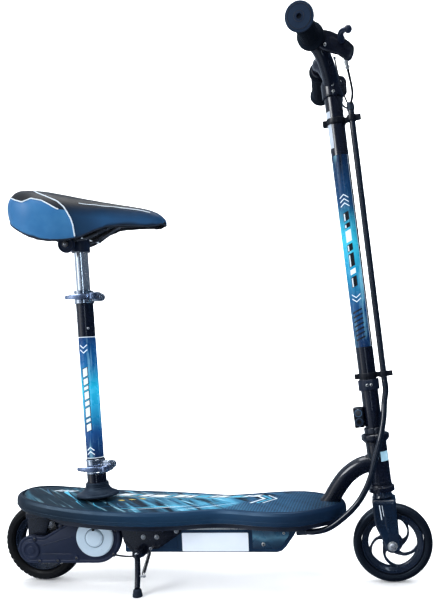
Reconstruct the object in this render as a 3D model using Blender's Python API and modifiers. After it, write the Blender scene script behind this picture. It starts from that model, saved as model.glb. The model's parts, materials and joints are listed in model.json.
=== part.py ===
# Electric scooter with a seat. Metres, +X forward, +Z up, -Y is the rider's right-hand side.
# The origin is on the ground, under the middle of the object's bounding box.
import math

import bmesh
import bpy
import numpy as np
from mathutils import Matrix, Vector

# ------------------------------------------------------------------ driving dimensions (metres)
MM = 0.001
GAP = 0.0003

FRONT_AXLE_X = 0.3400
FRONT_WHEEL_R = 0.0724
FRONT_TYRE_HALF = 0.0140
REAR_AXLE_X = -0.3354
REAR_WHEEL_R = 0.0770
REAR_TYRE_HALF = 0.0170
TYRE_SIDES = 30            # the tyres are turned in flats, and each rests on one
FRONT_AXLE_Z = FRONT_WHEEL_R * math.cos(math.pi / TYRE_SIDES)
REAR_AXLE_Z = REAR_WHEEL_R * math.cos(math.pi / TYRE_SIDES)
RIM_R = 0.0563
WINDOW_R = 0.0438

STEER_X = 0.32405          # steering axis where it meets the lower cup
STEER_Z = 0.1669
STEER_LEAN = math.radians(5.10)
STEM_R = 0.0155
HEAD_R = 0.0190

DECK_TOP = 0.1495
RIM_DEPTH = 0.0265         # height of the rubber rim
RIM_WIDTH = 0.0120

POST_X = -0.2215           # seat tube axis at POST_Z
POST_Z = 0.2000
POST_LEAN = math.radians(0.72)
SEAT_TUBE_R = 0.0160
SEAT_POST_R = 0.0127

MOTOR_X = -0.2090
MOTOR_Z = 0.0957
MOTOR_R = 0.0310
GEAR_X = -0.2360
GEAR_Z = 0.0840

BAR_END = 0.1700           # half of the handlebar's width
GRIP_R = 0.0165
GRIP_FLANGE_R = 0.0232

KICK_X = -0.1215
KICK_Z = 0.0700

# ------------------------------------------------------------------ a clean scene
for old in list(bpy.data.objects):
    bpy.data.objects.remove(old, do_unlink=True)
for block in (bpy.data.meshes, bpy.data.curves, bpy.data.materials):
    for item in list(block):
        block.remove(item)

SCENE = bpy.context.scene
PARTS = bpy.data.collections.new("electric_scooter")
CUTTERS = bpy.data.collections.new("cutters")
SCENE.collection.children.link(PARTS)
SCENE.collection.children.link(CUTTERS)


# ------------------------------------------------------------------ helpers
def material(name, colour, rough=0.5, metal=0.0):
    mat = bpy.data.materials.get(name)
    if mat is None:
        mat = bpy.data.materials.new(name)
        mat.use_nodes = True
        bsdf = mat.node_tree.nodes["Principled BSDF"]
        bsdf.inputs["Base Color"].default_value = (*colour, 1.0)
        bsdf.inputs["Roughness"].default_value = rough
        bsdf.inputs["Metallic"].default_value = metal
    return mat


GLOSS_BLACK = ("gloss_black_paint", (0.012, 0.013, 0.018), 0.18, 0.0)
SATIN_BLACK = ("satin_black_paint", (0.020, 0.021, 0.026), 0.40, 0.0)
RUBBER = ("black_rubber", (0.020, 0.022, 0.028), 0.75, 0.0)
TYRE = ("tyre_rubber", (0.016, 0.016, 0.018), 0.85, 0.0)
NAVY = ("navy_plastic", (0.015, 0.022, 0.045), 0.45, 0.0)
BLACK_PLASTIC = ("black_plastic", (0.020, 0.020, 0.022), 0.5, 0.0)
SILVER = ("silver_plastic", (0.48, 0.53, 0.60), 0.4, 0.3)
CHROME = ("chrome", (0.80, 0.81, 0.84), 0.08, 1.0)
STEEL = ("bright_steel", (0.60, 0.61, 0.63), 0.28, 1.0)
DECAL_BLUE = ("printed_panel", (0.040, 0.160, 0.230), 0.25, 0.0)
SEAT_SKIN = ("seat_vinyl", (0.010, 0.030, 0.085), 0.40, 0.0)
BATTERY = ("battery_case", (0.10, 0.10, 0.11), 0.55, 0.0)
ALU = ("cast_aluminium", (0.52, 0.53, 0.54), 0.35, 1.0)


def facets(count):
    """Number of flat sides of a round piece; small counts are real corners and stay."""
    return count if count <= 12 else max(12, 2 * round(count * 0.375))


def place(obj, colour, coll=PARTS):
    for c in list(obj.users_collection):
        c.objects.unlink(obj)
    coll.objects.link(obj)
    if colour is not None:
        obj.data.materials.clear()
        obj.data.materials.append(material(*colour))
    return obj


def shade(obj, angle=35.0):
    obj.data.shade_smooth()
    obj.data.set_sharp_from_angle(angle=math.radians(angle))


def mesh_object(name, bm, colour, coll=PARTS, smooth=True):
    bmesh.ops.recalc_face_normals(bm, faces=bm.faces)
    me = bpy.data.meshes.new(name)
    bm.to_mesh(me)
    bm.free()
    obj = bpy.data.objects.new(name, me)
    place(obj, colour, coll)
    if smooth:
        shade(obj)
    return obj


def box(name, low, high, colour, coll=PARTS):
    low, high = Vector(low), Vector(high)
    bm = bmesh.new()
    bmesh.ops.create_cube(bm, size=1.0)
    bmesh.ops.scale(bm, vec=high - low, verts=bm.verts)
    obj = mesh_object(name, bm, colour, coll, smooth=False)
    obj.location = (low + high) / 2
    return obj


AXIS_TURN = {
    "X": Matrix.Rotation(math.pi / 2, 4, "Y"),
    "Y": Matrix.Rotation(-math.pi / 2, 4, "X"),
    "Z": Matrix.Identity(4),
}


def cylinder(name, radius, length, centre, axis, colour, seg=32, coll=PARTS, top=None):
    bm = bmesh.new()
    bmesh.ops.create_cone(
        bm, cap_ends=True, segments=facets(seg), radius1=radius, radius2=radius if top is None else top, depth=length
    )
    bmesh.ops.transform(bm, matrix=AXIS_TURN[axis], verts=bm.verts)
    obj = mesh_object(name, bm, colour, coll)
    obj.location = centre
    return obj


def turned(name, profile, colour, closed=False, seg=32, coll=PARTS):
    """Turn a profile of (radius, height) round +Z. An open profile runs from the axis at
    the top, down the outer side, to the axis at the bottom; a closed one makes a ring."""
    me = bpy.data.meshes.new(name)
    verts = [(r, 0.0, z) for r, z in profile]
    edges = [(i, i + 1) for i in range(len(verts) - 1)]
    if closed:
        edges.append((len(verts) - 1, 0))
    me.from_pydata(verts, edges, [])
    obj = bpy.data.objects.new(name, me)
    place(obj, colour, coll)
    mod = obj.modifiers.new("turn", "SCREW")
    mod.axis = "Z"
    mod.angle = math.tau
    mod.steps = facets(seg)
    mod.render_steps = facets(seg)
    mod.use_merge_vertices = True
    mod.merge_threshold = 0.00001
    mod.use_smooth_shade = True
    return obj


def baked(obj, smooth=True):
    """Turn an object's evaluated shape into plain mesh data, keeping its place."""
    dg = bpy.context.evaluated_depsgraph_get()
    me = bpy.data.meshes.new_from_object(obj.evaluated_get(dg))
    bm = bmesh.new()
    bm.from_mesh(me)
    bmesh.ops.remove_doubles(bm, verts=bm.verts, dist=0.000005)
    bmesh.ops.recalc_face_normals(bm, faces=bm.faces)
    bm.to_mesh(me)
    bm.free()
    name = obj.name
    colls = list(obj.users_collection)
    new = bpy.data.objects.new(name + "_mesh", me)
    new.matrix_world = obj.matrix_world.copy()
    for c in colls:
        c.objects.link(new)
    mats = [s.material for s in obj.material_slots]
    me.materials.clear()
    for m in mats:
        me.materials.append(m)
    bpy.data.objects.remove(obj, do_unlink=True)
    new.name = name
    if smooth:
        shade(new)
    return new


def spline_points(points, count):
    """Evenly spaced points on a smooth curve through the given points."""
    p = [Vector(q) for q in points]
    p = [p[0] * 2 - p[1]] + p + [p[-1] * 2 - p[-2]]
    dense = []
    for i in range(1, len(p) - 2):
        for k in range(24):
            t = k / 24
            a, b, c, d = p[i - 1], p[i], p[i + 1], p[i + 2]
            dense.append(
                0.5
                * (
                    (2 * b)
                    + (c - a) * t
                    + (2 * a - 5 * b + 4 * c - d) * t * t
                    + (3 * b - a - 3 * c + d) * t ** 3
                )
            )
    dense.append(p[-2])
    run = [0.0]
    for a, b in zip(dense, dense[1:]):
        run.append(run[-1] + (b - a).length)
    out = []
    for k in range(count):
        s = run[-1] * k / (count - 1)
        j = min(max(int(np.searchsorted(run, s)), 1), len(run) - 1)
        t = (s - run[j - 1]) / max(run[j] - run[j - 1], 1e-9)
        out.append(dense[j - 1].lerp(dense[j], t))
    return out


def tube(name, points, radius, colour, res=3, coll=PARTS, smooth_to=0):
    pts = spline_points(points, smooth_to) if smooth_to else [Vector(q) for q in points]
    cu = bpy.data.curves.new(name, "CURVE")
    cu.dimensions = "3D"
    cu.bevel_depth = radius
    cu.bevel_resolution = res
    cu.use_fill_caps = True
    sp = cu.splines.new("POLY")
    sp.points.add(len(pts) - 1)
    for q, v in zip(sp.points, pts):
        q.co = (*v, 1.0)
    obj = bpy.data.objects.new(name, cu)
    place(obj, colour, coll)
    return baked(obj)


def plate(name, outlines, half, colour, plane="XZ", centre=(0, 0, 0), coll=PARTS, bevel=0.0):
    """A flat outline, with any holes as further outlines, and a thickness of twice `half`.
    In the plane XZ the outline's (x, z) lie as seen from -Y."""
    cu = bpy.data.curves.new(name, "CURVE")
    cu.dimensions = "2D"
    cu.fill_mode = "BOTH"
    cu.extrude = half
    for line in outlines:
        sp = cu.splines.new("POLY")
        sp.points.add(len(line) - 1)
        for q, v in zip(sp.points, line):
            q.co = (v[0], v[1], 0.0, 1.0)
        sp.use_cyclic_u = True
    obj = bpy.data.objects.new(name, cu)
    place(obj, colour, coll)
    if plane == "XZ":
        obj.matrix_world = Matrix.Translation(centre) @ Matrix.Rotation(math.pi / 2, 4, "X")
    else:
        obj.matrix_world = Matrix.Translation(centre)
    new = baked(obj)
    if bevel:
        mod = new.modifiers.new("edge", "BEVEL")
        mod.width = bevel
        mod.segments = 2
        mod.limit_method = "ANGLE"
        mod.angle_limit = math.radians(50)
    return new


def boolean(obj, other, op):
    """Join or cut `obj` with `other`; the other object becomes a hidden cutter."""
    if other.name not in CUTTERS.objects:
        for c in list(other.users_collection):
            c.objects.unlink(other)
        CUTTERS.objects.link(other)
    other.hide_render = True
    other.display_type = "WIRE"
    mod = obj.modifiers.new(op.lower() + "_" + other.name, "BOOLEAN")
    mod.operation = op
    mod.solver = "EXACT"
    mod.object = other
    return obj


def join(obj, *others):
    for o in others:
        boolean(obj, o, "UNION")
    return obj


def cut(obj, *others):
    for o in others:
        boolean(obj, o, "DIFFERENCE")
    return obj


def circle(cx, cz, r, n=28, start=0.0, end=math.tau):
    full = abs(end - start - math.tau) < 1e-9
    count = n if full else n - 1
    return [
        (cx + r * math.cos(start + (end - start) * k / count), cz + r * math.sin(start + (end - start) * k / count))
        for k in range(n)
    ]


def axis_frame(point, lean):
    """Matrix whose +Z runs up an axis that leans back by `lean` in the XZ plane."""
    return Matrix.Translation(point) @ Matrix.Rotation(-lean, 4, "Y")


STEER = axis_frame((STEER_X, 0, STEER_Z), STEER_LEAN)
POST = axis_frame((POST_X, 0, POST_Z), POST_LEAN)


def along_steer(s, x=0.0, y=0.0):
    return STEER @ Vector((x, y, s))


def on_steer(obj, s=0.0):
    obj.matrix_world = STEER @ Matrix.Translation((0, 0, s))
    return obj


def on_post(obj, s=0.0):
    obj.matrix_world = POST @ Matrix.Translation((0, 0, s))
    return obj


def s_of_z(z):
    return (z - STEER_Z) / math.cos(STEER_LEAN)


def ring(name, inner, outer, low, high, colour, seg=32, coll=PARTS, chamfer=0.0):
    c = chamfer
    if c:
        prof = [(inner, high), (outer - c, high), (outer, high - c), (outer, low + c), (outer - c, low), (inner, low)]
    else:
        prof = [(inner, high), (outer, high), (outer, low), (inner, low)]
    return turned(name, prof, colour, closed=True, seg=seg, coll=coll)


# ------------------------------------------------------------------ deck outline and height
HALF_WIDTH = [
    (-0.3750, 0.0), (-0.3725, 0.025), (-0.3620, 0.045), (-0.3380, 0.065), (-0.2900, 0.080), (-0.2300, 0.089),
    (-0.1700, 0.094), (-0.1100, 0.094), (-0.0500, 0.085), (0.0, 0.0715), (0.0300, 0.067), (0.0650, 0.073),
    (0.1050, 0.086), (0.1500, 0.093), (0.1850, 0.087), (0.2150, 0.067), (0.2400, 0.042), (0.2545, 0.019), (0.2580, 0.0),
]
TOP_LINE = [
    (-0.375, 0.1775), (-0.340, 0.1722), (-0.300, 0.1660), (-0.240, 0.1590), (-0.180, 0.1543), (-0.120, 0.1515),
    (-0.060, 0.1500), (0.000, 0.1495), (0.260, 0.1495),
]


DECK_STATIONS = 24         # points along half of the outline


def deck_top(x):
    return float(np.interp(x, [a for a, _ in TOP_LINE], [b for _, b in TOP_LINE]))


def outline_half(count):
    line = spline_points([(x, w, 0) for x, w in HALF_WIDTH], count)
    line[0].y = 0.0
    line[-1].y = 0.0
    return line


def outline_loop(inset, count=34):
    """Closed loop of (x, y) round the deck, `inset` inside the rim's outer edge, and
    the outward direction at each point."""
    half = outline_half(count)
    loop = [Vector((p.x, p.y)) for p in half] + [Vector((p.x, -p.y)) for p in reversed(half[1:-1])]
    n = len(loop)
    out = []
    for i, p in enumerate(loop):
        d = loop[(i + 1) % n] - loop[i - 1]
        normal = Vector((-d.y, d.x)).normalized()
        if i < count and normal.y < 0 and 0 < i < count - 1:
            normal = -normal
        out.append((p - normal * inset, normal))
    return out


def sweep(name, count, section, colour, coll=PARTS):
    """Carry a section of (outward, up) points round the deck's outline."""
    base = outline_loop(0.0, count)
    bm = bmesh.new()
    rows = []
    for p, normal in base:
        top = deck_top(p.x)
        rows.append([bm.verts.new((*(p + normal * u), top + v)) for u, v in section])
    m = len(section)
    n = len(rows)
    for i in range(n):
        a, b = rows[i], rows[(i + 1) % n]
        for j in range(m):
            bm.faces.new((a[j], a[(j + 1) % m], b[(j + 1) % m], b[j]))
    return mesh_object(name, bm, colour, coll)


def deck_rows(inset):
    """Stations along the deck with the half width at each, from the same points as the
    rim, so that the boards' edges run parallel to it."""
    return [(p.x, p.y) for p, _ in outline_loop(inset, DECK_STATIONS)[1 : DECK_STATIONS - 1]]


def deck_sheet(inset, across, top_of, bottom_of, name, colour):
    """A board inside the rim: rows across the deck, each from one edge to the other."""
    bm = bmesh.new()
    tops, bottoms = [], []
    rows = deck_rows(inset)
    for x, w in rows:
        tops.append([bm.verts.new((x, w * t, top_of(x, t))) for t in across])
        bottoms.append([bm.verts.new((x, w * t, bottom_of(x, t))) for t in across])
    for i in range(len(rows) - 1):
        for j in range(len(across) - 1):
            bm.faces.new((tops[i][j], tops[i + 1][j], tops[i + 1][j + 1], tops[i][j + 1]))
            bm.faces.new((bottoms[i][j], bottoms[i][j + 1], bottoms[i + 1][j + 1], bottoms[i + 1][j]))
        bm.faces.new((tops[i][0], bottoms[i][0], bottoms[i + 1][0], tops[i + 1][0]))
        bm.faces.new((tops[i][-1], tops[i + 1][-1], bottoms[i + 1][-1], bottoms[i][-1]))
    for i in (0, len(rows) - 1):
        for j in range(len(across) - 1):
            bm.faces.new((tops[i][j], tops[i][j + 1], bottoms[i][j + 1], bottoms[i][j]))
    bmesh.ops.triangulate(bm, faces=bm.faces)
    return mesh_object(name, bm, colour)


# ------------------------------------------------------------------ main frame
NECK = [
    (0.2050, 0, 0.1330), (0.2175, 0, 0.1370), (0.2320, 0, 0.1545), (0.2440, 0, 0.1740), (0.2620, 0, 0.1965),
    (0.2860, 0, 0.2130), (0.3120, 0, 0.2200),
]
main_frame = tube("main_frame", NECK, 0.0160, GLOSS_BLACK, res=3, smooth_to=12)
head = cylinder("head_tube_solid", HEAD_R, 0.0790, along_steer(0.0528), "Z", GLOSS_BLACK, 36, CUTTERS)
head.rotation_euler = (0, -STEER_LEAN, 0)
bore = cylinder("head_tube_bore", 0.0140, 0.20, along_steer(0.0528), "Z", GLOSS_BLACK, 32, CUTTERS)
bore.rotation_euler = (0, -STEER_LEAN, 0)
pieces = []
for side, y in (("left", 1), ("right", -1)):
    lo, hi = sorted((y * 0.029, y * 0.043))
    pieces.append(box("rail_" + side, (-0.350, lo, 0.1295), (0.2000, hi, 0.1425), GLOSS_BLACK, CUTTERS))
    foot = [(-0.3494, REAR_AXLE_Z)] + circle(REAR_AXLE_X, REAR_AXLE_Z, 0.0140, 12, math.pi, math.tau)[1:]
    foot += [(-0.3140, 0.100), (-0.3000, 0.1355), (-0.3494, 0.1355)]
    foot_plate = plate("wheel_plate_" + side, [foot], 0.0020, GLOSS_BLACK, "XZ", (0, y * 0.035, 0), CUTTERS)
    pieces.append(foot_plate)
pieces.append(box("cross_front", (0.1880, -0.045, 0.1245), (0.2160, 0.045, 0.1427), GLOSS_BLACK, CUTTERS))
pieces.append(box("cross_mid", (-0.0100, -0.0355, 0.1305), (0.0100, 0.0355, 0.1419), GLOSS_BLACK, CUTTERS))
pieces.append(box("cross_seat", (-0.2600, -0.0355, 0.1303), (-0.1820, 0.0355, 0.1421), GLOSS_BLACK, CUTTERS))
join(main_frame, head, *pieces)
cut(main_frame, bore)
axle_holes = cylinder("rear_axle_holes", 0.0053, 0.12, (REAR_AXLE_X, 0, REAR_AXLE_Z), "Y", GLOSS_BLACK, 20, CUTTERS)
cut(main_frame, axle_holes)

# ------------------------------------------------------------------ deck
neck_room = tube("neck_room", NECK, 0.0172, RUBBER, res=3, coll=CUTTERS, smooth_to=12)

deck_bumper = sweep(
    "deck_bumper",
    DECK_STATIONS,
    [
        (0.0, -0.0130), (-0.0012, -0.0050), (-0.0045, -0.0008), (-0.0085, 0.0), (-RIM_WIDTH, -0.0020),
        (-RIM_WIDTH, -0.0225), (-0.0080, -RIM_DEPTH), (-0.0030, -0.0245), (-0.0006, -0.0190),
    ],
    RUBBER,
)
cut(deck_bumper, neck_room)

ACROSS = [-1.0, -0.6, 0.0, 0.6, 1.0]
deck_panel = deck_sheet(
    0.0124,
    ACROSS,
    lambda x, t: deck_top(x) - 0.0010 + 0.0035 * (1 - t * t),
    lambda x, t: deck_top(x) - 0.0045,
    "deck_panel",
    DECAL_BLUE,
)
post_room = cylinder("post_room", 0.0186, 0.10, (POST_X, 0, 0.155), "Z", RUBBER, 32, CUTTERS)
post_room.rotation_euler = (0, -POST_LEAN, 0)
cut(deck_panel, neck_room, post_room)

# the pressed pan: a tray turned upside down, its skirt just inside the rim
def skirt_low(x):
    """Lower edge of the skirt: it runs level, and rises over the rear wheel."""
    return deck_top(x) - float(np.interp(x, [-0.35, -0.26], [0.0180, 0.0355]))


deck_pan = deck_sheet(
    0.0125, [-1.0, 0.0, 1.0], lambda x, t: deck_top(x) - 0.0048, lambda x, t: skirt_low(x), "deck_pan", SATIN_BLACK
)
pan_room = deck_sheet(
    0.0145, [-1.0, 0.0, 1.0], lambda x, t: deck_top(x) - 0.0068, lambda x, t: deck_top(x) - 0.0700, "pan_room", SATIN_BLACK
)
cut(deck_pan, pan_room, neck_room, post_room)

# ------------------------------------------------------------------ battery box and what it holds
BOX_LINE = [(-0.1515, 0.0677), (0.1345, 0.0677), (0.1430, 0.0705), (0.1500, 0.0770), (0.1660, 0.0985),
            (0.1700, 0.1060), (0.1700, 0.1275), (-0.1515, 0.1275)]
BOX_IN = [(-0.1493, 0.0699), (0.1338, 0.0699), (0.1418, 0.0725), (0.1482, 0.0784), (0.1640, 0.0995),
          (0.1678, 0.1066), (0.1678, 0.1400), (-0.1493, 0.1400)]
battery_box = plate("battery_box", [BOX_LINE], 0.0500, SATIN_BLACK)
box_room = plate("box_room", [BOX_IN], 0.0478, SATIN_BLACK, coll=CUTTERS)
cut(battery_box, box_room)
battery_pack = box("battery_pack", (-0.1470, -0.0455, 0.0703), (0.0880, 0.0455, 0.1240), BATTERY)
split = box("battery_split", (-0.0305, -0.060, 0.0760), (-0.0285, 0.060, 0.1400), BATTERY, CUTTERS)
cut(battery_pack, split)
speed_controller = box("speed_controller", (0.0940, -0.0380, 0.0900), (0.1460, 0.0380, 0.1180), ALU)

# ------------------------------------------------------------------ rear drive
motor_body = cylinder("drive_motor", MOTOR_R, 0.0700, (MOTOR_X, 0.0230, MOTOR_Z), "Y", STEEL, 36)
motor_end = cylinder("motor_end", 0.0260, 0.0060, (MOTOR_X, 0.0600, MOTOR_Z), "Y", STEEL, 32, CUTTERS)
join(motor_body, motor_end)


def gear_line(cx, cz, r_out, r_in, teeth, phase=0.0):
    pts = []
    for k in range(teeth):
        for f, r in ((-0.30, r_in), (-0.14, r_out), (0.14, r_out), (0.30, r_in)):
            a = phase + math.tau * (k + f) / teeth
            pts.append((cx + r * math.cos(a), cz + r * math.sin(a)))
    return pts


mesh_angle = math.atan2(GEAR_Z - MOTOR_Z, GEAR_X - MOTOR_X)
motor_pinion = plate("motor_pinion", [gear_line(0, 0, 0.0076, 0.0052, 8, mesh_angle)], 0.0035, STEEL,
                     centre=(MOTOR_X, -0.0330, MOTOR_Z))
pinion_shaft = cylinder("pinion_shaft", 0.0040, 0.0230, (MOTOR_X, -0.0240, MOTOR_Z), "Y", STEEL, 16, CUTTERS)
join(motor_pinion, pinion_shaft)
drive_gear = plate("drive_gear", [gear_line(0, 0, 0.0218, 0.0190, 20, mesh_angle + math.pi + math.pi / 20)], 0.0028,
                   STEEL, centre=(GEAR_X, -0.0330, GEAR_Z))
gear_shaft = cylinder("gear_shaft", 0.0045, 0.0255, (GEAR_X, -0.0308, GEAR_Z), "Y", STEEL, 16, CUTTERS)
small_wheel = plate("small_chain_wheel", [circle(0, 0, 0.0098, 14)], 0.0012, STEEL,
                    centre=(GEAR_X, -0.0216, GEAR_Z), coll=CUTTERS)
join(drive_gear, gear_shaft, small_wheel)

# the chain: a thin band round both chain wheels, its ends tangent to them
def belt_line(r_small, r_big, n=12):
    c0 = Vector((GEAR_X, GEAR_Z))
    c1 = Vector((REAR_AXLE_X, REAR_AXLE_Z))
    d = c1 - c0
    base = math.atan2(d.y, d.x)
    off = math.acos((r_small - r_big) / d.length)
    pts = []
    for k in range(n + 1):
        a = base + off + (math.tau - 2 * off) * k / n
        pts.append((c0.x + r_small * math.cos(a), c0.y + r_small * math.sin(a)))
    for k in range(2 * n + 1):
        a = base - off + 2 * off * k / (2 * n)
        pts.append((c1.x + r_big * math.cos(a), c1.y + r_big * math.sin(a)))
    return pts


drive_chain = plate("drive_chain", [belt_line(0.0132, 0.0252), belt_line(0.0103, 0.0223)], 0.0022, STEEL,
                    centre=(0, -0.0216, 0))
rear_sprocket = plate("rear_chain_wheel", [gear_line(0, 0, 0.0218, 0.0194, 20), circle(0, 0, 0.0080, 14)], 0.0014,
                      STEEL, centre=(REAR_AXLE_X, -0.0216, REAR_AXLE_Z))


def cover_line(r_front, r_rear, top):
    """Outline of the drive cover: two lobes, with a flat top under the deck rail."""
    fc = (MOTOR_X, MOTOR_Z)
    rc = (-0.3385, 0.0725)
    cap_a = math.asin((top - MOTOR_Z) / r_front)
    pts = []
    for k in range(20):                       # front lobe, from its flat top round the front to its bottom
        a = cap_a - (cap_a + math.pi / 2 + 0.02) * k / 19
        pts.append((fc[0] + r_front * math.cos(a), fc[1] + r_front * math.sin(a)))
    for k in range(14):                       # rear lobe, from its bottom round the back to its top
        a = -math.pi / 2 - 0.02 - (math.pi + 0.30) * k / 13
        pts.append((rc[0] + r_rear * math.cos(a), rc[1] + r_rear * math.sin(a)))
    pts.append((-0.3120, 0.0960 - (0.026 - r_rear)))
    pts.append((-0.2600, top - 0.0015))
    pts.append((fc[0] - r_front * math.cos(cap_a), top))
    return pts


drive_cover = plate("drive_cover", [cover_line(0.0490, 0.0262, 0.1262)], 0.0060, NAVY, centre=(0, -0.0442, 0))
cover_room = plate("cover_room", [cover_line(0.0470, 0.0242, 0.1242)], 0.0060, NAVY, centre=(0, -0.0421, 0), coll=CUTTERS)
cut(drive_cover, cover_room)
cap = turned(
    "cover_cap",
    [(0, 0.0072), (0.0150, 0.0072), (0.0160, 0.0064), (0.0165, 0.0046), (0.0340, 0.0046), (0.0358, 0.0030), (0.0362, 0), (0, 0)],
    SILVER,
    seg=32,
)
cap.matrix_world = Matrix.Translation((MOTOR_X, -0.0505, MOTOR_Z)) @ Matrix.Rotation(math.pi / 2, 4, "X")

# ------------------------------------------------------------------ wheels
def window(k, r_in, r_out, half_hub, spokes=5, seg=5):
    """One opening between two S-curved spokes; the spokes sweep round as they go out."""
    def sweep_angle(r):
        t = (r - r_in) / (r_out - r_in)
        return 1.02 * t ** 0.85 - 0.10 * math.sin(math.pi * t)

    def spoke_half(r):
        t = (r - r_in) / (r_out - r_in)
        return half_hub * (1.05 - 0.55 * math.sin(math.pi * min(t * 1.02, 1.0))) / r

    a0 = math.tau * k / spokes
    a1 = math.tau * (k + 1) / spokes
    rs = [r_in + (r_out - r_in) * j / seg for j in range(seg + 1)]
    low = [(a0 + sweep_angle(r) + spoke_half(r), r) for r in rs]
    high = [(a1 + sweep_angle(r) - spoke_half(r), r) for r in rs]
    pts = []
    for a, r in low:
        pts.append((r * math.cos(a), r * math.sin(a)))
    arc0, arc1 = low[-1][0], high[-1][0]
    for j in range(1, 5):
        a = arc0 + (arc1 - arc0) * j / 5
        pts.append((r_out * math.cos(a), r_out * math.sin(a)))
    for a, r in reversed(high):
        pts.append((r * math.cos(a), r * math.sin(a)))
    return pts


def rim(name, centre, half_rim, half_hub, hub_r, bore_r):
    holes = [window(k, 0.0185, WINDOW_R, 0.0056) for k in range(5)]
    body = plate(name, [circle(0, 0, RIM_R, facets(40))] + holes, half_rim, GLOSS_BLACK, centre=centre)
    hub = cylinder(name + "_hub", hub_r, 2 * half_hub, centre, "Y", GLOSS_BLACK, 28, CUTTERS)
    hole = cylinder(name + "_bore", bore_r, 4 * half_hub, centre, "Y", GLOSS_BLACK, 20, CUTTERS)
    join(body, hub)
    cut(body, hole)
    return body


def tyre(name, centre, outer, half, tread):
    prof = [
        (RIM_R + GAP, 0.0100), (RIM_R + 0.0040, half * 0.92), (outer - 0.0070, half), (outer - 0.0022, half * 0.84),
        (outer, tread), (outer, -tread), (outer - 0.0022, -half * 0.84), (outer - 0.0070, -half),
        (RIM_R + 0.0040, -half * 0.92), (RIM_R + GAP, -0.0100),
    ]
    obj = turned(name, prof, TYRE, closed=True, seg=40)
    obj.matrix_world = Matrix.Translation(centre) @ Matrix.Rotation(math.pi / 2, 4, "X")
    return obj


FRONT = (FRONT_AXLE_X, 0, FRONT_AXLE_Z)
REAR = (REAR_AXLE_X, 0, REAR_AXLE_Z)
front_rim = rim("front_rim", FRONT, 0.0100, 0.0215, 0.0150, 0.0053)
front_tyre = tyre("front_tyre", FRONT, FRONT_WHEEL_R, FRONT_TYRE_HALF, 0.0080)
rear_rim = rim("rear_rim", REAR, 0.0120, 0.0185, 0.0170, 0.0053)
rear_tyre = tyre("rear_tyre", REAR, REAR_WHEEL_R, REAR_TYRE_HALF, 0.0105)


def bolt(name, centre, length, r, head_r, head, colour=STEEL):
    """An axle along Y with a six-sided head at each end."""
    rod = cylinder(name, r, length, centre, "Y", colour, 20)
    for k, s in enumerate((-1, 1)):
        end = Vector(centre) + Vector((0, s * (length / 2 - head / 2 + 0.0002), 0))
        nut = cylinder(f"{name}_nut_{k}", head_r, head, end, "Y", colour, 6, CUTTERS)
        join(rod, nut)
    return rod


front_axle = bolt("front_axle", FRONT, 0.0660, 0.0050, 0.0085, 0.0055)
rear_axle = bolt("rear_axle", REAR, 0.0860, 0.0050, 0.0090, 0.0055)

brake_drum = ring("brake_drum", 0.0180, 0.0330, -0.0050, 0.0050, STEEL, 32)
brake_drum.matrix_world = Matrix.Translation((REAR_AXLE_X, 0.0240, REAR_AXLE_Z)) @ Matrix.Rotation(math.pi / 2, 4, "X")
brake_drum = baked(brake_drum)
drum_web = cylinder("drum_web", 0.0200, 0.0035, (REAR_AXLE_X, 0.0272, REAR_AXLE_Z), "Y", STEEL, 28, CUTTERS)
drum_hole = cylinder("drum_hole", 0.0053, 0.08, (REAR_AXLE_X, 0.0272, REAR_AXLE_Z), "Y", STEEL, 20, CUTTERS)
join(brake_drum, drum_web)
cut(brake_drum, drum_hole)

band = turned(
    "brake_band_cup",
    [(0.0053, 0.0327), (0.0385, 0.0327), (0.0385, 0.0200), (0.0362, 0.0200), (0.0362, 0.0310), (0.0053, 0.0310)],
    SATIN_BLACK, closed=True, seg=36,
)
band.matrix_world = Matrix.Translation(REAR) @ Matrix.Rotation(-math.pi / 2, 4, "X")

ARM_X, ARM_Z = -0.3050, 0.1180
brake_arm = plate(
    "brake_arm",
    [circle(0, 0, 0.0070, 14, math.pi * 0.62, math.pi * 1.75) + [(0.0250, -0.0240), (0.0290, -0.0200), (0.0255, -0.0150)]],
    0.0015, STEEL, centre=(ARM_X, 0.0395, ARM_Z),
)
arm_pin = cylinder("arm_pin", 0.0035, 0.0070, (ARM_X, 0.0408, ARM_Z), "Y", STEEL, 16, CUTTERS)
join(brake_arm, arm_pin)

# ------------------------------------------------------------------ seat socket, tubes and clamps
seat_socket = ring("seat_socket", SEAT_TUBE_R + GAP, 0.0180, -0.0540, 0.0075, GLOSS_BLACK, 32)
on_post(seat_socket)
seat_socket = baked(seat_socket)
foot = box("socket_foot", (-0.2600, -0.0430, 0.1428), (-0.1830, 0.0430, 0.1468), GLOSS_BLACK, CUTTERS)
foot_hole = cylinder("socket_bore", SEAT_TUBE_R + GAP + 0.0001, 0.0600, tuple(POST @ Vector((0, 0, -0.022))), "Z", GLOSS_BLACK, 32, CUTTERS)
foot_hole.rotation_euler = (0, -POST_LEAN, 0)
join(seat_socket, foot)
cut(seat_socket, foot_hole)

boot_profile = [
    (0.0183, -0.0090), (0.0212, -0.0100), (0.0220, -0.0160), (0.0250, -0.0220), (0.0320, -0.0275), (0.0385, -0.0305),
    (0.0395, -0.0342), (0.0183, -0.0342),
]
seat_boot = turned("seat_socket_boot", boot_profile, RUBBER, closed=True, seg=28)
on_post(seat_boot)

seat_tube = ring("seat_tube", SEAT_POST_R + GAP + 0.0002, SEAT_TUBE_R, -0.0500, 0.3430, GLOSS_BLACK, 32)
on_post(seat_tube)
seat_post = turned(
    "seat_post",
    [(0, 0.4485), (0.0120, 0.4485), (SEAT_POST_R, 0.4478), (SEAT_POST_R, 0.1800), (0.0109, 0.1800), (0.0109, 0.4460), (0, 0.4460)],
    CHROME, seg=32,
)
on_post(seat_post)


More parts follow.
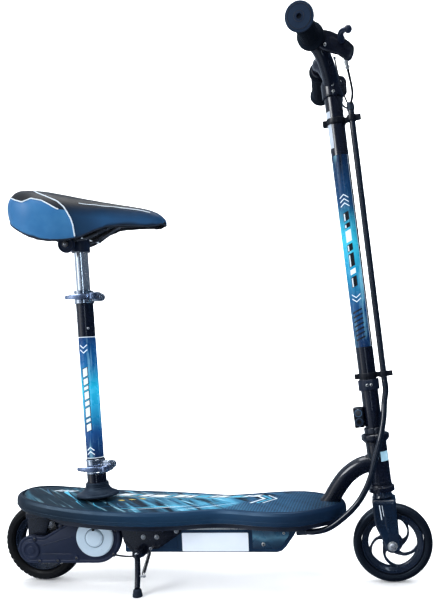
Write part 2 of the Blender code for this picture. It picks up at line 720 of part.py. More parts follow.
def post_clamp(name, low, high, inner, outer):
    """A band round the post with two ears at the front, their gap and the bolt through them."""
    body = ring(name, inner, outer, low, high, CHROME, 28)
    on_post(body)
    body = baked(body)
    mid = (low + high) / 2
    h = (high - low) * 0.36
    ears = box(name + "_ears", (outer - 0.0030, -0.0085, mid - h), (outer + 0.0165, 0.0085, mid + h), CHROME, CUTTERS)
    ears.matrix_world = POST @ Matrix.Translation((outer + 0.00675, 0, mid))
    slot = box(name + "_slot", (0, -0.0012, mid - h), (0.05, 0.0012, mid + h), CHROME, CUTTERS)
    slot.matrix_world = POST @ Matrix.Translation((inner + 0.025 - 0.0005, 0, mid))
    slot.scale = (1, 1, 1.6)
    rod = cylinder(name + "_rod", 0.0032, 0.0320, (0, 0, 0), "Y", CHROME, 14, CUTTERS)
    rod.matrix_world = POST @ Matrix.Translation((outer + 0.0085, 0.0040, mid))
    knob = cylinder(name + "_knob", 0.0075, 0.0070, (0, 0, 0), "Y", CHROME, 14, CUTTERS)
    knob.matrix_world = POST @ Matrix.Translation((outer + 0.0085, 0.0165, mid))
    bore = cylinder(name + "_bore", inner + 0.0001, 0.0600, (0, 0, 0), "Z", CHROME, 32, CUTTERS)
    bore.matrix_world = POST @ Matrix.Translation((0, 0, mid))
    join(body, ears)
    cut(body, slot, bore)
    join(body, rod, knob)
    return body


def clamp_lever(name, s, outer):
    """The quick-release lever: a cam beside the ear and a curved handle round the band."""
    cx = outer + 0.0085
    pts = []
    path = [(cx - 0.0020, -0.0215), (cx - 0.0120, -0.0250), (cx - 0.0260, -0.0262), (cx - 0.0400, -0.0245), (cx - 0.0560, -0.0185)]
    line = spline_points([(x, y, 0) for x, y in path], 9)
    left, right = [], []
    for i, p in enumerate(line):
        d = (line[min(i + 1, 8)] - line[max(i - 1, 0)]).normalized()
        n = Vector((-d.y, d.x, 0))
        w = 0.0016 + 0.0010 * math.sin(math.pi * i / 8)
        left.append(p + n * w)
        right.append(p - n * w)
    outline = [(q.x, q.y) for q in left] + [(q.x, q.y) for q in reversed(right)]
    blade = plate(name, [outline], 0.0052, CHROME, "XY")
    blade.matrix_world = POST @ Matrix.Translation((0, 0, s))
    cam = cylinder(name + "_cam", 0.0068, 0.0130, (0, 0, 0), "Z", CHROME, 20, CUTTERS)
    cam.matrix_world = POST @ Matrix.Translation((cx, -0.0195, s))
    join(blade, cam)
    return blade


upper_post_clamp = post_clamp("upper_post_clamp", 0.3455 - 0.0120, 0.3455 + 0.0120, SEAT_TUBE_R + GAP, 0.0182)
upper_clamp_lever = clamp_lever("upper_clamp_lever", 0.3455, 0.0182)
lower_post_clamp = post_clamp("lower_post_clamp", 0.0080, 0.0360, SEAT_TUBE_R + GAP, 0.0182)
lower_clamp_lever = clamp_lever("lower_clamp_lever", 0.0190, 0.0182)

# ------------------------------------------------------------------ seat
SEAT = [
    # x, half width, top, edge, how far the skirt tucks in under the nose
    (-0.3440, 0.030, 0.7200, 0.7000, 0.0), (-0.3360, 0.058, 0.7400, 0.6820, 0.0), (-0.3140, 0.080, 0.7480, 0.6690, 0.0),
    (-0.2850, 0.087, 0.7450, 0.6560, 0.0), (-0.2500, 0.080, 0.7375, 0.6500, 0.0), (-0.2150, 0.060, 0.7290, 0.6550, 0.0),
    (-0.1800, 0.042, 0.7215, 0.6640, 0.3), (-0.1480, 0.033, 0.7150, 0.6680, 0.7), (-0.1150, 0.029, 0.7080, 0.6675, 1.0),
    (-0.0850, 0.0265, 0.7000, 0.6665, 1.0), (-0.0650, 0.0210, 0.6900, 0.6675, 1.0), (-0.0550, 0.0110, 0.6790, 0.6695, 1.0),
]


def skirt_in(tuck):
    """Inner face of the skirt, as a share of the half width."""
    return 0.78 - 0.30 * tuck


seat_bm = bmesh.new()
seat_rings = []
for x, w, top, edge, tuck in SEAT:
    h = top - edge
    inner = edge + min(0.0300, h * 0.5)
    f = skirt_in(tuck)
    half = [
        (0.0, top), (0.40, top - 0.03 * h), (0.74, top - 0.13 * h), (0.95, top - 0.36 * h), (1.0, top - 0.62 * h),
        (0.965 - 0.135 * tuck, edge + 0.12 * h), (f + 0.12, edge), (f + 0.04, edge + 0.0030), (f, inner),
    ]
    pts = [(w * u, z) for u, z in half] + [(-w * u, z) for u, z in reversed(half[1:])]
    seat_rings.append([seat_bm.verts.new((x, y, z)) for y, z in pts])
m = len(seat_rings[0])
for a, b in zip(seat_rings, seat_rings[1:]):
    for j in range(m):
        seat_bm.faces.new((a[j], a[(j + 1) % m], b[(j + 1) % m], b[j]))
seat_bm.faces.new(seat_rings[0])
seat_bm.faces.new(list(reversed(seat_rings[-1])))
bmesh.ops.triangulate(seat_bm, faces=[f for f in seat_bm.faces if len(f.verts) > 4], ngon_method="EAR_CLIP")
seat_cushion = mesh_object("seat_cushion", seat_bm, SEAT_SKIN)

shell_bm = bmesh.new()
shell_rows = []
for x, w, top, edge, tuck in SEAT[1:-2]:
    inner = edge + min(0.0300, (top - edge) * 0.5)
    ws = w * (skirt_in(tuck) - 0.035)
    deep = min(0.0200, inner - edge - 0.0010)
    shell_rows.append([
        shell_bm.verts.new(q)
        for q in (
            (x, -ws, inner - 0.0005), (x, ws, inner - 0.0005), (x, ws, inner - deep), (x, ws - 0.0022, inner - deep),
            (x, ws - 0.0022, inner - 0.0030), (x, -ws + 0.0022, inner - 0.0030), (x, -ws + 0.0022, inner - deep),
            (x, -ws, inner - deep),
        )
    ])
for a, b in zip(shell_rows, shell_rows[1:]):
    for j in range(8):
        shell_bm.faces.new((a[j], a[(j + 1) % 8], b[(j + 1) % 8], b[j]))
for row, turn in ((shell_rows[0], 1), (shell_rows[-1], -1)):
    for corners in ((1, 2, 3, 4), (0, 1, 4, 5), (0, 5, 6, 7)):
        shell_bm.faces.new([row[j] for j in corners][::turn])
seat_shell = mesh_object("seat_shell", shell_bm, BLACK_PLASTIC)

RAIL_LINE = [
    (-0.3050, -0.0300, 0.6755), (-0.2920, -0.0270, 0.6670), (-0.2700, -0.0230, 0.6560), (-0.2400, -0.0220, 0.6500), (-0.2050, -0.0205, 0.6535),
    (-0.1780, -0.0170, 0.6640), (-0.1580, -0.0120, 0.6725), (-0.1450, -0.0060, 0.6755), (-0.1410, 0.0, 0.6760), (-0.1450, 0.0060, 0.6755),
    (-0.1580, 0.0120, 0.6725), (-0.1780, 0.0170, 0.6640), (-0.2050, 0.0205, 0.6535), (-0.2400, 0.0220, 0.6500),
    (-0.2700, 0.0230, 0.6560), (-0.2920, 0.0270, 0.6670), (-0.3050, 0.0300, 0.6755),
]
seat_rails = tube("seat_rails", RAIL_LINE, 0.0032, STEEL, res=1, smooth_to=28)
rails_room = tube("rails_room", RAIL_LINE, 0.0036, STEEL, res=1, coll=CUTTERS, smooth_to=28)

seat_clamp = ring("seat_clamp", SEAT_POST_R + GAP, 0.0175, 0.4300, 0.4560, BLACK_PLASTIC, 32)
on_post(seat_clamp)
seat_clamp = baked(seat_clamp)
yoke = cylinder("seat_clamp_yoke", 0.0120, 0.0560, (-0.2410, 0, 0.6460), "Y", BLACK_PLASTIC, 28, CUTTERS)
disc_a = cylinder("seat_clamp_disc_a", 0.0160, 0.0060, (-0.2410, -0.0300, 0.6425), "Y", BLACK_PLASTIC, 28, CUTTERS)
disc_b = cylinder("seat_clamp_disc_b", 0.0160, 0.0060, (-0.2410, 0.0300, 0.6425), "Y", BLACK_PLASTIC, 28, CUTTERS)
clamp_room = cylinder("seat_clamp_bore", SEAT_POST_R + GAP + 0.0001, 0.0440, (0, 0, 0), "Z", BLACK_PLASTIC, 32, CUTTERS)
clamp_room.matrix_world = POST @ Matrix.Translation((0, 0, 0.4270))
join(seat_clamp, yoke, disc_a, disc_b)
cut(seat_clamp, clamp_room, rails_room)

# ------------------------------------------------------------------ kickstand
bracket_line = [(-0.1560, 0.1130), (-0.1520, 0.0880), (-0.1330, 0.0640), (-0.1100, 0.0640), (-0.1000, 0.0740), (-0.0850, 0.0760),
                (-0.0420, 0.1045), (-0.0420, 0.1130)]
kickstand_bracket = plate("kickstand_bracket", [bracket_line], 0.0018, GLOSS_BLACK, centre=(0, -0.0522, 0))
boss = cylinder("kick_boss", 0.0095, 0.0110, (KICK_X, -0.0585, KICK_Z), "Y", GLOSS_BLACK, 24, CUTTERS)
pin = cylinder("kick_pin", 0.0036, 0.0200, (KICK_X, -0.0640, KICK_Z), "Y", GLOSS_BLACK, 16, CUTTERS)
hook_pin = cylinder("spring_pin", 0.0020, 0.0140, (-0.0965, -0.0590, 0.0792), "Y", GLOSS_BLACK, 12, CUTTERS)
join(kickstand_bracket, boss, pin, hook_pin)

LEG = [(KICK_X, -0.0698, KICK_Z), (-0.1205, -0.0718, 0.0560), (-0.1185, -0.0800, 0.0330), (-0.1165, -0.0900, 0.0141)]
kickstand_leg = tube("kickstand_leg", LEG, 0.0052, GLOSS_BLACK, res=3, smooth_to=8)
eye = cylinder("kick_eye", 0.0090, 0.0070, (KICK_X, -0.0681, KICK_Z), "Y", GLOSS_BLACK, 24, CUTTERS)
eye_hole = cylinder("kick_eye_hole", 0.0040, 0.0300, (KICK_X, -0.0681, KICK_Z), "Y", GLOSS_BLACK, 16, CUTTERS)
leg_end = box("leg_end_cut", (-0.140, -0.110, -0.010), (-0.090, -0.070, 0.0138), GLOSS_BLACK, CUTTERS)
spring_ear = cylinder("spring_ear", 0.0019, 0.0130, (-0.1120, -0.0800, 0.0330), "X", GLOSS_BLACK, 12, CUTTERS)
join(kickstand_leg, eye, spring_ear)
cut(kickstand_leg, eye_hole, leg_end)
kickstand_foot = turned(
    "kickstand_foot", [(0, 0.0135), (0.0062, 0.0135), (0.0075, 0.0100), (0.0088, 0.0020), (0.0082, 0.0), (0, 0.0)], RUBBER, seg=20
)
kickstand_foot.location = (-0.1160, -0.0915, 0)
kickstand_spring = tube(
    "kickstand_spring", [(-0.0985, -0.0640, 0.0733), (-0.1035, -0.0715, 0.0560), (-0.1083, -0.0787, 0.0392)], 0.0036, STEEL, res=2
)

# ------------------------------------------------------------------ headset, fork and stem
lower_cup = turned(
    "headset_lower_cup",
    [(0.0132, 0.0130), (0.0205, 0.0130), (0.0232, 0.0085), (0.0232, 0.0010), (0.0222, 0), (0.0132, 0)],
    GLOSS_BLACK, closed=True, seg=28,
)
on_steer(lower_cup)
upper_cup = turned(
    "headset_upper_cup",
    [(0.0132, 0.0142), (0.0235, 0.0142), (0.0255, 0.0120), (0.0255, 0.0045), (0.0215, 0), (0.0132, 0)],
    GLOSS_BLACK, closed=True, seg=28,
)
on_steer(upper_cup, 0.0926)
steering_nut = ring("steering_nut", 0.0131, 0.0188, 0.1071, 0.1180, GLOSS_BLACK, 6 * 4)
on_steer(steering_nut)

FORK_TOP = 0.1563
blade_line = [
    (0.3069, FORK_TOP), (0.3463, FORK_TOP), (0.3500, 0.1000), (0.3510, 0.0800), (0.3505, 0.0700), (0.3465, 0.0640),
    (0.3400, 0.0615), (0.3345, 0.0635), (0.3290, 0.0720), (0.3140, 0.1018), (0.3105, 0.1150), (0.3080, 0.1400),
]
fork = box("fork", (0.3074, -0.0252, FORK_TOP - 0.0042), (0.3458, 0.0252, FORK_TOP - 0.0002), GLOSS_BLACK)
blades = [plate("fork_blade_" + n, [blade_line], 0.0018, GLOSS_BLACK, centre=(0, y, 0), coll=CUTTERS) for n, y in (("r", -0.0250), ("l", 0.0250))]
steerer = cylinder("fork_steerer", 0.0127, 0.2620, tuple(along_steer(0.1200)), "Z", GLOSS_BLACK, 32, CUTTERS)
steerer.rotation_euler = (0, -STEER_LEAN, 0)
race = cylinder("fork_race", 0.0173, 0.0100, tuple(along_steer(-0.0053)), "Z", GLOSS_BLACK, 32, CUTTERS)
race.rotation_euler = (0, -STEER_LEAN, 0)
fork_hole = cylinder("fork_axle_holes", 0.0053, 0.09, FRONT, "Y", GLOSS_BLACK, 20, CUTTERS)
join(fork, *blades, race, steerer)
cut(fork, fork_hole)

STEM_TOP = 0.7280
stem_tube = ring("stem_tube", 0.0131, STEM_R, 0.1184, STEM_TOP, GLOSS_BLACK, 36)
on_steer(stem_tube)



def cable_clip(name, s, reach):
    """A band round the stem with an arm forward that ends in a loop round the cable sleeve."""
    body = ring(name, STEM_R + GAP, 0.0178, s - 0.0050, s + 0.0050, BLACK_PLASTIC, 28)
    on_steer(body)
    body = baked(body)
    arm = box(name + "_arm", (0, -0.0030, -0.0045), (0.0130, 0.0030, 0.0045), BLACK_PLASTIC, CUTTERS)
    arm.matrix_world = STEER @ Matrix.Translation((0.0215, -0.0040, s))
    loop = ring(name + "_loop", 0.0059, 0.0085, -0.0050, 0.0050, BLACK_PLASTIC, 24, CUTTERS)
    loop.matrix_world = STEER @ Matrix.Translation((reach, -0.0100, s))
    loop = baked(loop)
    hook = box(name + "_hook", (0, -0.0035, -0.0048), (0.0100, 0.0035, 0.0048), BLACK_PLASTIC, CUTTERS)
    hook.matrix_world = STEER @ Matrix.Translation((reach + 0.0110, -0.0100, s))
    back = box(name + "_back", (0, -0.0060, -0.0048), (0.0070, 0.0060, 0.0048), BLACK_PLASTIC, CUTTERS)
    back.matrix_world = STEER @ Matrix.Translation((-0.0200, 0, s))
    clear = cylinder(name + "_room", 0.0060, 0.03, (0, 0, 0), "Z", BLACK_PLASTIC, 24, CUTTERS)
    clear.matrix_world = STEER @ Matrix.Translation((reach, -0.0100, s))
    bore = cylinder(name + "_bore", STEM_R + GAP + 0.0001, 0.03, (0, 0, 0), "Z", BLACK_PLASTIC, 28, CUTTERS)
    bore.matrix_world = STEER @ Matrix.Translation((0, 0, s))
    join(body, arm, loop, hook, back)
    cut(body, clear, bore)
    return body


LOOM_OFF = 0.0290
cable_clip_upper = cable_clip("cable_clip_upper", 0.6650, LOOM_OFF)
cable_clip_lower = cable_clip("cable_clip_lower", 0.2120, LOOM_OFF)

switch_box = box("switch_box", (-0.0090, -0.0140, -0.0180), (0.0090, 0.0140, 0.0180), BLACK_PLASTIC)
switch_box.matrix_world = STEER @ Matrix.Translation((-0.0246, 0, 0.1385))
for nm, dz, deep in (("button_room", 0.0085, 0.0145), ("socket_room", -0.0075, 0.0120)):
    hole = cylinder(nm, 0.0055, deep, (0, 0, 0), "Y", BLACK_PLASTIC, 20, CUTTERS)
    hole.matrix_world = STEER @ Matrix.Translation((-0.0246, -0.0180 + deep / 2, 0.1385 + dz))
    cut(switch_box, hole)
power_button = turned("power_button", [(0, 0.0095), (0.0040, 0.0095), (0.0050, 0.0088), (0.0050, 0.0), (0, 0.0)], BLACK_PLASTIC, seg=20)
power_button.matrix_world = STEER @ Matrix.Translation((-0.0246, -0.0070, 0.1470)) @ Matrix.Rotation(math.pi / 2, 4, "X")
charge_socket = turned(
    "charge_socket",
    [(0, 0.0030), (0.0037, 0.0030), (0.0037, 0.0095), (0.0064, 0.0095), (0.0064, 0.0083), (0.0051, 0.0079), (0.0051, 0.0004), (0, 0.0004)],
    STEEL, seg=24,
)
charge_socket.matrix_world = STEER @ Matrix.Translation((-0.0246, -0.0063, 0.1310)) @ Matrix.Rotation(math.pi / 2, 4, "X")

# ------------------------------------------------------------------ handlebar
ARM_HALF = [(0.2590, 0.0, 0.8890), (0.2585, 0.0120, 0.9000), (0.2560, 0.0240, 0.9130), (0.2510, 0.0345, 0.9280),
            (0.2440, 0.0405, 0.9420), (0.2368, 0.0465, 0.9502), (0.2351, 0.0535, 0.9516)]
arms = [(x, -y, z) for x, y, z in reversed(ARM_HALF)] + ARM_HALF[1:]
handlebar = tube("handlebar", arms, 0.0138, GLOSS_BLACK, res=3, smooth_to=19)
GRIP_IN = Vector((0.2342, 0.0600, 0.9510))
GRIP_OUT = Vector((0.2254, 0.1690, 0.9392))
bars = []
for n, s in (("l", 1), ("r", -1)):
    a = Vector((0.2362, s * 0.0460, 0.9497))
    b = Vector((GRIP_OUT.x, s * GRIP_OUT.y, GRIP_OUT.z))
    mid = Vector((GRIP_IN.x, s * GRIP_IN.y, GRIP_IN.z))
    a = mid + (mid - b) * 0.10
    bars.append(tube("bar_end_" + n, [tuple(a), tuple(b)], 0.0111, GLOSS_BLACK, res=3, coll=CUTTERS))
sleeve = cylinder("bar_sleeve", 0.0186, 0.0250, tuple(along_steer(0.7200)), "Z", GLOSS_BLACK, 28, CUTTERS)
sleeve.rotation_euler = (0, -STEER_LEAN, 0)
bar_room = cylinder("bar_bore", STEM_R + GAP, 0.0300, tuple(along_steer(0.7133)), "Z", GLOSS_BLACK, 28, CUTTERS)
bar_room.rotation_euler = (0, -STEER_LEAN, 0)
join(handlebar, sleeve, *bars)
cut(handlebar, bar_room)


def bar_frame(side, dist):
    """Matrix whose +Z runs outwards along the bar end; dist is measured from the inner grip point."""
    a = Vector((GRIP_IN.x, side * GRIP_IN.y, GRIP_IN.z))
    b = Vector((GRIP_OUT.x, side * GRIP_OUT.y, GRIP_OUT.z))
    z = (b - a).normalized()
    x = Vector((1, 0, 0))
    x = (x - z * x.dot(z)).normalized()
    y = z.cross(x)
    m = Matrix((x, y, z)).transposed().to_4x4()
    m.translation = a + z * dist
    return m


def grip(name, side, start, end, f=GRIP_FLANGE_R, inner=GRIP_FLANGE_R):
    L = end - start
    prof = [(0.0040, L), (f - 0.0015, L), (f, L - 0.0020), (f - 0.0010, L - 0.0068), (GRIP_R, L - 0.0085),
            (GRIP_R, 0.0080), (inner - 0.0010, 0.0060), (inner - 0.0010, 0.0), (0.0114, 0.0), (0.0114, L - 0.0030), (0.0040, L - 0.0030)]
    g = turned(name, prof, RUBBER, closed=True, seg=26)
    g.matrix_world = bar_frame(side, start)
    return g


BAR_LEN = (GRIP_OUT - GRIP_IN).length
grip_right = grip("grip_right", -1, 0.0145, BAR_LEN + 0.0034)
throttle_grip = grip("throttle_grip", 1, 0.0145, BAR_LEN + 0.0034, 0.0210, 0.0200)

# brake lever housing: a ring on the bar and a long body forwards and down
perch_line = [(0.2420, 0.9380), (0.2450, 0.9560), (0.2560, 0.9600), (0.2680, 0.9560), (0.2800, 0.9490), (0.2960, 0.9370), (0.3040, 0.9285),
              (0.3030, 0.9190), (0.2985, 0.9100), (0.2905, 0.9060), (0.2850, 0.9130), (0.2760, 0.9200), (0.2640, 0.9240), (0.2520, 0.9290)]
brake_perch = plate("brake_perch", [perch_line], 0.0055, BLACK_PLASTIC, centre=(0, -0.0674, 0))
perch_ring = cylinder("perch_ring", 0.0158, 0.0110, (0, 0, 0), "Z", BLACK_PLASTIC, 32, CUTTERS)
perch_ring.matrix_world = bar_frame(-1, 0.0076)
perch_bore = cylinder("perch_bore", 0.0114, 0.0500, (0, 0, 0), "Z", BLACK_PLASTIC, 32, CUTTERS)
perch_bore.matrix_world = bar_frame(-1, 0.0)
lever_slot = box("lever_slot", (0.2720, -0.0850, 0.9325), (0.3100, -0.0650, 0.9435), BLACK_PLASTIC, CUTTERS)
join(brake_perch, perch_ring)
cut(brake_perch, perch_bore, lever_slot)

LEVER_X, LEVER_Y = 0.2840, -0.0692
LEVER = [(LEVER_X, LEVER_Y, 0.9380), (0.2830, -0.0850, 0.9385), (0.2845, -0.1010, 0.9385), (0.2890, -0.1130, 0.9370), (0.2955, -0.1205, 0.9350)]
brake_lever = tube("brake_lever", LEVER, 0.0038, GLOSS_BLACK, res=2, smooth_to=9)
ball_bm = bmesh.new()
bmesh.ops.create_uvsphere(ball_bm, u_segments=10, v_segments=7, radius=0.0058)
ball = mesh_object("lever_ball", ball_bm, GLOSS_BLACK, CUTTERS)
ball.location = (0.2970, -0.1215, 0.9345)
join(brake_lever, ball)

throttle_line = [(0.2400, 0.9380), (0.2440, 0.9450), (0.2500, 0.9440), (0.2620, 0.9370), (0.2780, 0.9330), (0.2830, 0.9260),
                 (0.2835, 0.9050), (0.2780, 0.8975), (0.2680, 0.8975), (0.2600, 0.9040), (0.2540, 0.9200), (0.2460, 0.9310)]
throttle_housing = plate("throttle_housing", [throttle_line], 0.0055, BLACK_PLASTIC, centre=(0, 0.0674, 0))
th_ring = cylinder("throttle_ring", 0.0158, 0.0110, (0, 0, 0), "Z", BLACK_PLASTIC, 32, CUTTERS)
th_ring.matrix_world = bar_frame(1, 0.0076)
th_bore = cylinder("throttle_bore", 0.0114, 0.0500, (0, 0, 0), "Z", BLACK_PLASTIC, 32, CUTTERS)
th_bore.matrix_world = bar_frame(1, 0.0)
join(throttle_housing, th_ring)
cut(throttle_housing, th_bore)

# ------------------------------------------------------------------ cables
LOOM_R = 0.0055
LOOM_TOP, LOOM_SPLIT = 0.6820, 0.2010
loom_upper = tube(
    "cable_sleeve_upper",
    [tuple(along_steer(LOOM_TOP, LOOM_OFF, -0.010)), tuple(along_steer(0.50, LOOM_OFF, -0.010)), tuple(along_steer(0.35, LOOM_OFF, -0.010)),
     tuple(along_steer(LOOM_SPLIT, LOOM_OFF, -0.010))],
    LOOM_R, RUBBER, res=2,
)
loom_lower = tube(
    "cable_sleeve_lower",
    [tuple(along_steer(LOOM_SPLIT - 0.0005, LOOM_OFF, -0.010)), tuple(along_steer(LOOM_SPLIT - 0.0180, LOOM_OFF, -0.010)), (0.3335, -0.0125, 0.3290), (0.3310, -0.0215, 0.3000), (0.3235, -0.0330, 0.2640),
     (0.3140, -0.0385, 0.2300), (0.3035, -0.0425, 0.1950), (0.2860, -0.0465, 0.1620), (0.2620, -0.0500, 0.1360), (0.2300, -0.0515, 0.1130),
     (0.2020, -0.0490, 0.1052), (0.1830, -0.0445, 0.1056), (0.1714, -0.0430, 0.1062)],
    LOOM_R, RUBBER, res=2, smooth_to=24,
)
brake_cable = tube(
    "brake_cable",
    [(0.2905, -0.0660, 0.9030), (0.2925, -0.0610, 0.8930), (0.2975, -0.0420, 0.8650), tuple(along_steer(0.6880, LOOM_OFF + 0.001, -0.0125))],
    0.0021, RUBBER, res=2, smooth_to=10,
)
HARNESS_END = tuple(along_steer(0.6880, LOOM_OFF - 0.001, -0.0070))
control_harness = tube(
    "control_harness",
    [(0.2730, 0.0660, 0.8945), (0.2745, 0.0580, 0.8800), (0.2830, 0.0250, 0.8620), HARNESS_END],
    0.0018, RUBBER, res=2, smooth_to=10,
)
brake_switch_wire = tube(
    "brake_switch_wire",
    [(0.2700, -0.0600, 0.9190), (0.2740, -0.0480, 0.8970), (0.2800, -0.0200, 0.8760), (0.2870, -0.0080, 0.8590), HARNESS_END],
    0.0014, RUBBER, res=2, coll=CUTTERS, smooth_to=12,
)
join(control_harness, brake_switch_wire)
brake_cable_rear = tube(
    "brake_cable_rear",
    [(-0.1530, 0.0440, 0.1060), (-0.1620, 0.0490, 0.1072), (-0.1780, 0.0640, 0.1100), (-0.2090, 0.0690, 0.1130), (-0.2400, 0.0670, 0.1090),
     (-0.2600, 0.0540, 0.1010), (-0.2735, 0.0430, 0.0985)],
    0.0021, RUBBER, res=2, smooth_to=16,
)
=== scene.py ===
import json
import math

import bmesh
import bpy
import numpy as np
from mathutils import Matrix, Vector
from mathutils import noise as mnoise

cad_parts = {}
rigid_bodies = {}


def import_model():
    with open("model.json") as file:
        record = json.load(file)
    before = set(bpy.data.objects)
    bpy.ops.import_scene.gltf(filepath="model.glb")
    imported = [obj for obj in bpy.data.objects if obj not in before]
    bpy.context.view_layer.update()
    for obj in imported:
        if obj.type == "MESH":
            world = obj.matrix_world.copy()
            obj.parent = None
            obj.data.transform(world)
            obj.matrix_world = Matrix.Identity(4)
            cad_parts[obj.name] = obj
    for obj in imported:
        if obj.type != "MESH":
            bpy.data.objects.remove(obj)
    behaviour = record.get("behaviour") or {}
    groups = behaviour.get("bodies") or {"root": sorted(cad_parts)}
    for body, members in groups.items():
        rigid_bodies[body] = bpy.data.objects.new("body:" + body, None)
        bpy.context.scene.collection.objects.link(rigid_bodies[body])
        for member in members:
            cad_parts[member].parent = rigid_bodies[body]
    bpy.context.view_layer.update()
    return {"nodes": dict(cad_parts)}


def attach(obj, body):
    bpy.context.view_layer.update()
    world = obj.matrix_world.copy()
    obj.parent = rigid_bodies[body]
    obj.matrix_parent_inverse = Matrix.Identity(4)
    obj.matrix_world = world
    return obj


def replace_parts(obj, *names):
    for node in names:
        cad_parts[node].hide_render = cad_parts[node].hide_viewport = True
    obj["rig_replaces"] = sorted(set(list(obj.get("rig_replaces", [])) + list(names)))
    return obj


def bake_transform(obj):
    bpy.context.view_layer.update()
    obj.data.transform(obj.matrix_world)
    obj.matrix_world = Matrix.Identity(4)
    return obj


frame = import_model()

SCENE = bpy.context.scene

# =====================================================================================
# Measures of the frame, in metres
# =====================================================================================
GAP = 0.0003
FRONT_X, REAR_X = 0.3400, -0.3354
FRONT_Z, REAR_Z = 0.0724 * math.cos(math.pi / 30), 0.0770 * math.cos(math.pi / 30)
RIM_R, WINDOW_R = 0.0563, 0.0438
STEM_R, HEAD_R = 0.0155, 0.0190
SEAT_TUBE_R, SEAT_POST_R = 0.0160, 0.0127
MOTOR = (-0.2090, 0.0957)
KICK = (-0.1215, 0.0700)


def axis_frame(point, lean):
    return Matrix.Translation(point) @ Matrix.Rotation(-lean, 4, "Y")


STEER = axis_frame((0.32405, 0, 0.1669), math.radians(5.10))
POST = axis_frame((-0.2215, 0, 0.2000), math.radians(0.72))
ALONG_Y = Matrix.Rotation(math.pi / 2, 4, "X")          # local +Z becomes -Y


def steer(s, x=0.0, y=0.0):
    return STEER @ Vector((x, y, s))


def post(s, x=0.0, y=0.0):
    return POST @ Vector((x, y, s))


def at(x, y, z):
    return Matrix.Translation((x, y, z))


# =====================================================================================
# Shapes: every function returns (vertices, faces)
# =====================================================================================
def xform(part, matrix):
    v, f = part
    m = np.array(matrix)
    v = np.asarray(v, float).reshape(-1, 3)
    out = v @ m[:3, :3].T + m[:3, 3]
    if np.linalg.det(m[:3, :3]) < 0:
        f = [tuple(reversed(q)) for q in f]
    return out, f


def merge(*parts):
    vs, fs, n = [], [], 0
    for v, f in parts:
        v = np.asarray(v, float).reshape(-1, 3)
        vs.append(v)
        fs.extend(tuple(i + n for i in q) for q in f)
        n += len(v)
    return np.concatenate(vs), fs


def turn_y(part, side=1):
    """A part made along local +Z, laid along Y: side -1 faces the near side."""
    return xform(part, ALONG_Y if side < 0 else Matrix.Rotation(-math.pi / 2, 4, "X"))


def fillet(points, radii, n=4, closed=False):
    """Round the corners of a 2-D line. `radii` is one number or one for each point."""
    p = [np.array(q, float) for q in points]
    m = len(p)
    r = [radii] * m if not hasattr(radii, "__len__") else list(radii)
    out = []
    for i in range(m):
        if (not closed and i in (0, m - 1)) or r[i] <= 0:
            out.append(tuple(p[i]))
            continue
        a, b, c = p[i - 1], p[i], p[(i + 1) % m]
        u, w = a - b, c - b
        lu, lw = np.linalg.norm(u), np.linalg.norm(w)
        if lu < 1e-9 or lw < 1e-9:
            out.append(tuple(b))
            continue
        u, w = u / lu, w / lw
        cosang = float(np.clip(u @ w, -1, 1))
        half = math.acos(cosang) / 2
        if half > math.radians(89.3):
            out.append(tuple(b))
            continue
        cut = min(r[i] / math.tan(half), lu * 0.48, lw * 0.48)
        s, e = b + u * cut, b + w * cut
        for k in range(n + 1):
            t = k / n
            out.append(tuple(s * (1 - t) ** 2 + b * 2 * t * (1 - t) + e * t * t))
    return out


def lathe(profile, seg=64, closed=False, shape=None):
    """Turn (radius, height) round +Z. A radius of 0 at an end closes the shape there."""
    verts, rows = [], []
    for j, (r, z) in enumerate(profile):
        if r < 1e-7:
            rows.append([len(verts)])
            verts.append((0.0, 0.0, z))
        else:
            row = []
            for k in range(seg):
                a = math.tau * k / seg
                rr, zz = (r, z) if shape is None else shape(r, z, a, j)
                row.append(len(verts))
                verts.append((rr * math.cos(a), rr * math.sin(a), zz))
            rows.append(row)
    faces = []
    pairs = list(zip(rows, rows[1:]))
    if closed:
        pairs.append((rows[-1], rows[0]))
    for a, b in pairs:
        if len(a) == 1 and len(b) == 1:
            continue
        for k in range(seg):
            k2 = (k + 1) % seg
            if len(a) == 1:
                faces.append((a[0], b[k], b[k2]))
            elif len(b) == 1:
                faces.append((a[k], b[0], a[k2]))
            else:
                faces.append((a[k], b[k], b[k2], a[k2]))
    return outward((np.array(verts), faces))


def signed_volume(part):
    v, f = part
    v = np.asarray(v)
    total = 0.0
    for q in f:
        a = v[q[0]]
        for i in range(1, len(q) - 1):
            total += float(np.dot(a, np.cross(v[q[i]], v[q[i + 1]])))
    return total / 6


def outward(part):
    """Faces turned so that the shell's normals point out."""
    v, f = part
    if signed_volume(part) < 0:
        f = [tuple(reversed(q)) for q in f]
    return v, f


def spline(points, count):
    """Evenly spaced points on a smooth curve through the given ones."""
    p = [Vector(q) for q in points]
    p = [p[0] * 2 - p[1]] + p + [p[-1] * 2 - p[-2]]
    dense = []
    for i in range(1, len(p) - 2):
        a, b, c, d = p[i - 1], p[i], p[i + 1], p[i + 2]
        for k in range(24):
            t = k / 24
            dense.append(0.5 * ((2 * b) + (c - a) * t + (2 * a - 5 * b + 4 * c - d) * t * t + (3 * b - a - 3 * c + d) * t ** 3))
    dense.append(p[-2])
    run = [0.0]
    for a, b in zip(dense, dense[1:]):
        run.append(run[-1] + (b - a).length)
    out = []
    for k in range(count):
        s = run[-1] * k / (count - 1)
        j = min(max(int(np.searchsorted(run, s)), 1), len(run) - 1)
        t = (s - run[j - 1]) / max(run[j] - run[j - 1], 1e-9)
        out.append(dense[j - 1].lerp(dense[j], t))
    return out


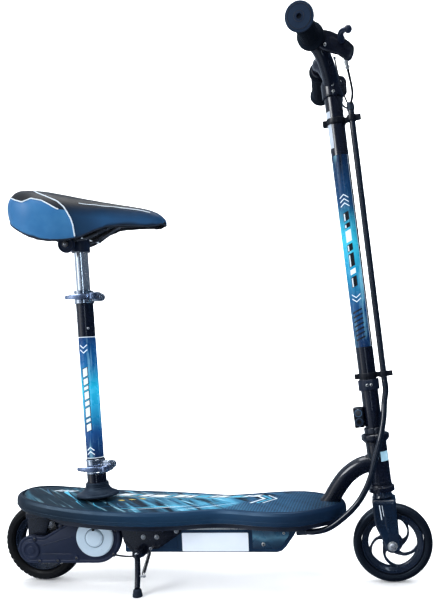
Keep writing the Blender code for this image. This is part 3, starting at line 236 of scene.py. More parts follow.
def frames(points, start_normal=None, closed=False):
    """Frames carried along a line without twist: (point, tangent, normal, side)."""
    pts = [Vector(q) for q in points]
    n = len(pts)
    tang = []
    for i in range(n):
        a = pts[i - 1] if (i > 0 or closed) else pts[i]
        b = pts[(i + 1) % n] if (i < n - 1 or closed) else pts[i]
        tang.append((b - a).normalized())
    if start_normal is None:
        start_normal = Vector((0, 0, 1)) if abs(tang[0].z) < 0.9 else Vector((1, 0, 0))
    u = Vector(start_normal)
    u = (u - tang[0] * u.dot(tang[0])).normalized()
    out = []
    for i in range(n):
        if i:
            axis = tang[i - 1].cross(tang[i])
            if axis.length > 1e-9:
                ang = math.atan2(axis.length, tang[i - 1].dot(tang[i]))
                u = Matrix.Rotation(ang, 3, axis.normalized()) @ u
        u = (u - tang[i] * u.dot(tang[i])).normalized()
        out.append((pts[i], tang[i], u, tang[i].cross(u)))
    return out


def tube(points, radius, sides=20, caps=True, closed=False, radii=None, squash=(1.0, 1.0), normal=None, dome=0.0):
    """A round bar along a line of points."""
    fr = frames(points, normal, closed)
    verts, rows = [], []

    def add_row(p, u, w, r):
        row = []
        for k in range(sides):
            a = math.tau * k / sides
            q = p + u * (math.cos(a) * r * squash[0]) + w * (math.sin(a) * r * squash[1])
            row.append(len(verts))
            verts.append(tuple(q))
        rows.append(row)

    rr = [radius if radii is None else radii[i] for i in range(len(fr))]
    if dome and not closed:
        p, t, u, w = fr[0]
        for k in range(3):
            a = (k + 0.6) / 3.6 * math.pi / 2
            add_row(p - t * dome * math.cos(a), u, w, rr[0] * math.sin(a))
    for i, (p, t, u, w) in enumerate(fr):
        add_row(p, u, w, rr[i])
    if dome and not closed:
        p, t, u, w = fr[-1]
        for k in range(2, -1, -1):
            a = (k + 0.6) / 3.6 * math.pi / 2
            add_row(p + t * dome * math.cos(a), u, w, rr[-1] * math.sin(a))
    faces = []
    pairs = list(zip(rows, rows[1:]))
    if closed:
        pairs.append((rows[-1], rows[0]))
    for a, b in pairs:
        for k in range(sides):
            k2 = (k + 1) % sides
            faces.append((a[k], a[k2], b[k2], b[k]))
    if caps and not closed:
        faces.append(tuple(reversed(rows[0])))
        faces.append(tuple(rows[-1]))
    return outward((np.array(verts), faces))


def loft(rings, caps=True, closed_rings=True, loop=False):
    """Skin between loops of equally many points."""
    n = len(rings[0])
    verts = [tuple(q) for r in rings for q in r]
    faces = []
    pairs = [(i, i + 1) for i in range(len(rings) - 1)]
    if loop:
        pairs.append((len(rings) - 1, 0))
    for i, i2 in pairs:
        for j in range(n if closed_rings else n - 1):
            j2 = (j + 1) % n
            faces.append((i * n + j, i * n + j2, i2 * n + j2, i2 * n + j))
    if caps and not loop:
        faces.append(tuple(reversed(range(n))))
        faces.append(tuple(range((len(rings) - 1) * n, len(rings) * n)))
    part = (np.array(verts), faces)
    return outward(part) if closed_rings else part


def temp_object(part, name="temp"):
    me = bpy.data.meshes.new(name)
    me.from_pydata([tuple(q) for q in part[0]], [], [tuple(q) for q in part[1]])
    ob = bpy.data.objects.new(name, me)
    SCENE.collection.objects.link(ob)
    return ob


def take(ob):
    """An object's evaluated mesh as a part; the object goes."""
    bpy.context.view_layer.update()
    dg = bpy.context.evaluated_depsgraph_get()
    ev = ob.evaluated_get(dg)
    me = bpy.data.meshes.new_from_object(ev)
    m = np.array(ob.matrix_world)
    co = np.zeros(len(me.vertices) * 3)
    me.vertices.foreach_get("co", co)
    v = co.reshape(-1, 3) @ m[:3, :3].T + m[:3, 3]
    f = [tuple(p.vertices) for p in me.polygons]
    data = ob.data
    bpy.data.objects.remove(ob, do_unlink=True)
    bpy.data.meshes.remove(me)
    if isinstance(data, bpy.types.Mesh):
        bpy.data.meshes.remove(data)
    else:
        bpy.data.curves.remove(data)
    return v, f


def welded(part, dist=0.00001):
    bm = bmesh.new()
    vs = [bm.verts.new(tuple(q)) for q in part[0]]
    for q in part[1]:
        try:
            bm.faces.new([vs[i] for i in q])
        except ValueError:
            pass
    bmesh.ops.remove_doubles(bm, verts=bm.verts, dist=dist)
    bmesh.ops.recalc_face_normals(bm, faces=bm.faces)
    return from_bm(bm)


def from_bm(bm):
    bm.verts.ensure_lookup_table()
    bm.verts.index_update()
    v = np.array([tuple(q.co) for q in bm.verts])
    f = [tuple(q.index for q in face.verts) for face in bm.faces]
    bm.free()
    return v, f


def plate(outlines, half, bevel=0.0006, res=2):
    """A flat outline in (x, z) as seen from the near side, with holes, rounded edges and thickness 2 x half, centred on y = 0."""
    cu = bpy.data.curves.new("temp_plate", "CURVE")
    cu.dimensions = "2D"
    cu.fill_mode = "BOTH"
    cu.extrude = half - bevel
    cu.bevel_depth = bevel
    cu.bevel_resolution = res
    cu.offset = -bevel
    for line in outlines:
        sp = cu.splines.new("POLY")
        sp.points.add(len(line) - 1)
        for q, v in zip(sp.points, line):
            q.co = (v[0], v[1], 0.0, 1.0)
        sp.use_cyclic_u = True
    ob = bpy.data.objects.new("temp_plate", cu)
    SCENE.collection.objects.link(ob)
    ob.matrix_world = Matrix.Rotation(math.pi / 2, 4, "X")
    return welded(take(ob))


def bevel_box(low, high, bevel=0.0008, seg=3, matrix=None):
    low, high = Vector(low), Vector(high)
    bm = bmesh.new()
    bmesh.ops.create_cube(bm, size=1.0)
    bmesh.ops.scale(bm, vec=high - low, verts=bm.verts)
    bmesh.ops.translate(bm, vec=(low + high) / 2, verts=bm.verts)
    bmesh.ops.bevel(bm, geom=list(bm.edges), offset=bevel, segments=seg, profile=0.5, affect="EDGES", clamp_overlap=True)
    part = from_bm(bm)
    return xform(part, matrix) if matrix is not None else part


def bevelled(part, width, seg=2, angle=30.0):
    """Round the sharp edges of a closed part."""
    bm = bmesh.new()
    vs = [bm.verts.new(tuple(q)) for q in part[0]]
    for q in part[1]:
        bm.faces.new([vs[i] for i in q])
    bmesh.ops.recalc_face_normals(bm, faces=bm.faces)
    edges = [e for e in bm.edges if len(e.link_faces) == 2 and e.calc_face_angle(0.0) > math.radians(angle)]
    bmesh.ops.bevel(bm, geom=edges, offset=width, segments=seg, profile=0.5, affect="EDGES", clamp_overlap=True)
    return from_bm(bm)


def subdivided(part, levels=1):
    ob = temp_object(part)
    mod = ob.modifiers.new("smooth", "SUBSURF")
    mod.levels = levels
    mod.render_levels = levels
    return take(ob)


def circle(cx, cz, r, n=48, start=0.0, end=math.tau):
    full = abs(end - start - math.tau) < 1e-9
    m = n if full else n - 1
    return [(cx + r * math.cos(start + (end - start) * k / m), cz + r * math.sin(start + (end - start) * k / m)) for k in range(n)]


def cylinder(radius, length, seg=32, bevel=0.0004):
    """A round bar centred on the origin along +Z, with rounded rims."""
    h = length / 2
    prof = fillet([(0, h), (radius, h), (radius, -h), (0, -h)], bevel, 3)
    return lathe(prof, seg)


def ball(radius, u=24, v=14):
    prof = [(radius * math.sin(math.pi * k / v), radius * math.cos(math.pi * k / v)) for k in range(v + 1)]
    prof[0] = (0, radius)
    prof[-1] = (0, -radius)
    return lathe(prof, u)


def hex_head(across, height, top_round=0.0006):
    """A six-sided head from z = 0 up, with its chamfered top."""
    r = across / math.sqrt(3)
    seg = 36

    def flat(a):
        k = (a + math.pi / 6) % (math.pi / 3) - math.pi / 6
        return r * math.cos(math.pi / 6) / math.cos(k)

    verts, rows = [], []
    for z, lim in ((0.0, 9), (height - top_round * 1.2, 9), (height - top_round * 0.5, r * 0.965), (height, r * 0.865)):
        row = []
        for k in range(seg):
            a = math.tau * k / seg
            q = min(flat(a), lim)
            row.append(len(verts))
            verts.append((q * math.cos(a), q * math.sin(a), z))
        rows.append(row)
    faces = []
    for a, b in zip(rows, rows[1:]):
        for k in range(seg):
            faces.append((a[k], a[(k + 1) % seg], b[(k + 1) % seg], b[k]))
    faces.append(tuple(reversed(rows[0])))
    faces.append(tuple(rows[-1]))
    return outward((np.array(verts), faces))


def dome_head(radius, height, socket=0.0, seg=32):
    """A rounded screw head from z = 0 up, with a driving recess."""
    prof = [(0, 0), (radius, 0), (radius, height * 0.35)]
    for k in range(1, 7):
        a = math.pi / 2 * k / 7
        prof.append((radius * math.cos(a) * 0.999, height * (0.35 + 0.65 * math.sin(a))))
    if socket:
        prof = [p for p in prof if p[0] > socket * 1.15 or p[1] < height * 0.3]
        prof += [(socket * 1.1, height * 0.97), (socket, height * 0.9), (socket * 0.95, height * 0.35), (0, height * 0.32)]
    else:
        prof.append((0, height))
    return lathe(prof, seg)


def cross_screw(radius, height):
    """A pan head with a cross recess, from z = 0 up; the recess is raised bars that the callers colour dark as painted
    shade.
    """
    head = dome_head(radius, height)
    arm = radius * 0.62
    w = radius * 0.17
    bars = []
    for ang in (0.4, 0.4 + math.pi / 2):
        b = bevel_box((-arm, -w, height * 0.80), (arm, w, height * 1.035), w * 0.5, 1)
        bars.append(xform(b, Matrix.Rotation(ang, 4, "Z")))
    return head, merge(*bars)


def coil(p0, p1, radius, wire, turns, per=14, hooks=True):
    """A close-wound coil spring between two points, with its end loops."""
    a, b = Vector(p0), Vector(p1)
    axis = (b - a)
    L = axis.length
    t = axis.normalized()
    u = t.orthogonal().normalized()
    w = t.cross(u)
    pts = []
    inset = radius * 1.6 if hooks else 0.0
    n = int(turns * per)
    if hooks:
        for k in range(9):
            ang = math.pi * 1.5 * (1 - k / 8)
            pts.append(a + t * (radius * 0.9 - radius * 0.8 * math.cos(ang)) + u * (radius * 0.8 * math.sin(ang)))
    for k in range(n + 1):
        f = k / n
        ang = math.tau * turns * f
        pts.append(a + t * (inset + (L - 2 * inset) * f) + (u * math.cos(ang) + w * math.sin(ang)) * radius)
    if hooks:
        for k in range(9):
            ang = math.pi * 1.5 * k / 8
            pts.append(b - t * (radius * 0.9 - radius * 0.8 * math.cos(ang)) + u * (radius * 0.8 * math.sin(ang)))
    return tube(pts, wire, 8, True)


# =====================================================================================
# Objects
# =====================================================================================
def finish_mesh(me, angle):
    me.shade_smooth()
    if angle is not None:
        me.set_sharp_from_angle(angle=math.radians(angle))


def piece(name, body, parts, replaces=(), angle=38.0, blend=None, colour=None):
    """One object of the model. `parts` is a list of (part, material). `blend` is (a, b, start, end); its values are not
    used: a piece given one is baked in place and attached to no body.
    """
    vs, fs, idx, mats, n = [], [], [], [], 0
    for part, mat in parts:
        v = np.asarray(part[0], float).reshape(-1, 3)
        if mat not in mats:
            mats.append(mat)
        k = mats.index(mat)
        vs.append(v)
        fs.extend(tuple(i + n for i in q) for q in part[1])
        idx.extend([k] * len(part[1]))
        n += len(v)
    me = bpy.data.meshes.new(name)
    me.from_pydata(np.concatenate(vs).tolist(), [], fs)
    me.polygons.foreach_set("material_index", idx)
    for m in mats:
        me.materials.append(m)
    finish_mesh(me, angle)
    me.update()
    ob = bpy.data.objects.new(name, me)
    SCENE.collection.objects.link(ob)
    if colour is not None:
        paint(me, colour)
    if blend:
        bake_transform(ob)
    else:
        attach(ob, body)
    if replaces:
        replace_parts(ob, *replaces)
    return ob


def paint(me, rgb, name="print"):
    """Store a colour at every vertex."""
    attr = me.color_attributes.new(name, "FLOAT_COLOR", "POINT")
    a = np.ones((len(me.vertices), 4), np.float32)
    a[:, : rgb.shape[1]] = rgb
    attr.data.foreach_set("color", a.ravel())


# =====================================================================================
# Materials
# =====================================================================================
MATS = {}


class Mat:
    """A Principled material with procedural detail in metric object space."""

    def __init__(self, name, base, rough=0.5, metal=0.0, spec=0.5, coat=0.0, coat_rough=0.05, sheen=0.0, tint=None, ior=None, aniso=0.0):
        self.m = bpy.data.materials.new(name)
        self.m.use_nodes = True
        self.t = self.m.node_tree
        self.n, self.l = self.t.nodes, self.t.links
        self.b = self.n["Principled BSDF"]
        self.base = base
        self.set("Base Color", (*base, 1.0))
        self.set("Roughness", rough)
        self.set("Metallic", metal)
        self.set("Specular IOR Level", spec)
        if coat:
            self.set("Coat Weight", coat)
            self.set("Coat Roughness", coat_rough)
        if sheen:
            self.set("Sheen Weight", sheen)
            self.set("Sheen Roughness", 0.5)
        if tint:
            self.set("Specular Tint", (*tint, 1.0))
        if ior:
            self.set("IOR", ior)
        if aniso:
            self.set("Anisotropic", aniso)
        self.co = None
        self.bump_tip = None
        MATS[name] = self.m

    def set(self, socket, value):
        self.b.inputs[socket].default_value = value

    def node(self, kind, **kw):
        nd = self.n.new(kind)
        for k, v in kw.items():
            if k.startswith("in_"):
                key = k[3:]
                nd.inputs[int(key) if key.isdigit() else key].default_value = v
            else:
                setattr(nd, k, v)
        return nd

    def coords(self):
        if self.co is None:
            self.co = self.node("ShaderNodeTexCoord").outputs["Object"]
        return self.co

    def scaled(self, scale=(1, 1, 1), rot=(0, 0, 0), loc=(0, 0, 0)):
        mp = self.node("ShaderNodeMapping")
        mp.inputs["Scale"].default_value = scale
        mp.inputs["Rotation"].default_value = rot
        mp.inputs["Location"].default_value = loc
        self.l.new(self.coords(), mp.inputs["Vector"])
        return mp.outputs["Vector"]

    def turned(self, scale, rot):
        """Coordinates turned first and scaled after, for streaks that run at an angle."""
        out = self.scaled((1, 1, 1), rot)
        mp = self.node("ShaderNodeMapping")
        mp.inputs["Scale"].default_value = scale
        self.l.new(out, mp.inputs["Vector"])
        return mp.outputs["Vector"]

    def noise(self, scale, detail=3.0, rough=0.55, vec=None, distortion=0.0):
        nd = self.node("ShaderNodeTexNoise")
        nd.inputs["Scale"].default_value = scale
        nd.inputs["Detail"].default_value = detail
        nd.inputs["Roughness"].default_value = rough
        nd.inputs["Distortion"].default_value = distortion
        self.l.new(vec if vec is not None else self.coords(), nd.inputs["Vector"])
        return nd.outputs["Fac"]

    def voronoi(self, scale, vec=None, feature="F1"):
        nd = self.node("ShaderNodeTexVoronoi")
        nd.feature = feature
        nd.inputs["Scale"].default_value = scale
        self.l.new(vec if vec is not None else self.coords(), nd.inputs["Vector"])
        return nd.outputs["Distance"]

    def ramp(self, fac, stops, interp="LINEAR"):
        nd = self.node("ShaderNodeValToRGB")
        nd.color_ramp.interpolation = interp
        el = nd.color_ramp.elements
        while len(el) < len(stops):
            el.new(0.5)
        for e, (p, c) in zip(el, stops):
            e.position = p
            e.color = (*c, 1.0) if len(c) == 3 else c
        self.l.new(fac, nd.inputs["Fac"])
        return nd.outputs["Color"]

    def map(self, fac, a, b, lo, hi):
        nd = self.node("ShaderNodeMapRange")
        for k, v in zip(("From Min", "From Max", "To Min", "To Max"), (a, b, lo, hi)):
            nd.inputs[k].default_value = v
        self.l.new(fac, nd.inputs["Value"])
        return nd.outputs["Result"]

    def math(self, op, a, b=None):
        nd = self.node("ShaderNodeMath", operation=op)
        for i, x in enumerate((a, b)):
            if x is None:
                continue
            if isinstance(x, (int, float)):
                nd.inputs[i].default_value = x
            else:
                self.l.new(x, nd.inputs[i])
        return nd.outputs[0]

    def mix(self, fac, a, b):
        nd = self.node("ShaderNodeMix", data_type="RGBA")
        for key, x in ((0, fac), (6, a), (7, b)):
            if isinstance(x, (int, float)):
                nd.inputs[key].default_value = x
            elif isinstance(x, tuple):
                nd.inputs[key].default_value = (*x, 1.0) if len(x) == 3 else x
            else:
                self.l.new(x, nd.inputs[key])
        return nd.outputs[2]

    def attribute(self, name="print"):
        nd = self.node("ShaderNodeAttribute", attribute_name=name)
        return nd.outputs["Color"]

    def vary(self, scale, other, lo=0.35, hi=0.65, detail=4.0, base=None, vec=None):
        """Drift the base colour towards another one."""
        col = self.mix(self.map(self.noise(scale, detail, vec=vec), lo, hi, 0.0, 1.0), base if base is not None else self.base, other)
        self.l.new(col, self.b.inputs["Base Color"])
        return col

    def rough_vary(self, scale, lo, hi, detail=4.0, vec=None, a=0.3, b=0.7):
        self.l.new(self.map(self.noise(scale, detail, vec=vec), a, b, lo, hi), self.b.inputs["Roughness"])
        return self

    def bump(self, height, dist=0.0002, strength=0.5):
        nd = self.node("ShaderNodeBump")
        nd.inputs["Strength"].default_value = strength
        nd.inputs["Distance"].default_value = dist
        self.l.new(height, nd.inputs["Height"])
        if self.bump_tip is not None:
            self.l.new(self.bump_tip, nd.inputs["Normal"])
        self.bump_tip = nd.outputs["Normal"]
        self.l.new(self.bump_tip, self.b.inputs["Normal"])
        return self

    def colour(self, out):
        self.l.new(out, self.b.inputs["Base Color"])
        return self


def gloss_paint(name, base, other, rough=0.22):
    """Powder coat with a clear, slightly wavy skin and dust in it."""
    k = Mat(name, base, rough, spec=0.40, coat=0.60, coat_rough=0.045)
    k.vary(9.0, other)
    k.rough_vary(55.0, rough * 0.8, rough * 1.5)
    k.bump(k.noise(420.0, 2.0), 0.00012, 0.16)
    k.bump(k.noise(2600.0, 1.0), 0.00003, 0.12)
    return k.m


def moulded(name, base, other, rough=0.5, grain=1500.0, depth=0.00010, strength=0.35, tint=None, spec=0.5):
    """Moulded plastic or rubber with a fine spark-eroded grain."""
    k = Mat(name, base, rough, spec=spec, tint=tint)
    k.vary(14.0, other)
    k.rough_vary(40.0, rough * 0.86, min(1.0, rough * 1.2))
    k.bump(k.noise(grain, 3.0, 0.7), depth, strength)
    return k.m


def metal(name, base, other, rough, scratch=0.3, stretch=(1, 1, 1), scale=220.0, purity=0.85):
    k = Mat(name, base, rough, metal=purity)
    k.vary(18.0, other)
    vec = k.scaled(stretch)
    k.rough_vary(scale, rough * 0.6, min(1.0, rough * 1.7), vec=vec)
    k.bump(k.noise(scale * 2.2, 3.0, vec=vec), 0.00004, scratch)
    return k.m


PAINT = gloss_paint("gloss_black_paint", (0.0022, 0.0036, 0.0105), (0.0042, 0.0068, 0.0180))
SATIN = moulded("satin_black_paint", (0.0050, 0.0105, 0.0270), (0.0085, 0.0170, 0.0400), 0.34, 900.0, 0.00006, 0.25)
RUBBER = moulded("black_rubber", (0.0110, 0.0170, 0.0310), (0.0160, 0.0240, 0.0420), 0.50, 1300.0, 0.00012, 0.4, tint=(0.72, 0.86, 1.0))
GRIP = moulded("grip_rubber", (0.0070, 0.0140, 0.0340), (0.0110, 0.0200, 0.0440), 0.60, 1600.0, 0.00014, 0.5, tint=(0.6, 0.8, 1.0), spec=0.35)
TYRE = moulded("tyre_rubber", (0.0026, 0.0030, 0.0040), (0.0050, 0.0056, 0.0074), 0.50, 1100.0, 0.00014, 0.45, spec=0.32)
NAVY = moulded("navy_plastic", (0.0060, 0.0135, 0.0420), (0.0090, 0.0190, 0.0540), 0.44, 1500.0, 0.00012, 0.45)
PLASTIC = moulded("black_plastic", (0.0030, 0.0042, 0.0090), (0.0055, 0.0075, 0.0140), 0.32, 1500.0, 0.00006, 0.3, spec=0.42)
SILVER = moulded("silver_plastic", (0.400, 0.470, 0.560), (0.450, 0.520, 0.610), 0.36, 1500.0, 0.00006, 0.3)
CHROME = metal("chrome", (0.78, 0.81, 0.85), (0.68, 0.73, 0.79), 0.11, 0.035, (1, 1, 1), 160.0, 0.86)
STEEL = metal("bright_steel", (0.60, 0.61, 0.63), (0.50, 0.51, 0.54), 0.28, 0.35, (1, 1, 1), 300.0)
ZINC = metal("zinc_plate", (0.66, 0.67, 0.66), (0.52, 0.53, 0.52), 0.34, 0.35, (1, 1, 1), 260.0)
ALU = metal("cast_aluminium", (0.52, 0.53, 0.54), (0.44, 0.45, 0.47), 0.42, 0.6, (1, 1, 1), 420.0)
DARK_STEEL = metal("dark_steel", (0.20, 0.20, 0.21), (0.13, 0.13, 0.14), 0.38, 0.5, (1, 1, 1), 320.0)
# near-black fill set where recesses, slots and holes would be: painted shade inside them
RECESS_SHADE = moulded("painted_recess_shade", (0.0015, 0.0017, 0.0024), (0.0025, 0.0028, 0.0036), 0.7, 900.0, 0.00005, 0.2)
WHITE_PRINT = moulded("white_print", (0.70, 0.76, 0.82), (0.62, 0.69, 0.76), 0.28, 1200.0, 0.00003, 0.15)
LABEL = moulded("pale_plate", (0.74, 0.80, 0.88), (0.68, 0.75, 0.84), 0.42, 1500.0, 0.00003, 0.2)
WIRE_BLACK = moulded("cable_jacket", (0.0055, 0.0070, 0.0130), (0.0085, 0.0105, 0.0180), 0.28, 700.0, 0.00005, 0.25)
BATTERY = moulded("battery_case", (0.10, 0.10, 0.11), (0.13, 0.13, 0.14), 0.55, 800.0, 0.00008, 0.3)


# =====================================================================================
# Wheels
# =====================================================================================
def cut_line(line, start, end):
    """The part of a polyline between two distances along it."""
    p = [np.array(q, float) for q in line]
    seg = [np.linalg.norm(b - a) for a, b in zip(p, p[1:])]
    run = np.concatenate([[0.0], np.cumsum(seg)])

    def where(s):
        j = min(max(int(np.searchsorted(run, s)), 1), len(run) - 1)
        t = (s - run[j - 1]) / max(run[j] - run[j - 1], 1e-12)
        return p[j - 1] * (1 - t) + p[j] * t

    inner = [q for q, r in zip(p, run) if start + 1e-7 < r < end - 1e-7]
    return [where(start)] + inner + [where(end)], run[-1]


def rounded_loop(sides, cuts, n=6):
    """A closed loop of several curved sides, its corners rounded. cuts[i] is how far the corner at the end of side i reaches."""
    m = len(sides)
    out = []
    for i, side in enumerate(sides):
        total = sum(math.dist(a, b) for a, b in zip(side, side[1:]))
        a, b = min(cuts[i - 1], total * 0.45), min(cuts[i], total * 0.45)
        line, _ = cut_line(side, a, total - b)
        out.extend(tuple(q) for q in line)
        nxt = sides[(i + 1) % m]
        ntotal = sum(math.dist(p, q) for p, q in zip(nxt, nxt[1:]))
        nline, _ = cut_line(nxt, min(cuts[i], ntotal * 0.45), ntotal)
        s, c, e = np.array(line[-1]), np.array(side[-1]), np.array(nline[0])
        for k in range(1, n):
            t = k / n
            out.append(tuple(s * (1 - t) ** 2 + c * 2 * t * (1 - t) + e * t * t))
    return out


def spoke_window(k, r_in=0.0185, r_out=WINDOW_R, half_hub=0.0056, spokes=5, seg=18):
    def sweep_angle(r):
        t = (r - r_in) / (r_out - r_in)
        return 1.02 * t ** 0.85 - 0.10 * math.sin(math.pi * t)

    def spoke_half(r):
        t = (r - r_in) / (r_out - r_in)
        return half_hub * (1.05 - 0.55 * math.sin(math.pi * min(t * 1.02, 1.0))) / r

    a0, a1 = math.tau * k / spokes, math.tau * (k + 1) / spokes
    rs = [r_in + (r_out - r_in) * j / seg for j in range(seg + 1)]
    low = [(a0 + sweep_angle(r) + spoke_half(r), r) for r in rs]
    high = [(a1 + sweep_angle(r) - spoke_half(r), r) for r in rs]
    p = lambda a, r: (r * math.cos(a), r * math.sin(a))
    outer = [p(low[-1][0] + (high[-1][0] - low[-1][0]) * j / 16, r_out) for j in range(17)]
    inner = [p(high[0][0] + (low[0][0] - high[0][0]) * j / 6, r_in) for j in range(7)]
    return [p(a, r) for a, r in low], outer, [p(a, r) for a, r in reversed(high)], inner


def wheel_centre(x, z):
    return at(x, 0, z)


def make_rim(name, body, x, z, half_rim, half_hub, hub_r, web_y):
    holes = [rounded_loop(spoke_window(k), [0.0035, 0.0040, 0.0016, 0.0020]) for k in range(5)]
    web = plate([circle(0, 0, 0.0475, 120)] + holes + [circle(0, 0, 0.0100, 40)], 0.0046, 0.0014, 3)
    # a raised rib along the middle of each spoke
    ribs = []
    for k in range(5):
        line = []
        for j in range(22):
            t = 0.04 + 0.92 * j / 21
            r = 0.0185 + (WINDOW_R - 0.0185) * t
            a = math.tau * k / 5 + 1.02 * t ** 0.85 - 0.10 * math.sin(math.pi * t)
            line.append((r * math.cos(a), 0.0, r * math.sin(a)))
        for side in (-1, 1):
            pts = [(p[0], side * 0.0040, p[2]) for p in line]
            radii = [0.0020 * (0.55 + 0.45 * math.sin(math.pi * (j + 0.5) / 22)) for j in range(22)]
            ribs.append(tube(pts, 0, 10, True, radii=radii, normal=(0, 1, 0)))
    h = half_rim
    ring = [
        (RIM_R - 0.0002, h - 0.0016), (RIM_R - 0.0006, h - 0.0004), (RIM_R - 0.0014, h), (RIM_R - 0.0026, h - 0.0002),
        (RIM_R - 0.0034, h - 0.0012), (0.0518, h - 0.0026), (0.0500, h - 0.0032), (0.0470, h - 0.0036), (0.0452, h - 0.0042),
        (0.0443, h - 0.0052), (0.0440, 0.0030),
    ]
    ring = ring + [(r, -a) for r, a in reversed(ring)]
    barrel = turn_y(lathe(ring, 160, closed=True))
    hub = fillet([(0.0054, half_hub), (hub_r - 0.0035, half_hub), (hub_r - 0.0035, half_hub - 0.0022), (hub_r, half_hub - 0.0030),
                  (hub_r - 0.0002, 0.0070), (hub_r + 0.0030, 0.0040)], [0, 0.0006, 0.0006, 0.0008, 0.0016, 0], 4)
    hub = hub + [(r, -a) for r, a in reversed(hub)]
    hub_part = turn_y(lathe(hub, 64, closed=True))
    m = wheel_centre(x, z)
    return piece(name, body, [(xform(web, m), RIM_PAINT), (xform(barrel, m), RIM_PAINT), (xform(hub_part, m), RIM_PAINT)]
                 + [(xform(r, m), RIM_PAINT) for r in ribs], [name], 32)


RIM_PAINT = gloss_paint("rim_paint", (0.0045, 0.0105, 0.0260), (0.0080, 0.0170, 0.0380), 0.25)

make_rim("front_rim", "front_wheel", FRONT_X, FRONT_Z, 0.0100, 0.0215, 0.0150, 0.0)
make_rim("rear_rim", "rear_wheel", REAR_X, REAR_Z, 0.0120, 0.0185, 0.0170, 0.0)


def tyre_profile(R, half, bead=0.0100):
    """Half a tyre's section, from the crown to the bead, as (radius, height)."""
    return [
        (R, 0.0), (R - 0.00005, half * 0.16), (R - 0.0003, half * 0.34), (R - 0.0009, half * 0.52), (R - 0.0019, half * 0.70),
        (R - 0.0034, half * 0.84), (R - 0.0052, half * 0.94), (R - 0.0072, half * 0.985), (R - 0.0090, half * 0.995),
        (RIM_R + 0.0058, half * 0.97), (RIM_R + 0.0040, half * 0.915), (RIM_R + 0.0027, bead + (half - bead) * 0.62),
        (RIM_R + 0.0018, bead + (half - bead) * 0.52), (RIM_R + 0.0012, bead + (half - bead) * 0.34), (RIM_R + 0.00045, bead * 1.01),
        (RIM_R + 0.0003, bead * 0.80),
    ]


def resampled(line, step):
    out = [line[0]]
    for a, b in zip(line, line[1:]):
        n = max(1, int(math.ceil(math.dist(a, b) / step)))
        for k in range(1, n + 1):
            t = k / n
            out.append((a[0] * (1 - t) + b[0] * t, a[1] * (1 - t) + b[1] * t))
    return out


def make_front_tyre():
    R, half = FRONT_Z, 0.0140
    side = resampled(tyre_profile(R, half), 0.0008)
    grooves = (0.0036, 0.0076)
    seg = 360

    def carve(r, z, a, j):
        depth = 0.0
        top = R - r
        if top < 0.0030:
            for g in grooves:
                d = abs(abs(z) - g)
                depth = max(depth, 0.0009 * max(0.0, 1 - (d / 0.00075) ** 4))
            step = int(round(a / math.tau * seg)) % 6
            if 0.0085 < abs(z) < 0.0128 and step == (0 if z > 0 else 3):
                depth = max(depth, 0.0008)
        return r - depth, z

    prof = side + [(r, -z) for r, z in reversed(side[1:])]
    part = lathe(prof, seg, closed=True, shape=carve)
    rings = []
    for s in (-1, 1):
        for rr, zz, wire in ((RIM_R + 0.0052, half * 0.958, 0.00042), (RIM_R + 0.0030, half * 0.862, 0.00035)):
            ring = [(rr + wire * math.cos(t), s * zz + wire * math.sin(t)) for t in np.linspace(0, math.tau, 8, endpoint=False)]
            rings.append(lathe(ring, 180, closed=True))
    m = wheel_centre(FRONT_X, FRONT_Z) @ ALONG_Y
    piece("front_tyre", "front_wheel", [(xform(part, m), TYRE_SMOOTH)] + [(xform(r, m), TYRE_SMOOTH) for r in rings], ["front_tyre"], 40)


def make_rear_tyre():
    R, half = REAR_Z, 0.0170
    side = resampled(tyre_profile(R, half, 0.0100), 0.0009)
    seg = 396                       # 44 blocks round, nine steps each
    per = 9

    def carve(r, z, a, j):
        top = R - r
        if top > 0.0062:
            return r, z
        row = abs(z)
        step = int(round(a / math.tau * seg)) % per
        depth = 0.0
        deep = 0.0019
        if abs(row - 0.0040) < 0.00075 or abs(row - 0.0098) < 0.00075:
            depth = deep                              # long grooves
        elif row <= 0.0040:
            shift = 0 if z >= 0 else 4
            if (step + shift) % per in (0, 1) and row > 0.0008:
                depth = deep
        elif row < 0.0098:
            shift = 2 if z >= 0 else 6
            if (step + shift + int(row * 600)) % per in (0, 1):
                depth = deep
        else:
            shift = 5 if z >= 0 else 1
            if (step + shift) % per in (0, 1, 2):
                depth = deep * (1 - max(0.0, (top - 0.0042) / 0.0022))
        return r - max(0.0, depth), z

    prof = side + [(r, -z) for r, z in reversed(side[1:])]
    part = lathe(prof, seg, closed=True, shape=carve)
    rings = []
    for s in (-1, 1):
        for rr, zz, wire in ((RIM_R + 0.0062, half * 0.965, 0.00050), (RIM_R + 0.0036, half * 0.870, 0.00040)):
            ring = [(rr + wire * math.cos(t), s * zz + wire * math.sin(t)) for t in np.linspace(0, math.tau, 8, endpoint=False)]
            rings.append(lathe(ring, 180, closed=True))
    m = wheel_centre(REAR_X, REAR_Z) @ ALONG_Y
    piece("rear_tyre", "rear_wheel", [(xform(part, m), TYRE)] + [(xform(r, m), TYRE) for r in rings], ["rear_tyre"], 30)


TYRE_SMOOTH = moulded("front_tyre_rubber", (0.0022, 0.0042, 0.0105), (0.0042, 0.0072, 0.0160), 0.38, 1100.0, 0.00010, 0.3, tint=(0.7, 0.85, 1.0))
make_front_tyre()
make_rear_tyre()


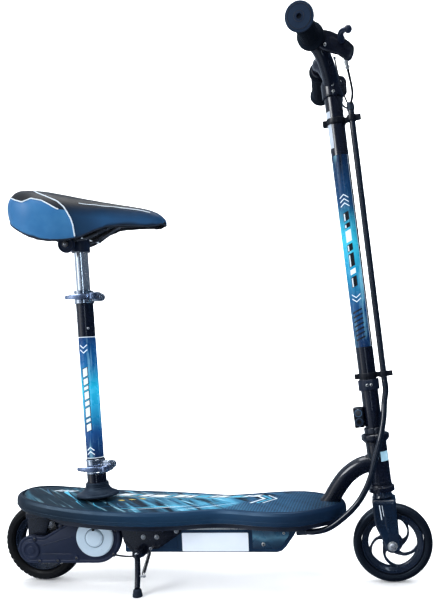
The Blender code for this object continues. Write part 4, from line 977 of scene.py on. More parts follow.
def axle(name, body, x, z, half, head, across, cap):
    """A threaded rod with a washer and a nut at each end; the nuts are closed and domed where `cap` is true."""
    parts = [(turn_y(cylinder(0.0049, 2 * half - 0.0030, 32, 0.0006)), STEEL)]
    for side in (-1, 1):
        inner = half - head
        washer = xform(cylinder(across * 0.62, 0.0011, 40, 0.0003), at(0, 0, inner + 0.0006))
        nut = xform(hex_head(across, head * (0.62 if cap else 0.80)), at(0, 0, inner + 0.0011))
        out = [(washer, ZINC), (nut, ZINC)]
        if cap:
            r = across * 0.44
            dome = [(r, 0.0)] + [(r * math.cos(t), (head * 0.36) * math.sin(t)) for t in np.linspace(0.1, math.pi / 2, 8)]
            dome[-1] = (0.0, dome[-1][1])
            out.append((xform(lathe([(0, 0)] + dome, 40), at(0, 0, inner + 0.0010 + head * 0.60)), STEEL))
        parts += [(turn_y(p, side), m) for p, m in out]
    m = at(x, 0, z)
    return piece(name, body, [(xform(p, m), k) for p, k in parts], [name], 30)


axle("front_axle", "steering", FRONT_X, FRONT_Z, 0.0330, 0.0058, 0.0145, True)
axle("rear_axle", "chassis", REAR_X, REAR_Z, 0.0430, 0.0058, 0.0155, False)


# =====================================================================================
# Fork, steerer and headset
# =====================================================================================
FORK_FRONT = [(0.0615, 0.3400), (0.0625, 0.3440), (0.0640, 0.3465), (0.0670, 0.3492), (0.0720, 0.3507), (0.0800, 0.3510), (0.1000, 0.3500), (0.1563, 0.3463)]
FORK_REAR = [(0.0615, 0.3400), (0.0622, 0.3364), (0.0635, 0.3338), (0.0670, 0.3310), (0.0740, 0.3280), (0.0900, 0.3202), (0.1018, 0.3145), (0.1090, 0.3118),
             (0.1150, 0.3104), (0.1260, 0.3090), (0.1400, 0.3080), (0.1563, 0.3069)]


def fork_x(z, line):
    return float(np.interp(z, [a for a, _ in line], [b for _, b in line]))


# the blue in this black paint is painted sheen, standing in for the blue the blades reflect
FORK_SHEEN_PAINT = gloss_paint("fork_paint_blue_sheen", (0.0034, 0.0110, 0.0280), (0.0060, 0.0190, 0.0450))


def make_fork():
    # the middle of the sheet runs up one blade, over the crown and down the other
    path = []                                          # (y, z, blade height for the widths, normal)
    zs = [0.0617, 0.0621, 0.0628, 0.0638, 0.0652, 0.0670, 0.0695, 0.0730, 0.0780] + [0.0780 + (0.1482 - 0.0780) * k / 16 for k in range(1, 17)]
    for z in zs:
        path.append((-0.0250, z, (-1.0, 0.0)))
    R = 0.0062
    for k in range(1, 8):
        a = math.pi / 2 * k / 8
        path.append((-0.0250 + R * (1 - math.cos(a)), 0.1482 + R * math.sin(a), (-math.cos(a), math.sin(a))))
    for k in range(0, 5):
        path.append((-0.0188 + 0.0188 * k / 4, 0.1544, (0.0, 1.0)))
    full = path + [(-y, z, (-n[0], n[1])) for y, z, n in reversed(path[:-1])]
    across = [0.0, 0.25, 0.5, 0.75, 1.0]
    lip = 0.0042
    rows = []
    for y, z, n in full:
        xr, xf = fork_x(z, FORK_REAR), fork_x(z, FORK_FRONT)
        width = xf - xr
        t = min(1.0, width / 0.0150)
        f = lip * t
        e = 0.0016 * t
        row = [(xr, y - n[0] * f, z - n[1] * f), (xr, y - n[0] * f * 0.45, z - n[1] * f * 0.45), (xr + e * 0.30, y - n[0] * e * 0.30, z - n[1] * e * 0.30)]
        for u in across:
            row.append((xr + e + (width - 2 * e) * u, y, z))
        row += [(xf - e * 0.30, y - n[0] * e * 0.30, z - n[1] * e * 0.30), (xf, y - n[0] * f * 0.45, z - n[1] * f * 0.45), (xf, y - n[0] * f, z - n[1] * f)]
        rows.append(row)
    m = len(rows[0])
    verts = [q for r in rows for q in r]
    faces = []
    for i in range(len(rows) - 1):
        for j in range(m - 1):
            faces.append((i * m + j, i * m + j + 1, (i + 1) * m + j + 1, (i + 1) * m + j))
    ob = temp_object((np.array(verts), faces))
    sol = ob.modifiers.new("thick", "SOLIDIFY")
    sol.thickness = 0.0030
    sol.offset = 0.0
    sol.use_even_offset = True
    sub = ob.modifiers.new("smooth", "SUBSURF")
    sub.levels = sub.render_levels = 1
    sheet = outward(take(ob))
    parts = [(sheet, FORK_SHEEN_PAINT)]
    # drop-out bosses, the weld bead round the steerer, and the steerer
    for side in (-1, 1):
        boss = turn_y(lathe(fillet([(0.0054, 0.0), (0.0094, 0.0), (0.0094, 0.0009), (0.0054, 0.0012)], [0, 0, 0.0005, 0], 3), 48, closed=True), side)
        parts.append((xform(boss, at(FRONT_X, side * 0.0262, FRONT_Z)), FORK_SHEEN_PAINT))
    bead = []
    for k in range(72):
        a = math.tau * k / 72
        bump = 1 + 0.10 * math.sin(a * 26)
        bead.append((STEER @ Vector((0.0136 * math.cos(a), 0.0136 * math.sin(a), -0.0106)), bump))
    ringpts = [tuple(b[0]) for b in bead]
    parts.append((tube(ringpts, 0, 10, False, True, radii=[0.0016 * b[1] for b in bead]), FORK_SHEEN_PAINT))
    steerer = lathe([(0, 0.2510), (0.0120, 0.2510), (0.0127, 0.2502), (0.0127, -0.0110), (0, -0.0110)], 48)
    parts.append((xform(steerer, STEER), STEEL))
    race = lathe(fillet([(0.0128, -0.0003), (0.0169, -0.0003), (0.0173, -0.0060), (0.0200, -0.0098), (0.0128, -0.0103)], [0, 0.0005, 0.0015, 0.0004, 0], 3), 56, closed=True)
    parts.append((xform(race, STEER), FORK_SHEEN_PAINT))
    # plain pressed rib down the outside of each blade
    for side in (-1, 1):
        line = [(0.3290, side * 0.0262, 0.1380), (0.3300, side * 0.0264, 0.1240), (0.3322, side * 0.0264, 0.1080), (0.3350, side * 0.0262, 0.0950)]
        line = [tuple(q) for q in spline(line, 20)]
        radii = [0.0034 * math.sin(math.pi * (0.06 + 0.88 * j / 19)) ** 0.5 for j in range(20)]
        parts.append((tube(line, 0, 14, True, radii=radii, squash=(1.0, 0.32), normal=(1, 0, 0)), FORK_SHEEN_PAINT))
    piece("fork", "steering", parts, ["fork"], 42)
    # two slim bars as plain decoration on each blade
    marks = []
    for side in (-1, 1):
        for (xa, za), (xb, zb), w in (((0.3186, 0.1462), (0.3222, 0.1200), 0.0016), ((0.3232, 0.1462), (0.3262, 0.1262), 0.0009)):
            d = Vector((xb - xa, 0, zb - za)).normalized()
            nrm = Vector((-d.z, 0, d.x)) * w / 2
            a, b = Vector((xa, side * 0.02655, za)), Vector((xb, side * 0.02655, zb))
            quad = [a - nrm, a + nrm, b + nrm, b - nrm]
            lift = Vector((0, side * 0.00014, 0))
            v = [tuple(q) for q in quad] + [tuple(q + lift) for q in quad]
            f = [(0, 1, 2, 3), (4, 7, 6, 5), (0, 4, 5, 1), (1, 5, 6, 2), (2, 6, 7, 3), (3, 7, 4, 0)]
            marks.append((outward((np.array(v), f)), WHITE_PRINT))
    piece("fork_stripes", "steering", marks, [], 30)


make_fork()


def on_steer(profile, seg=72, s=0.0, closed=True, shape=None):
    return xform(lathe(profile, seg, closed, shape), STEER @ at(0, 0, s))


def make_headset():
    lower = fillet([(0.0132, 0.0130), (0.0198, 0.0130), (0.0206, 0.0100), (0.0232, 0.0088), (0.0233, 0.0008), (0.0222, 0.0), (0.0180, 0.0), (0.0176, 0.0080), (0.0132, 0.0080)],
                   [0, 0.0006, 0.0008, 0.0010, 0.0008, 0.0003, 0, 0.0004, 0], 3)
    piece("headset_lower_cup", "chassis", [(on_steer(lower), PAINT)], ["headset_lower_cup"], 32)
    upper = fillet([(0.0132, 0.0142), (0.0205, 0.0142), (0.0236, 0.0138), (0.0254, 0.0120), (0.0255, 0.0048), (0.0240, 0.0030), (0.0215, 0.0), (0.0132, 0.0)],
                   [0, 0.0006, 0.0012, 0.0010, 0.0010, 0.0008, 0.0003, 0], 3)
    ring_line = lathe(fillet([(0.0254, 0.0090), (0.02562, 0.0090), (0.02562, 0.0076), (0.0254, 0.0076)], 0.0002, 2, True), 72, closed=True)
    piece("headset_upper_cup", "chassis", [(on_steer(upper, s=0.0926), PAINT)], ["headset_upper_cup"], 32)
    # lock nut with wrench notches
    seg = 96

    def notch(r, z, a, j):
        k = int(round(a / math.tau * seg)) % (seg // 8)
        if r > 0.0186 and k in (0, 1, 2):
            return r - 0.0011, z
        return r, z

    nut = fillet([(0.0131, 0.0109), (0.0178, 0.0109), (0.0188, 0.0100), (0.0188, 0.0012), (0.0180, 0.0), (0.0131, 0.0)],
                 [0, 0.0004, 0.0005, 0.0005, 0.0004, 0], 3)
    piece("steering_nut", "steering", [(on_steer(nut, seg, 0.1071, True, notch), DARK_GLOSS)], ["steering_nut"], 30)


DARK_GLOSS = gloss_paint("dark_gloss_metal", (0.0090, 0.0130, 0.0240), (0.0130, 0.0180, 0.0320), 0.30)
make_headset()


# =====================================================================================
# Thin printed shapes that follow a surface
# =====================================================================================
def decal(mapf, quads, h=0.00013, step=0.0022, sink=0.0003):
    """Closed thin patches: each quad is four (u, v) corners in turn, laid on the surface that mapf(u, v, height) gives."""
    shells = []
    for quad in quads:
        a, b, c, d = [np.array(q, float) for q in quad]
        nu = max(1, int(math.ceil(max(np.linalg.norm(b - a), np.linalg.norm(c - d)) / step)))
        nv = max(1, int(math.ceil(max(np.linalg.norm(d - a), np.linalg.norm(c - b)) / step)))
        top, low = [], []
        for i in range(nu + 1):
            for j in range(nv + 1):
                s, t = i / nu, j / nv
                q = (a * (1 - s) + b * s) * (1 - t) + (d * (1 - s) + c * s) * t
                top.append(mapf(q[0], q[1], h))
                low.append(mapf(q[0], q[1], -sink))
        n = nv + 1
        k = len(top)
        faces = []
        for i in range(nu):
            for j in range(nv):
                w, x, y, z = i * n + j, (i + 1) * n + j, (i + 1) * n + j + 1, i * n + j + 1
                faces.append((w, x, y, z))
                faces.append((k + z, k + y, k + x, k + w))
        edge = [i * n for i in range(nu + 1)] + [nu * n + j for j in range(1, n)] + [i * n + nv for i in range(nu - 1, -1, -1)] + [j for j in range(nv - 1, 0, -1)]
        for p, q in zip(edge, edge[1:] + edge[:1]):
            faces.append((q, p, k + p, k + q))
        shells.append(outward((np.array([tuple(v) for v in top + low]), faces)))
    return merge(*shells)


def bar_quad(u0, v0, u1, v1, width):
    """A straight stripe of even width between two points."""
    d = np.array([u1 - u0, v1 - v0], float)
    d /= np.linalg.norm(d)
    n = np.array([-d[1], d[0]]) * width / 2
    a, b = np.array([u0, v0]), np.array([u1, v1])
    return [tuple(a - n), tuple(b - n), tuple(b + n), tuple(a + n)]


def poly_quads(points, width):
    """A stripe of even width along a line of points, with mitred corners."""
    p = [np.array(q, float) for q in points]
    norms = []
    for i in range(len(p)):
        d0 = p[i] - p[i - 1] if i else p[1] - p[0]
        d1 = p[i + 1] - p[i] if i < len(p) - 1 else p[-1] - p[-2]
        d0, d1 = d0 / np.linalg.norm(d0), d1 / np.linalg.norm(d1)
        n0, n1 = np.array([-d0[1], d0[0]]), np.array([-d1[1], d1[0]])
        m = n0 + n1
        m /= np.linalg.norm(m)
        norms.append(m / max(0.35, float(m @ n0)))
    out = []
    for i in range(len(p) - 1):
        w = width / 2
        out.append([tuple(p[i] - norms[i] * w), tuple(p[i + 1] - norms[i + 1] * w), tuple(p[i + 1] + norms[i + 1] * w), tuple(p[i] + norms[i] * w)])
    return out


def slant(u, v, length, height, lean):
    """A slanted block: `length` along u, `height` along v, its top moved by `lean`."""
    return [(u, v), (u + length, v), (u + length + lean, v + height), (u + lean, v + height)]


# =====================================================================================
# Deck
# =====================================================================================
HALF_WIDTH = [
    (-0.3750, 0.0), (-0.3725, 0.025), (-0.3620, 0.045), (-0.3380, 0.065), (-0.2900, 0.080), (-0.2300, 0.089),
    (-0.1700, 0.094), (-0.1100, 0.094), (-0.0500, 0.085), (0.0, 0.0715), (0.0300, 0.067), (0.0650, 0.073),
    (0.1050, 0.086), (0.1500, 0.093), (0.1850, 0.087), (0.2150, 0.067), (0.2400, 0.042), (0.2545, 0.019), (0.2580, 0.0),
]
TOP_LINE = [
    (-0.375, 0.1775), (-0.340, 0.1722), (-0.300, 0.1660), (-0.240, 0.1590), (-0.180, 0.1543), (-0.120, 0.1515),
    (-0.060, 0.1500), (0.000, 0.1495), (0.260, 0.1495),
]
TOP_SMOOTH = spline([(x, 0, z) for x, z in TOP_LINE], 200)
TOP_XS = [p.x for p in TOP_SMOOTH]
TOP_ZS = [p.z for p in TOP_SMOOTH]
NECK = [
    (0.2050, 0, 0.1330), (0.2175, 0, 0.1370), (0.2320, 0, 0.1545), (0.2440, 0, 0.1740), (0.2620, 0, 0.1965),
    (0.2860, 0, 0.2130), (0.3120, 0, 0.2200),
]


def deck_top(x):
    return float(np.interp(x, TOP_XS, TOP_ZS))


def deck_loop(inset, half_count):
    half = spline([(x, w, 0) for x, w in HALF_WIDTH], half_count)
    half[0].y = half[-1].y = 0.0
    loop = [Vector((p.x, p.y)) for p in half] + [Vector((p.x, -p.y)) for p in reversed(half[1:-1])]
    n = len(loop)
    out = []
    for i, p in enumerate(loop):
        d = loop[(i + 1) % n] - loop[i - 1]
        normal = Vector((-d.y, d.x)).normalized()
        out.append((p - normal * inset, normal))
    return out


def deck_half_width(inset):
    """(x list, half width list) of the outline moved in by `inset`."""
    pts = [p for p, _ in deck_loop(inset, 220)][1:219]
    pts = sorted((p.x, abs(p.y)) for p in pts)
    return [p[0] for p in pts], [p[1] for p in pts]


def rim_section():
    """The rubber rim's section: (outward, up) from the top edge, with a soft outer face and a step under it."""
    pts = [(0.0002, -0.0130), (-0.0006, -0.0062), (-0.0042, -0.0004), (-0.0086, 0.0004), (-0.0117, -0.0010), (-0.0119, -0.0040),
           (-0.0119, -0.0225), (-0.0100, -0.0258), (-0.0072, -0.0265), (-0.0028, -0.0247), (-0.0004, -0.0192)]
    return fillet(pts, [0.006, 0.004, 0.0035, 0.003, 0.0012, 0.0010, 0.0012, 0.0016, 0.0022, 0.0030, 0.0040], 4, True)


def make_bumper():
    sec = rim_section()
    rings = []
    for p, normal in deck_loop(0.0, 210):
        top = deck_top(p.x)
        rings.append([(p.x + normal.x * u, p.y + normal.y * u, top + v) for u, v in sec])
    body = loft(rings, loop=True)
    # a fine parting bead round the outer face
    bead = []
    for p, normal in deck_loop(0.0, 210):
        top = deck_top(p.x)
        bead.append([(p.x + normal.x * u, p.y + normal.y * u, top + v) for u, v in ((-0.0002, -0.0168), (0.00035, -0.0172), (0.00035, -0.0178), (-0.0003, -0.0182))])
    bead = loft(bead, loop=True)
    piece("deck_bumper", "chassis", [(body, BUMPER), (bead, BUMPER)], ["deck_bumper"], 60)


def bumper_skin():
    """Rubber with painted sheen that comes and goes along the rim: lighter in the middle of its length, darker at both
    ends.
    """
    k = Mat("bumper_rubber", (0.0060, 0.0260, 0.0620), 0.38, tint=(0.55, 0.78, 1.0))
    sep = k.node("ShaderNodeSeparateXYZ")
    k.l.new(k.coords(), sep.inputs[0])
    wob = k.math("MULTIPLY", k.math("SUBTRACT", k.noise(9.0, 2.0), 0.5), 0.16)
    pos = k.math("ADD", k.map(sep.outputs[0], -0.375, 0.260, 0.0, 1.0), wob)
    # the ramp along x is painted light: lighter where the rim's middle catches light, darker towards the rear and the
    # front
    k.colour(k.ramp(pos, [(0.00, (0.0036, 0.0070, 0.0135)), (0.20, (0.0042, 0.0120, 0.0250)), (0.42, (0.0075, 0.0330, 0.0740)),
                          (0.66, (0.0080, 0.0370, 0.0840)), (0.84, (0.0050, 0.0220, 0.0560)), (1.00, (0.0034, 0.0140, 0.0380))]))
    k.rough_vary(40.0, 0.33, 0.46)
    k.bump(k.noise(1100.0, 3.0, 0.7), 0.00012, 0.35)
    return k.m


BUMPER = bumper_skin()
make_bumper()

PANEL_X, PANEL_W = deck_half_width(0.0121)
PANEL_LO, PANEL_HI = PANEL_X[0] + 0.0004, PANEL_X[-1] - 0.0004


def panel_width(x):
    return float(np.interp(x, PANEL_X, PANEL_W))


def panel_top(x, y):
    w = max(panel_width(x), 1e-4)
    t = min(1.0, abs(y) / w)
    return deck_top(x) - 0.0010 + 0.0035 * (1 - t * t)


def make_panel():
    nx, ny = 300, 60
    xs = [PANEL_LO + (PANEL_HI - PANEL_LO) * (0.5 - 0.5 * math.cos(math.pi * i / nx)) * 1.0 for i in range(nx + 1)]
    verts, faces = [], []
    for x in xs:
        w = panel_width(x)
        for j in range(ny + 1):
            t = -1 + 2 * j / ny
            verts.append((x, w * t, panel_top(x, w * t)))
    base = len(verts)
    for x in xs:
        w = panel_width(x)
        for j in range(ny + 1):
            t = -1 + 2 * j / ny
            verts.append((x, w * t, deck_top(x) - 0.0045))
    n = ny + 1
    for i in range(nx):
        for j in range(ny):
            faces.append((i * n + j, (i + 1) * n + j, (i + 1) * n + j + 1, i * n + j + 1))
            faces.append((base + i * n + j, base + i * n + j + 1, base + (i + 1) * n + j + 1, base + (i + 1) * n + j))
        faces.append((i * n, base + i * n, base + (i + 1) * n, (i + 1) * n))
        faces.append((i * n + ny, (i + 1) * n + ny, base + (i + 1) * n + ny, base + i * n + ny))
    for i in (0, nx):
        for j in range(ny):
            q = (i * n + j, i * n + j + 1, base + i * n + j + 1, base + i * n + j)
            faces.append(q if i == 0 else tuple(reversed(q)))
    part = outward((np.array(verts), faces))

    k = Mat("printed_deck", (0.03, 0.12, 0.20), 0.34, spec=0.28)
    sep = k.node("ShaderNodeSeparateXYZ")
    k.l.new(k.coords(), sep.inputs[0])
    along = k.map(sep.outputs[0], -0.37, 0.26, 0.0, 1.0)
    wob = k.math("MULTIPLY", k.math("SUBTRACT", k.noise(7.0, 2.0), 0.5), 0.30)
    pos = k.math("ADD", along, wob)
    pos = k.math("ADD", pos, k.math("MULTIPLY", sep.outputs[1], 1.1))
    base_col = k.ramp(pos, [(0.00, (0.0030, 0.0130, 0.0240)), (0.14, (0.0050, 0.0290, 0.0500)), (0.26, (0.0070, 0.0380, 0.0660)),
                            (0.36, (0.0090, 0.0460, 0.0880)), (0.50, (0.0500, 0.2200, 0.3400)), (0.62, (0.0500, 0.2500, 0.3900)),
                            (0.74, (0.0300, 0.1200, 0.2300)), (1.0, (0.0180, 0.0500, 0.1050))])
    streak_vec = k.turned((4.5, 50.0, 5.0), (0, 0, math.radians(47)))
    streak = k.noise(1.0, 5.0, 0.62, streak_vec)
    patch = k.map(k.noise(15.0, 2.0), 0.38, 0.58, 0.25, 1.0)
    light = k.math("MULTIPLY", k.map(streak, 0.53, 0.64, 0.0, 0.85), patch)
    dark = k.map(streak, 0.49, 0.42, 0.0, 0.96)
    mid_mask = k.map(pos, 0.05, 0.42, 0.25, 1.0)
    end_mask = k.map(pos, 0.72, 0.62, 0.15, 1.0)
    mask = k.math("MULTIPLY", mid_mask, end_mask)
    col = k.mix(k.math("MULTIPLY", light, mask), base_col, (0.13, 0.46, 0.64))
    col = k.mix(k.math("MULTIPLY", dark, k.map(pos, 0.20, 0.40, 0.3, 1.0)), col, (0.0030, 0.0080, 0.0160))
    thin = k.noise(1.0, 2.0, 0.5, k.turned((9.0, 190.0, 9.0), (0, 0, math.radians(40))))
    col = k.mix(k.math("MULTIPLY", k.map(thin, 0.62, 0.70, 0.0, 0.7), mask), col, (0.40, 0.72, 0.86))
    # the checkered grip at the front
    chk = k.node("ShaderNodeTexChecker")
    chk.inputs["Scale"].default_value = 1.0
    k.l.new(k.scaled((260.0, 260.0, 1.0), (0, 0, math.radians(45)), (0.013, 0.017, 0.5)), chk.inputs["Vector"])
    front = k.map(k.math("ADD", sep.outputs[0], k.math("MULTIPLY", sep.outputs[1], -0.9)), 0.075, 0.090, 0.0, 1.0)
    grip_col = k.mix(chk.outputs["Fac"], (0.0420, 0.1300, 0.2400), (0.0090, 0.0280, 0.0560))
    col = k.mix(k.math("MULTIPLY", front, 0.85), col, grip_col)
    col = k.mix(k.map(sep.outputs[0], 0.150, 0.250, 0.0, 0.72), col, (0.0070, 0.0150, 0.0260))
    k.colour(col)
    k.rough_vary(30.0, 0.36, 0.52)
    k.bump(k.math("MULTIPLY", chk.outputs["Fac"], front), 0.00018, 0.5)
    k.bump(k.noise(1500.0, 2.0), 0.00005, 0.3)
    piece("deck_panel", "chassis", [(part, k.m)], ["deck_panel"], 40)


make_panel()


def on_panel(u, v, h):
    return (u, v, panel_top(u, v) + h)


def make_deck_print():
    light = moulded("print_light", (0.76, 0.84, 0.90), (0.64, 0.75, 0.84), 0.34, 900.0, 0.00003, 0.15)
    cyan = moulded("print_cyan", (0.10, 0.50, 0.68), (0.06, 0.38, 0.56), 0.34, 900.0, 0.00003, 0.15)
    dark = moulded("print_dark", (0.0025, 0.0040, 0.0080), (0.0040, 0.0065, 0.0120), 0.34, 900.0, 0.00003, 0.15)
    amber = moulded("print_amber", (0.90, 0.66, 0.10), (0.82, 0.58, 0.08), 0.36, 900.0, 0.00003, 0.15)
    blue = moulded("print_blue", (0.020, 0.120, 0.240), (0.014, 0.085, 0.180), 0.34, 900.0, 0.00003, 0.15)
    L, C, D, A, B = [], [], [], [], []
    # far side: a band of slanted blocks of changing length, each on a dark slab, between two pin lines
    u = -0.196
    widths = [0.026, 0.009, 0.017, 0.030, 0.008, 0.021, 0.012, 0.027, 0.009, 0.018, 0.024, 0.010, 0.015]
    for i, w in enumerate(widths):
        v0 = 0.0300 + 0.0016 * math.sin(i * 1.7)
        hgt = 0.0210
        D.append(slant(u - 0.0036, v0 - 0.0040, w + 0.0072, hgt + 0.0080, 0.0120))
        (L if i % 3 != 1 else C).append(slant(u, v0, w, hgt, 0.0105))
        if w > 0.016:
            D.append(slant(u + 0.0048, v0 + 0.0065, w - 0.0090, 0.0030, 0.0016))
            D.append(slant(u + 0.0060, v0 + 0.0128, w - 0.0100, 0.0026, 0.0014))
        u += w + 0.0046
    L += poly_quads([(-0.205, 0.0245), (-0.120, 0.0235), (-0.020, 0.0250), (0.062, 0.0290)], 0.0011)
    L += poly_quads([(-0.180, 0.0590), (-0.110, 0.0600), (-0.040, 0.0570), (0.052, 0.0560)], 0.0011)
    C += poly_quads([(-0.212, 0.0205), (-0.125, 0.0188), (-0.020, 0.0205), (0.070, 0.0250)], 0.0018)
    # a plain pair of nested arrowheads toward the front
    for k, (s, mat) in enumerate(((0.0, L), (0.0125, C), (0.0235, L))):
        mat += poly_quads([(0.083 + s, -0.022), (0.104 + s, 0.010), (0.083 + s, 0.042)], 0.0046 - 0.0009 * k)
    # long tapering flashes on the near side
    for (a, b, w, mat) in (((-0.150, -0.064), (-0.028, -0.030), 0.0050, C), ((-0.134, -0.068), (-0.012, -0.033), 0.0024, L),
                           ((-0.060, -0.058), (0.046, -0.018), 0.0040, B), ((-0.040, -0.060), (0.060, -0.020), 0.0018, L),
                           ((-0.205, -0.060), (-0.110, -0.040), 0.0030, B)):
        a, b = np.array(a), np.array(b)
        d = (b - a) / np.linalg.norm(b - a)
        n = np.array([-d[1], d[0]])
        mat.append([tuple(a - n * w * 0.12), tuple(a + (b - a) * 0.6 - n * w / 2), tuple(b), tuple(a + n * w * 0.12)])
        mat.append([tuple(a + n * w * 0.12), tuple(b), tuple(a + (b - a) * 0.6 + n * w / 2), tuple(a + n * w * 0.14)])
    # broad slanted shards at the rear, dark and light in turn
    for (x, y, w, reach, mat) in ((-0.335, 0.022, 0.0070, 0.050, B), (-0.318, 0.010, 0.0100, 0.062, D), (-0.300, 0.034, 0.0055, 0.088, C), (-0.286, 0.016, 0.0120, 0.072, D),
                                  (-0.268, -0.006, 0.0060, 0.050, B), (-0.262, 0.050, 0.0080, 0.040, B), (-0.250, -0.030, 0.0040, 0.040, C), (-0.236, -0.024, 0.0110, 0.044, D),
                                  (-0.215, -0.036, 0.0050, 0.038, C), (-0.196, -0.022, 0.0120, 0.046, D), (-0.170, -0.030, 0.0060, 0.046, B), (-0.146, -0.006, 0.0100, 0.034, D),
                                  (-0.112, 0.012, 0.0070, 0.044, D), (-0.078, 0.010, 0.0050, 0.050, B), (-0.046, 0.014, 0.0080, 0.036, D), (0.000, 0.016, 0.0060, 0.044, D)):
        lean = reach * 0.85
        mat.append([(x, y), (x + w * 0.55, y - reach * 0.25), (x + lean, y - reach), (x - w * 0.35 + lean * 0.35, y - reach * 0.45)])
    # short dashes at the rear and three small lozenges
    for k in range(4):
        L.append(slant(-0.318 + 0.0088 * k, 0.012 + 0.003 * k, 0.0040, 0.0190, 0.0090))
    for k, (x, y) in enumerate(((-0.170, -0.010), (-0.152, -0.001), (-0.134, 0.008))):
        r = 0.0050
        A.append([(x - r * 1.5, y), (x, y - r * 0.62), (x + r * 1.5, y), (x, y + r * 0.62)])
    piece("deck_print", "chassis", [(decal(on_panel, D, 0.00010), dark), (decal(on_panel, B, 0.00012), blue), (decal(on_panel, C, 0.00015), cyan),
                                    (decal(on_panel, L, 0.00019), light), (decal(on_panel, A, 0.00019), amber)], [], 30)


make_deck_print()


def skirt_low(x):
    return deck_top(x) - float(np.interp(x, [-0.35, -0.26], [0.0180, 0.0355]))


def make_pan():
    xs_in, ws_in = deck_half_width(0.0137)
    lo, hi = xs_in[0] + 0.0004, xs_in[-1] - 0.0004
    nx = 90
    rows = []
    for i in range(nx + 1):
        x = lo + (hi - lo) * (0.5 - 0.5 * math.cos(math.pi * i / nx))
        w = float(np.interp(x, xs_in, ws_in))
        top, low = deck_top(x) - 0.0058, skirt_low(x) + 0.0002
        r = min(0.0045, w * 0.4)
        half = [(w + 0.0006, low), (w, low + 0.0016), (w, low + 0.0100), (w, top - r)]
        for k in range(1, 5):
            a = math.pi / 2 * k / 4
            half.append((w - r + r * math.cos(a), top - r + r * math.sin(a)))
        half += [((w - r) * u, top) for u in (0.75, 0.5, 0.25)]
        pts = [(x, y, z) for y, z in half] + [(x, 0.0, top)] + [(x, -y, z) for y, z in reversed(half)]
        rows.append(pts)
    m = len(rows[0])
    faces = []
    for i in range(nx):
        for j in range(m - 1):
            faces.append((i * m + j, i * m + j + 1, (i + 1) * m + j + 1, (i + 1) * m + j))
    ob = temp_object((np.array([q for r in rows for q in r]), faces))
    sol = ob.modifiers.new("thick", "SOLIDIFY")
    sol.thickness = 0.0018
    sol.offset = 0.0
    part = outward(take(ob))
    parts = [(part, SATIN)]
    # pressed cross ribs under the board
    for x in (-0.300, -0.085, 0.060, 0.150):
        w = float(np.interp(x, xs_in, ws_in)) - 0.0100
        top = deck_top(x) - 0.0066
        rib = [(x, y, top) for y in np.linspace(-w, w, 24)]
        parts.append((tube(rib, 0.0042, 12, True, squash=(0.45, 1.0), normal=(0, 0, 1)), SATIN))
    piece("deck_pan", "chassis", parts, ["deck_pan"], 40)


make_pan()


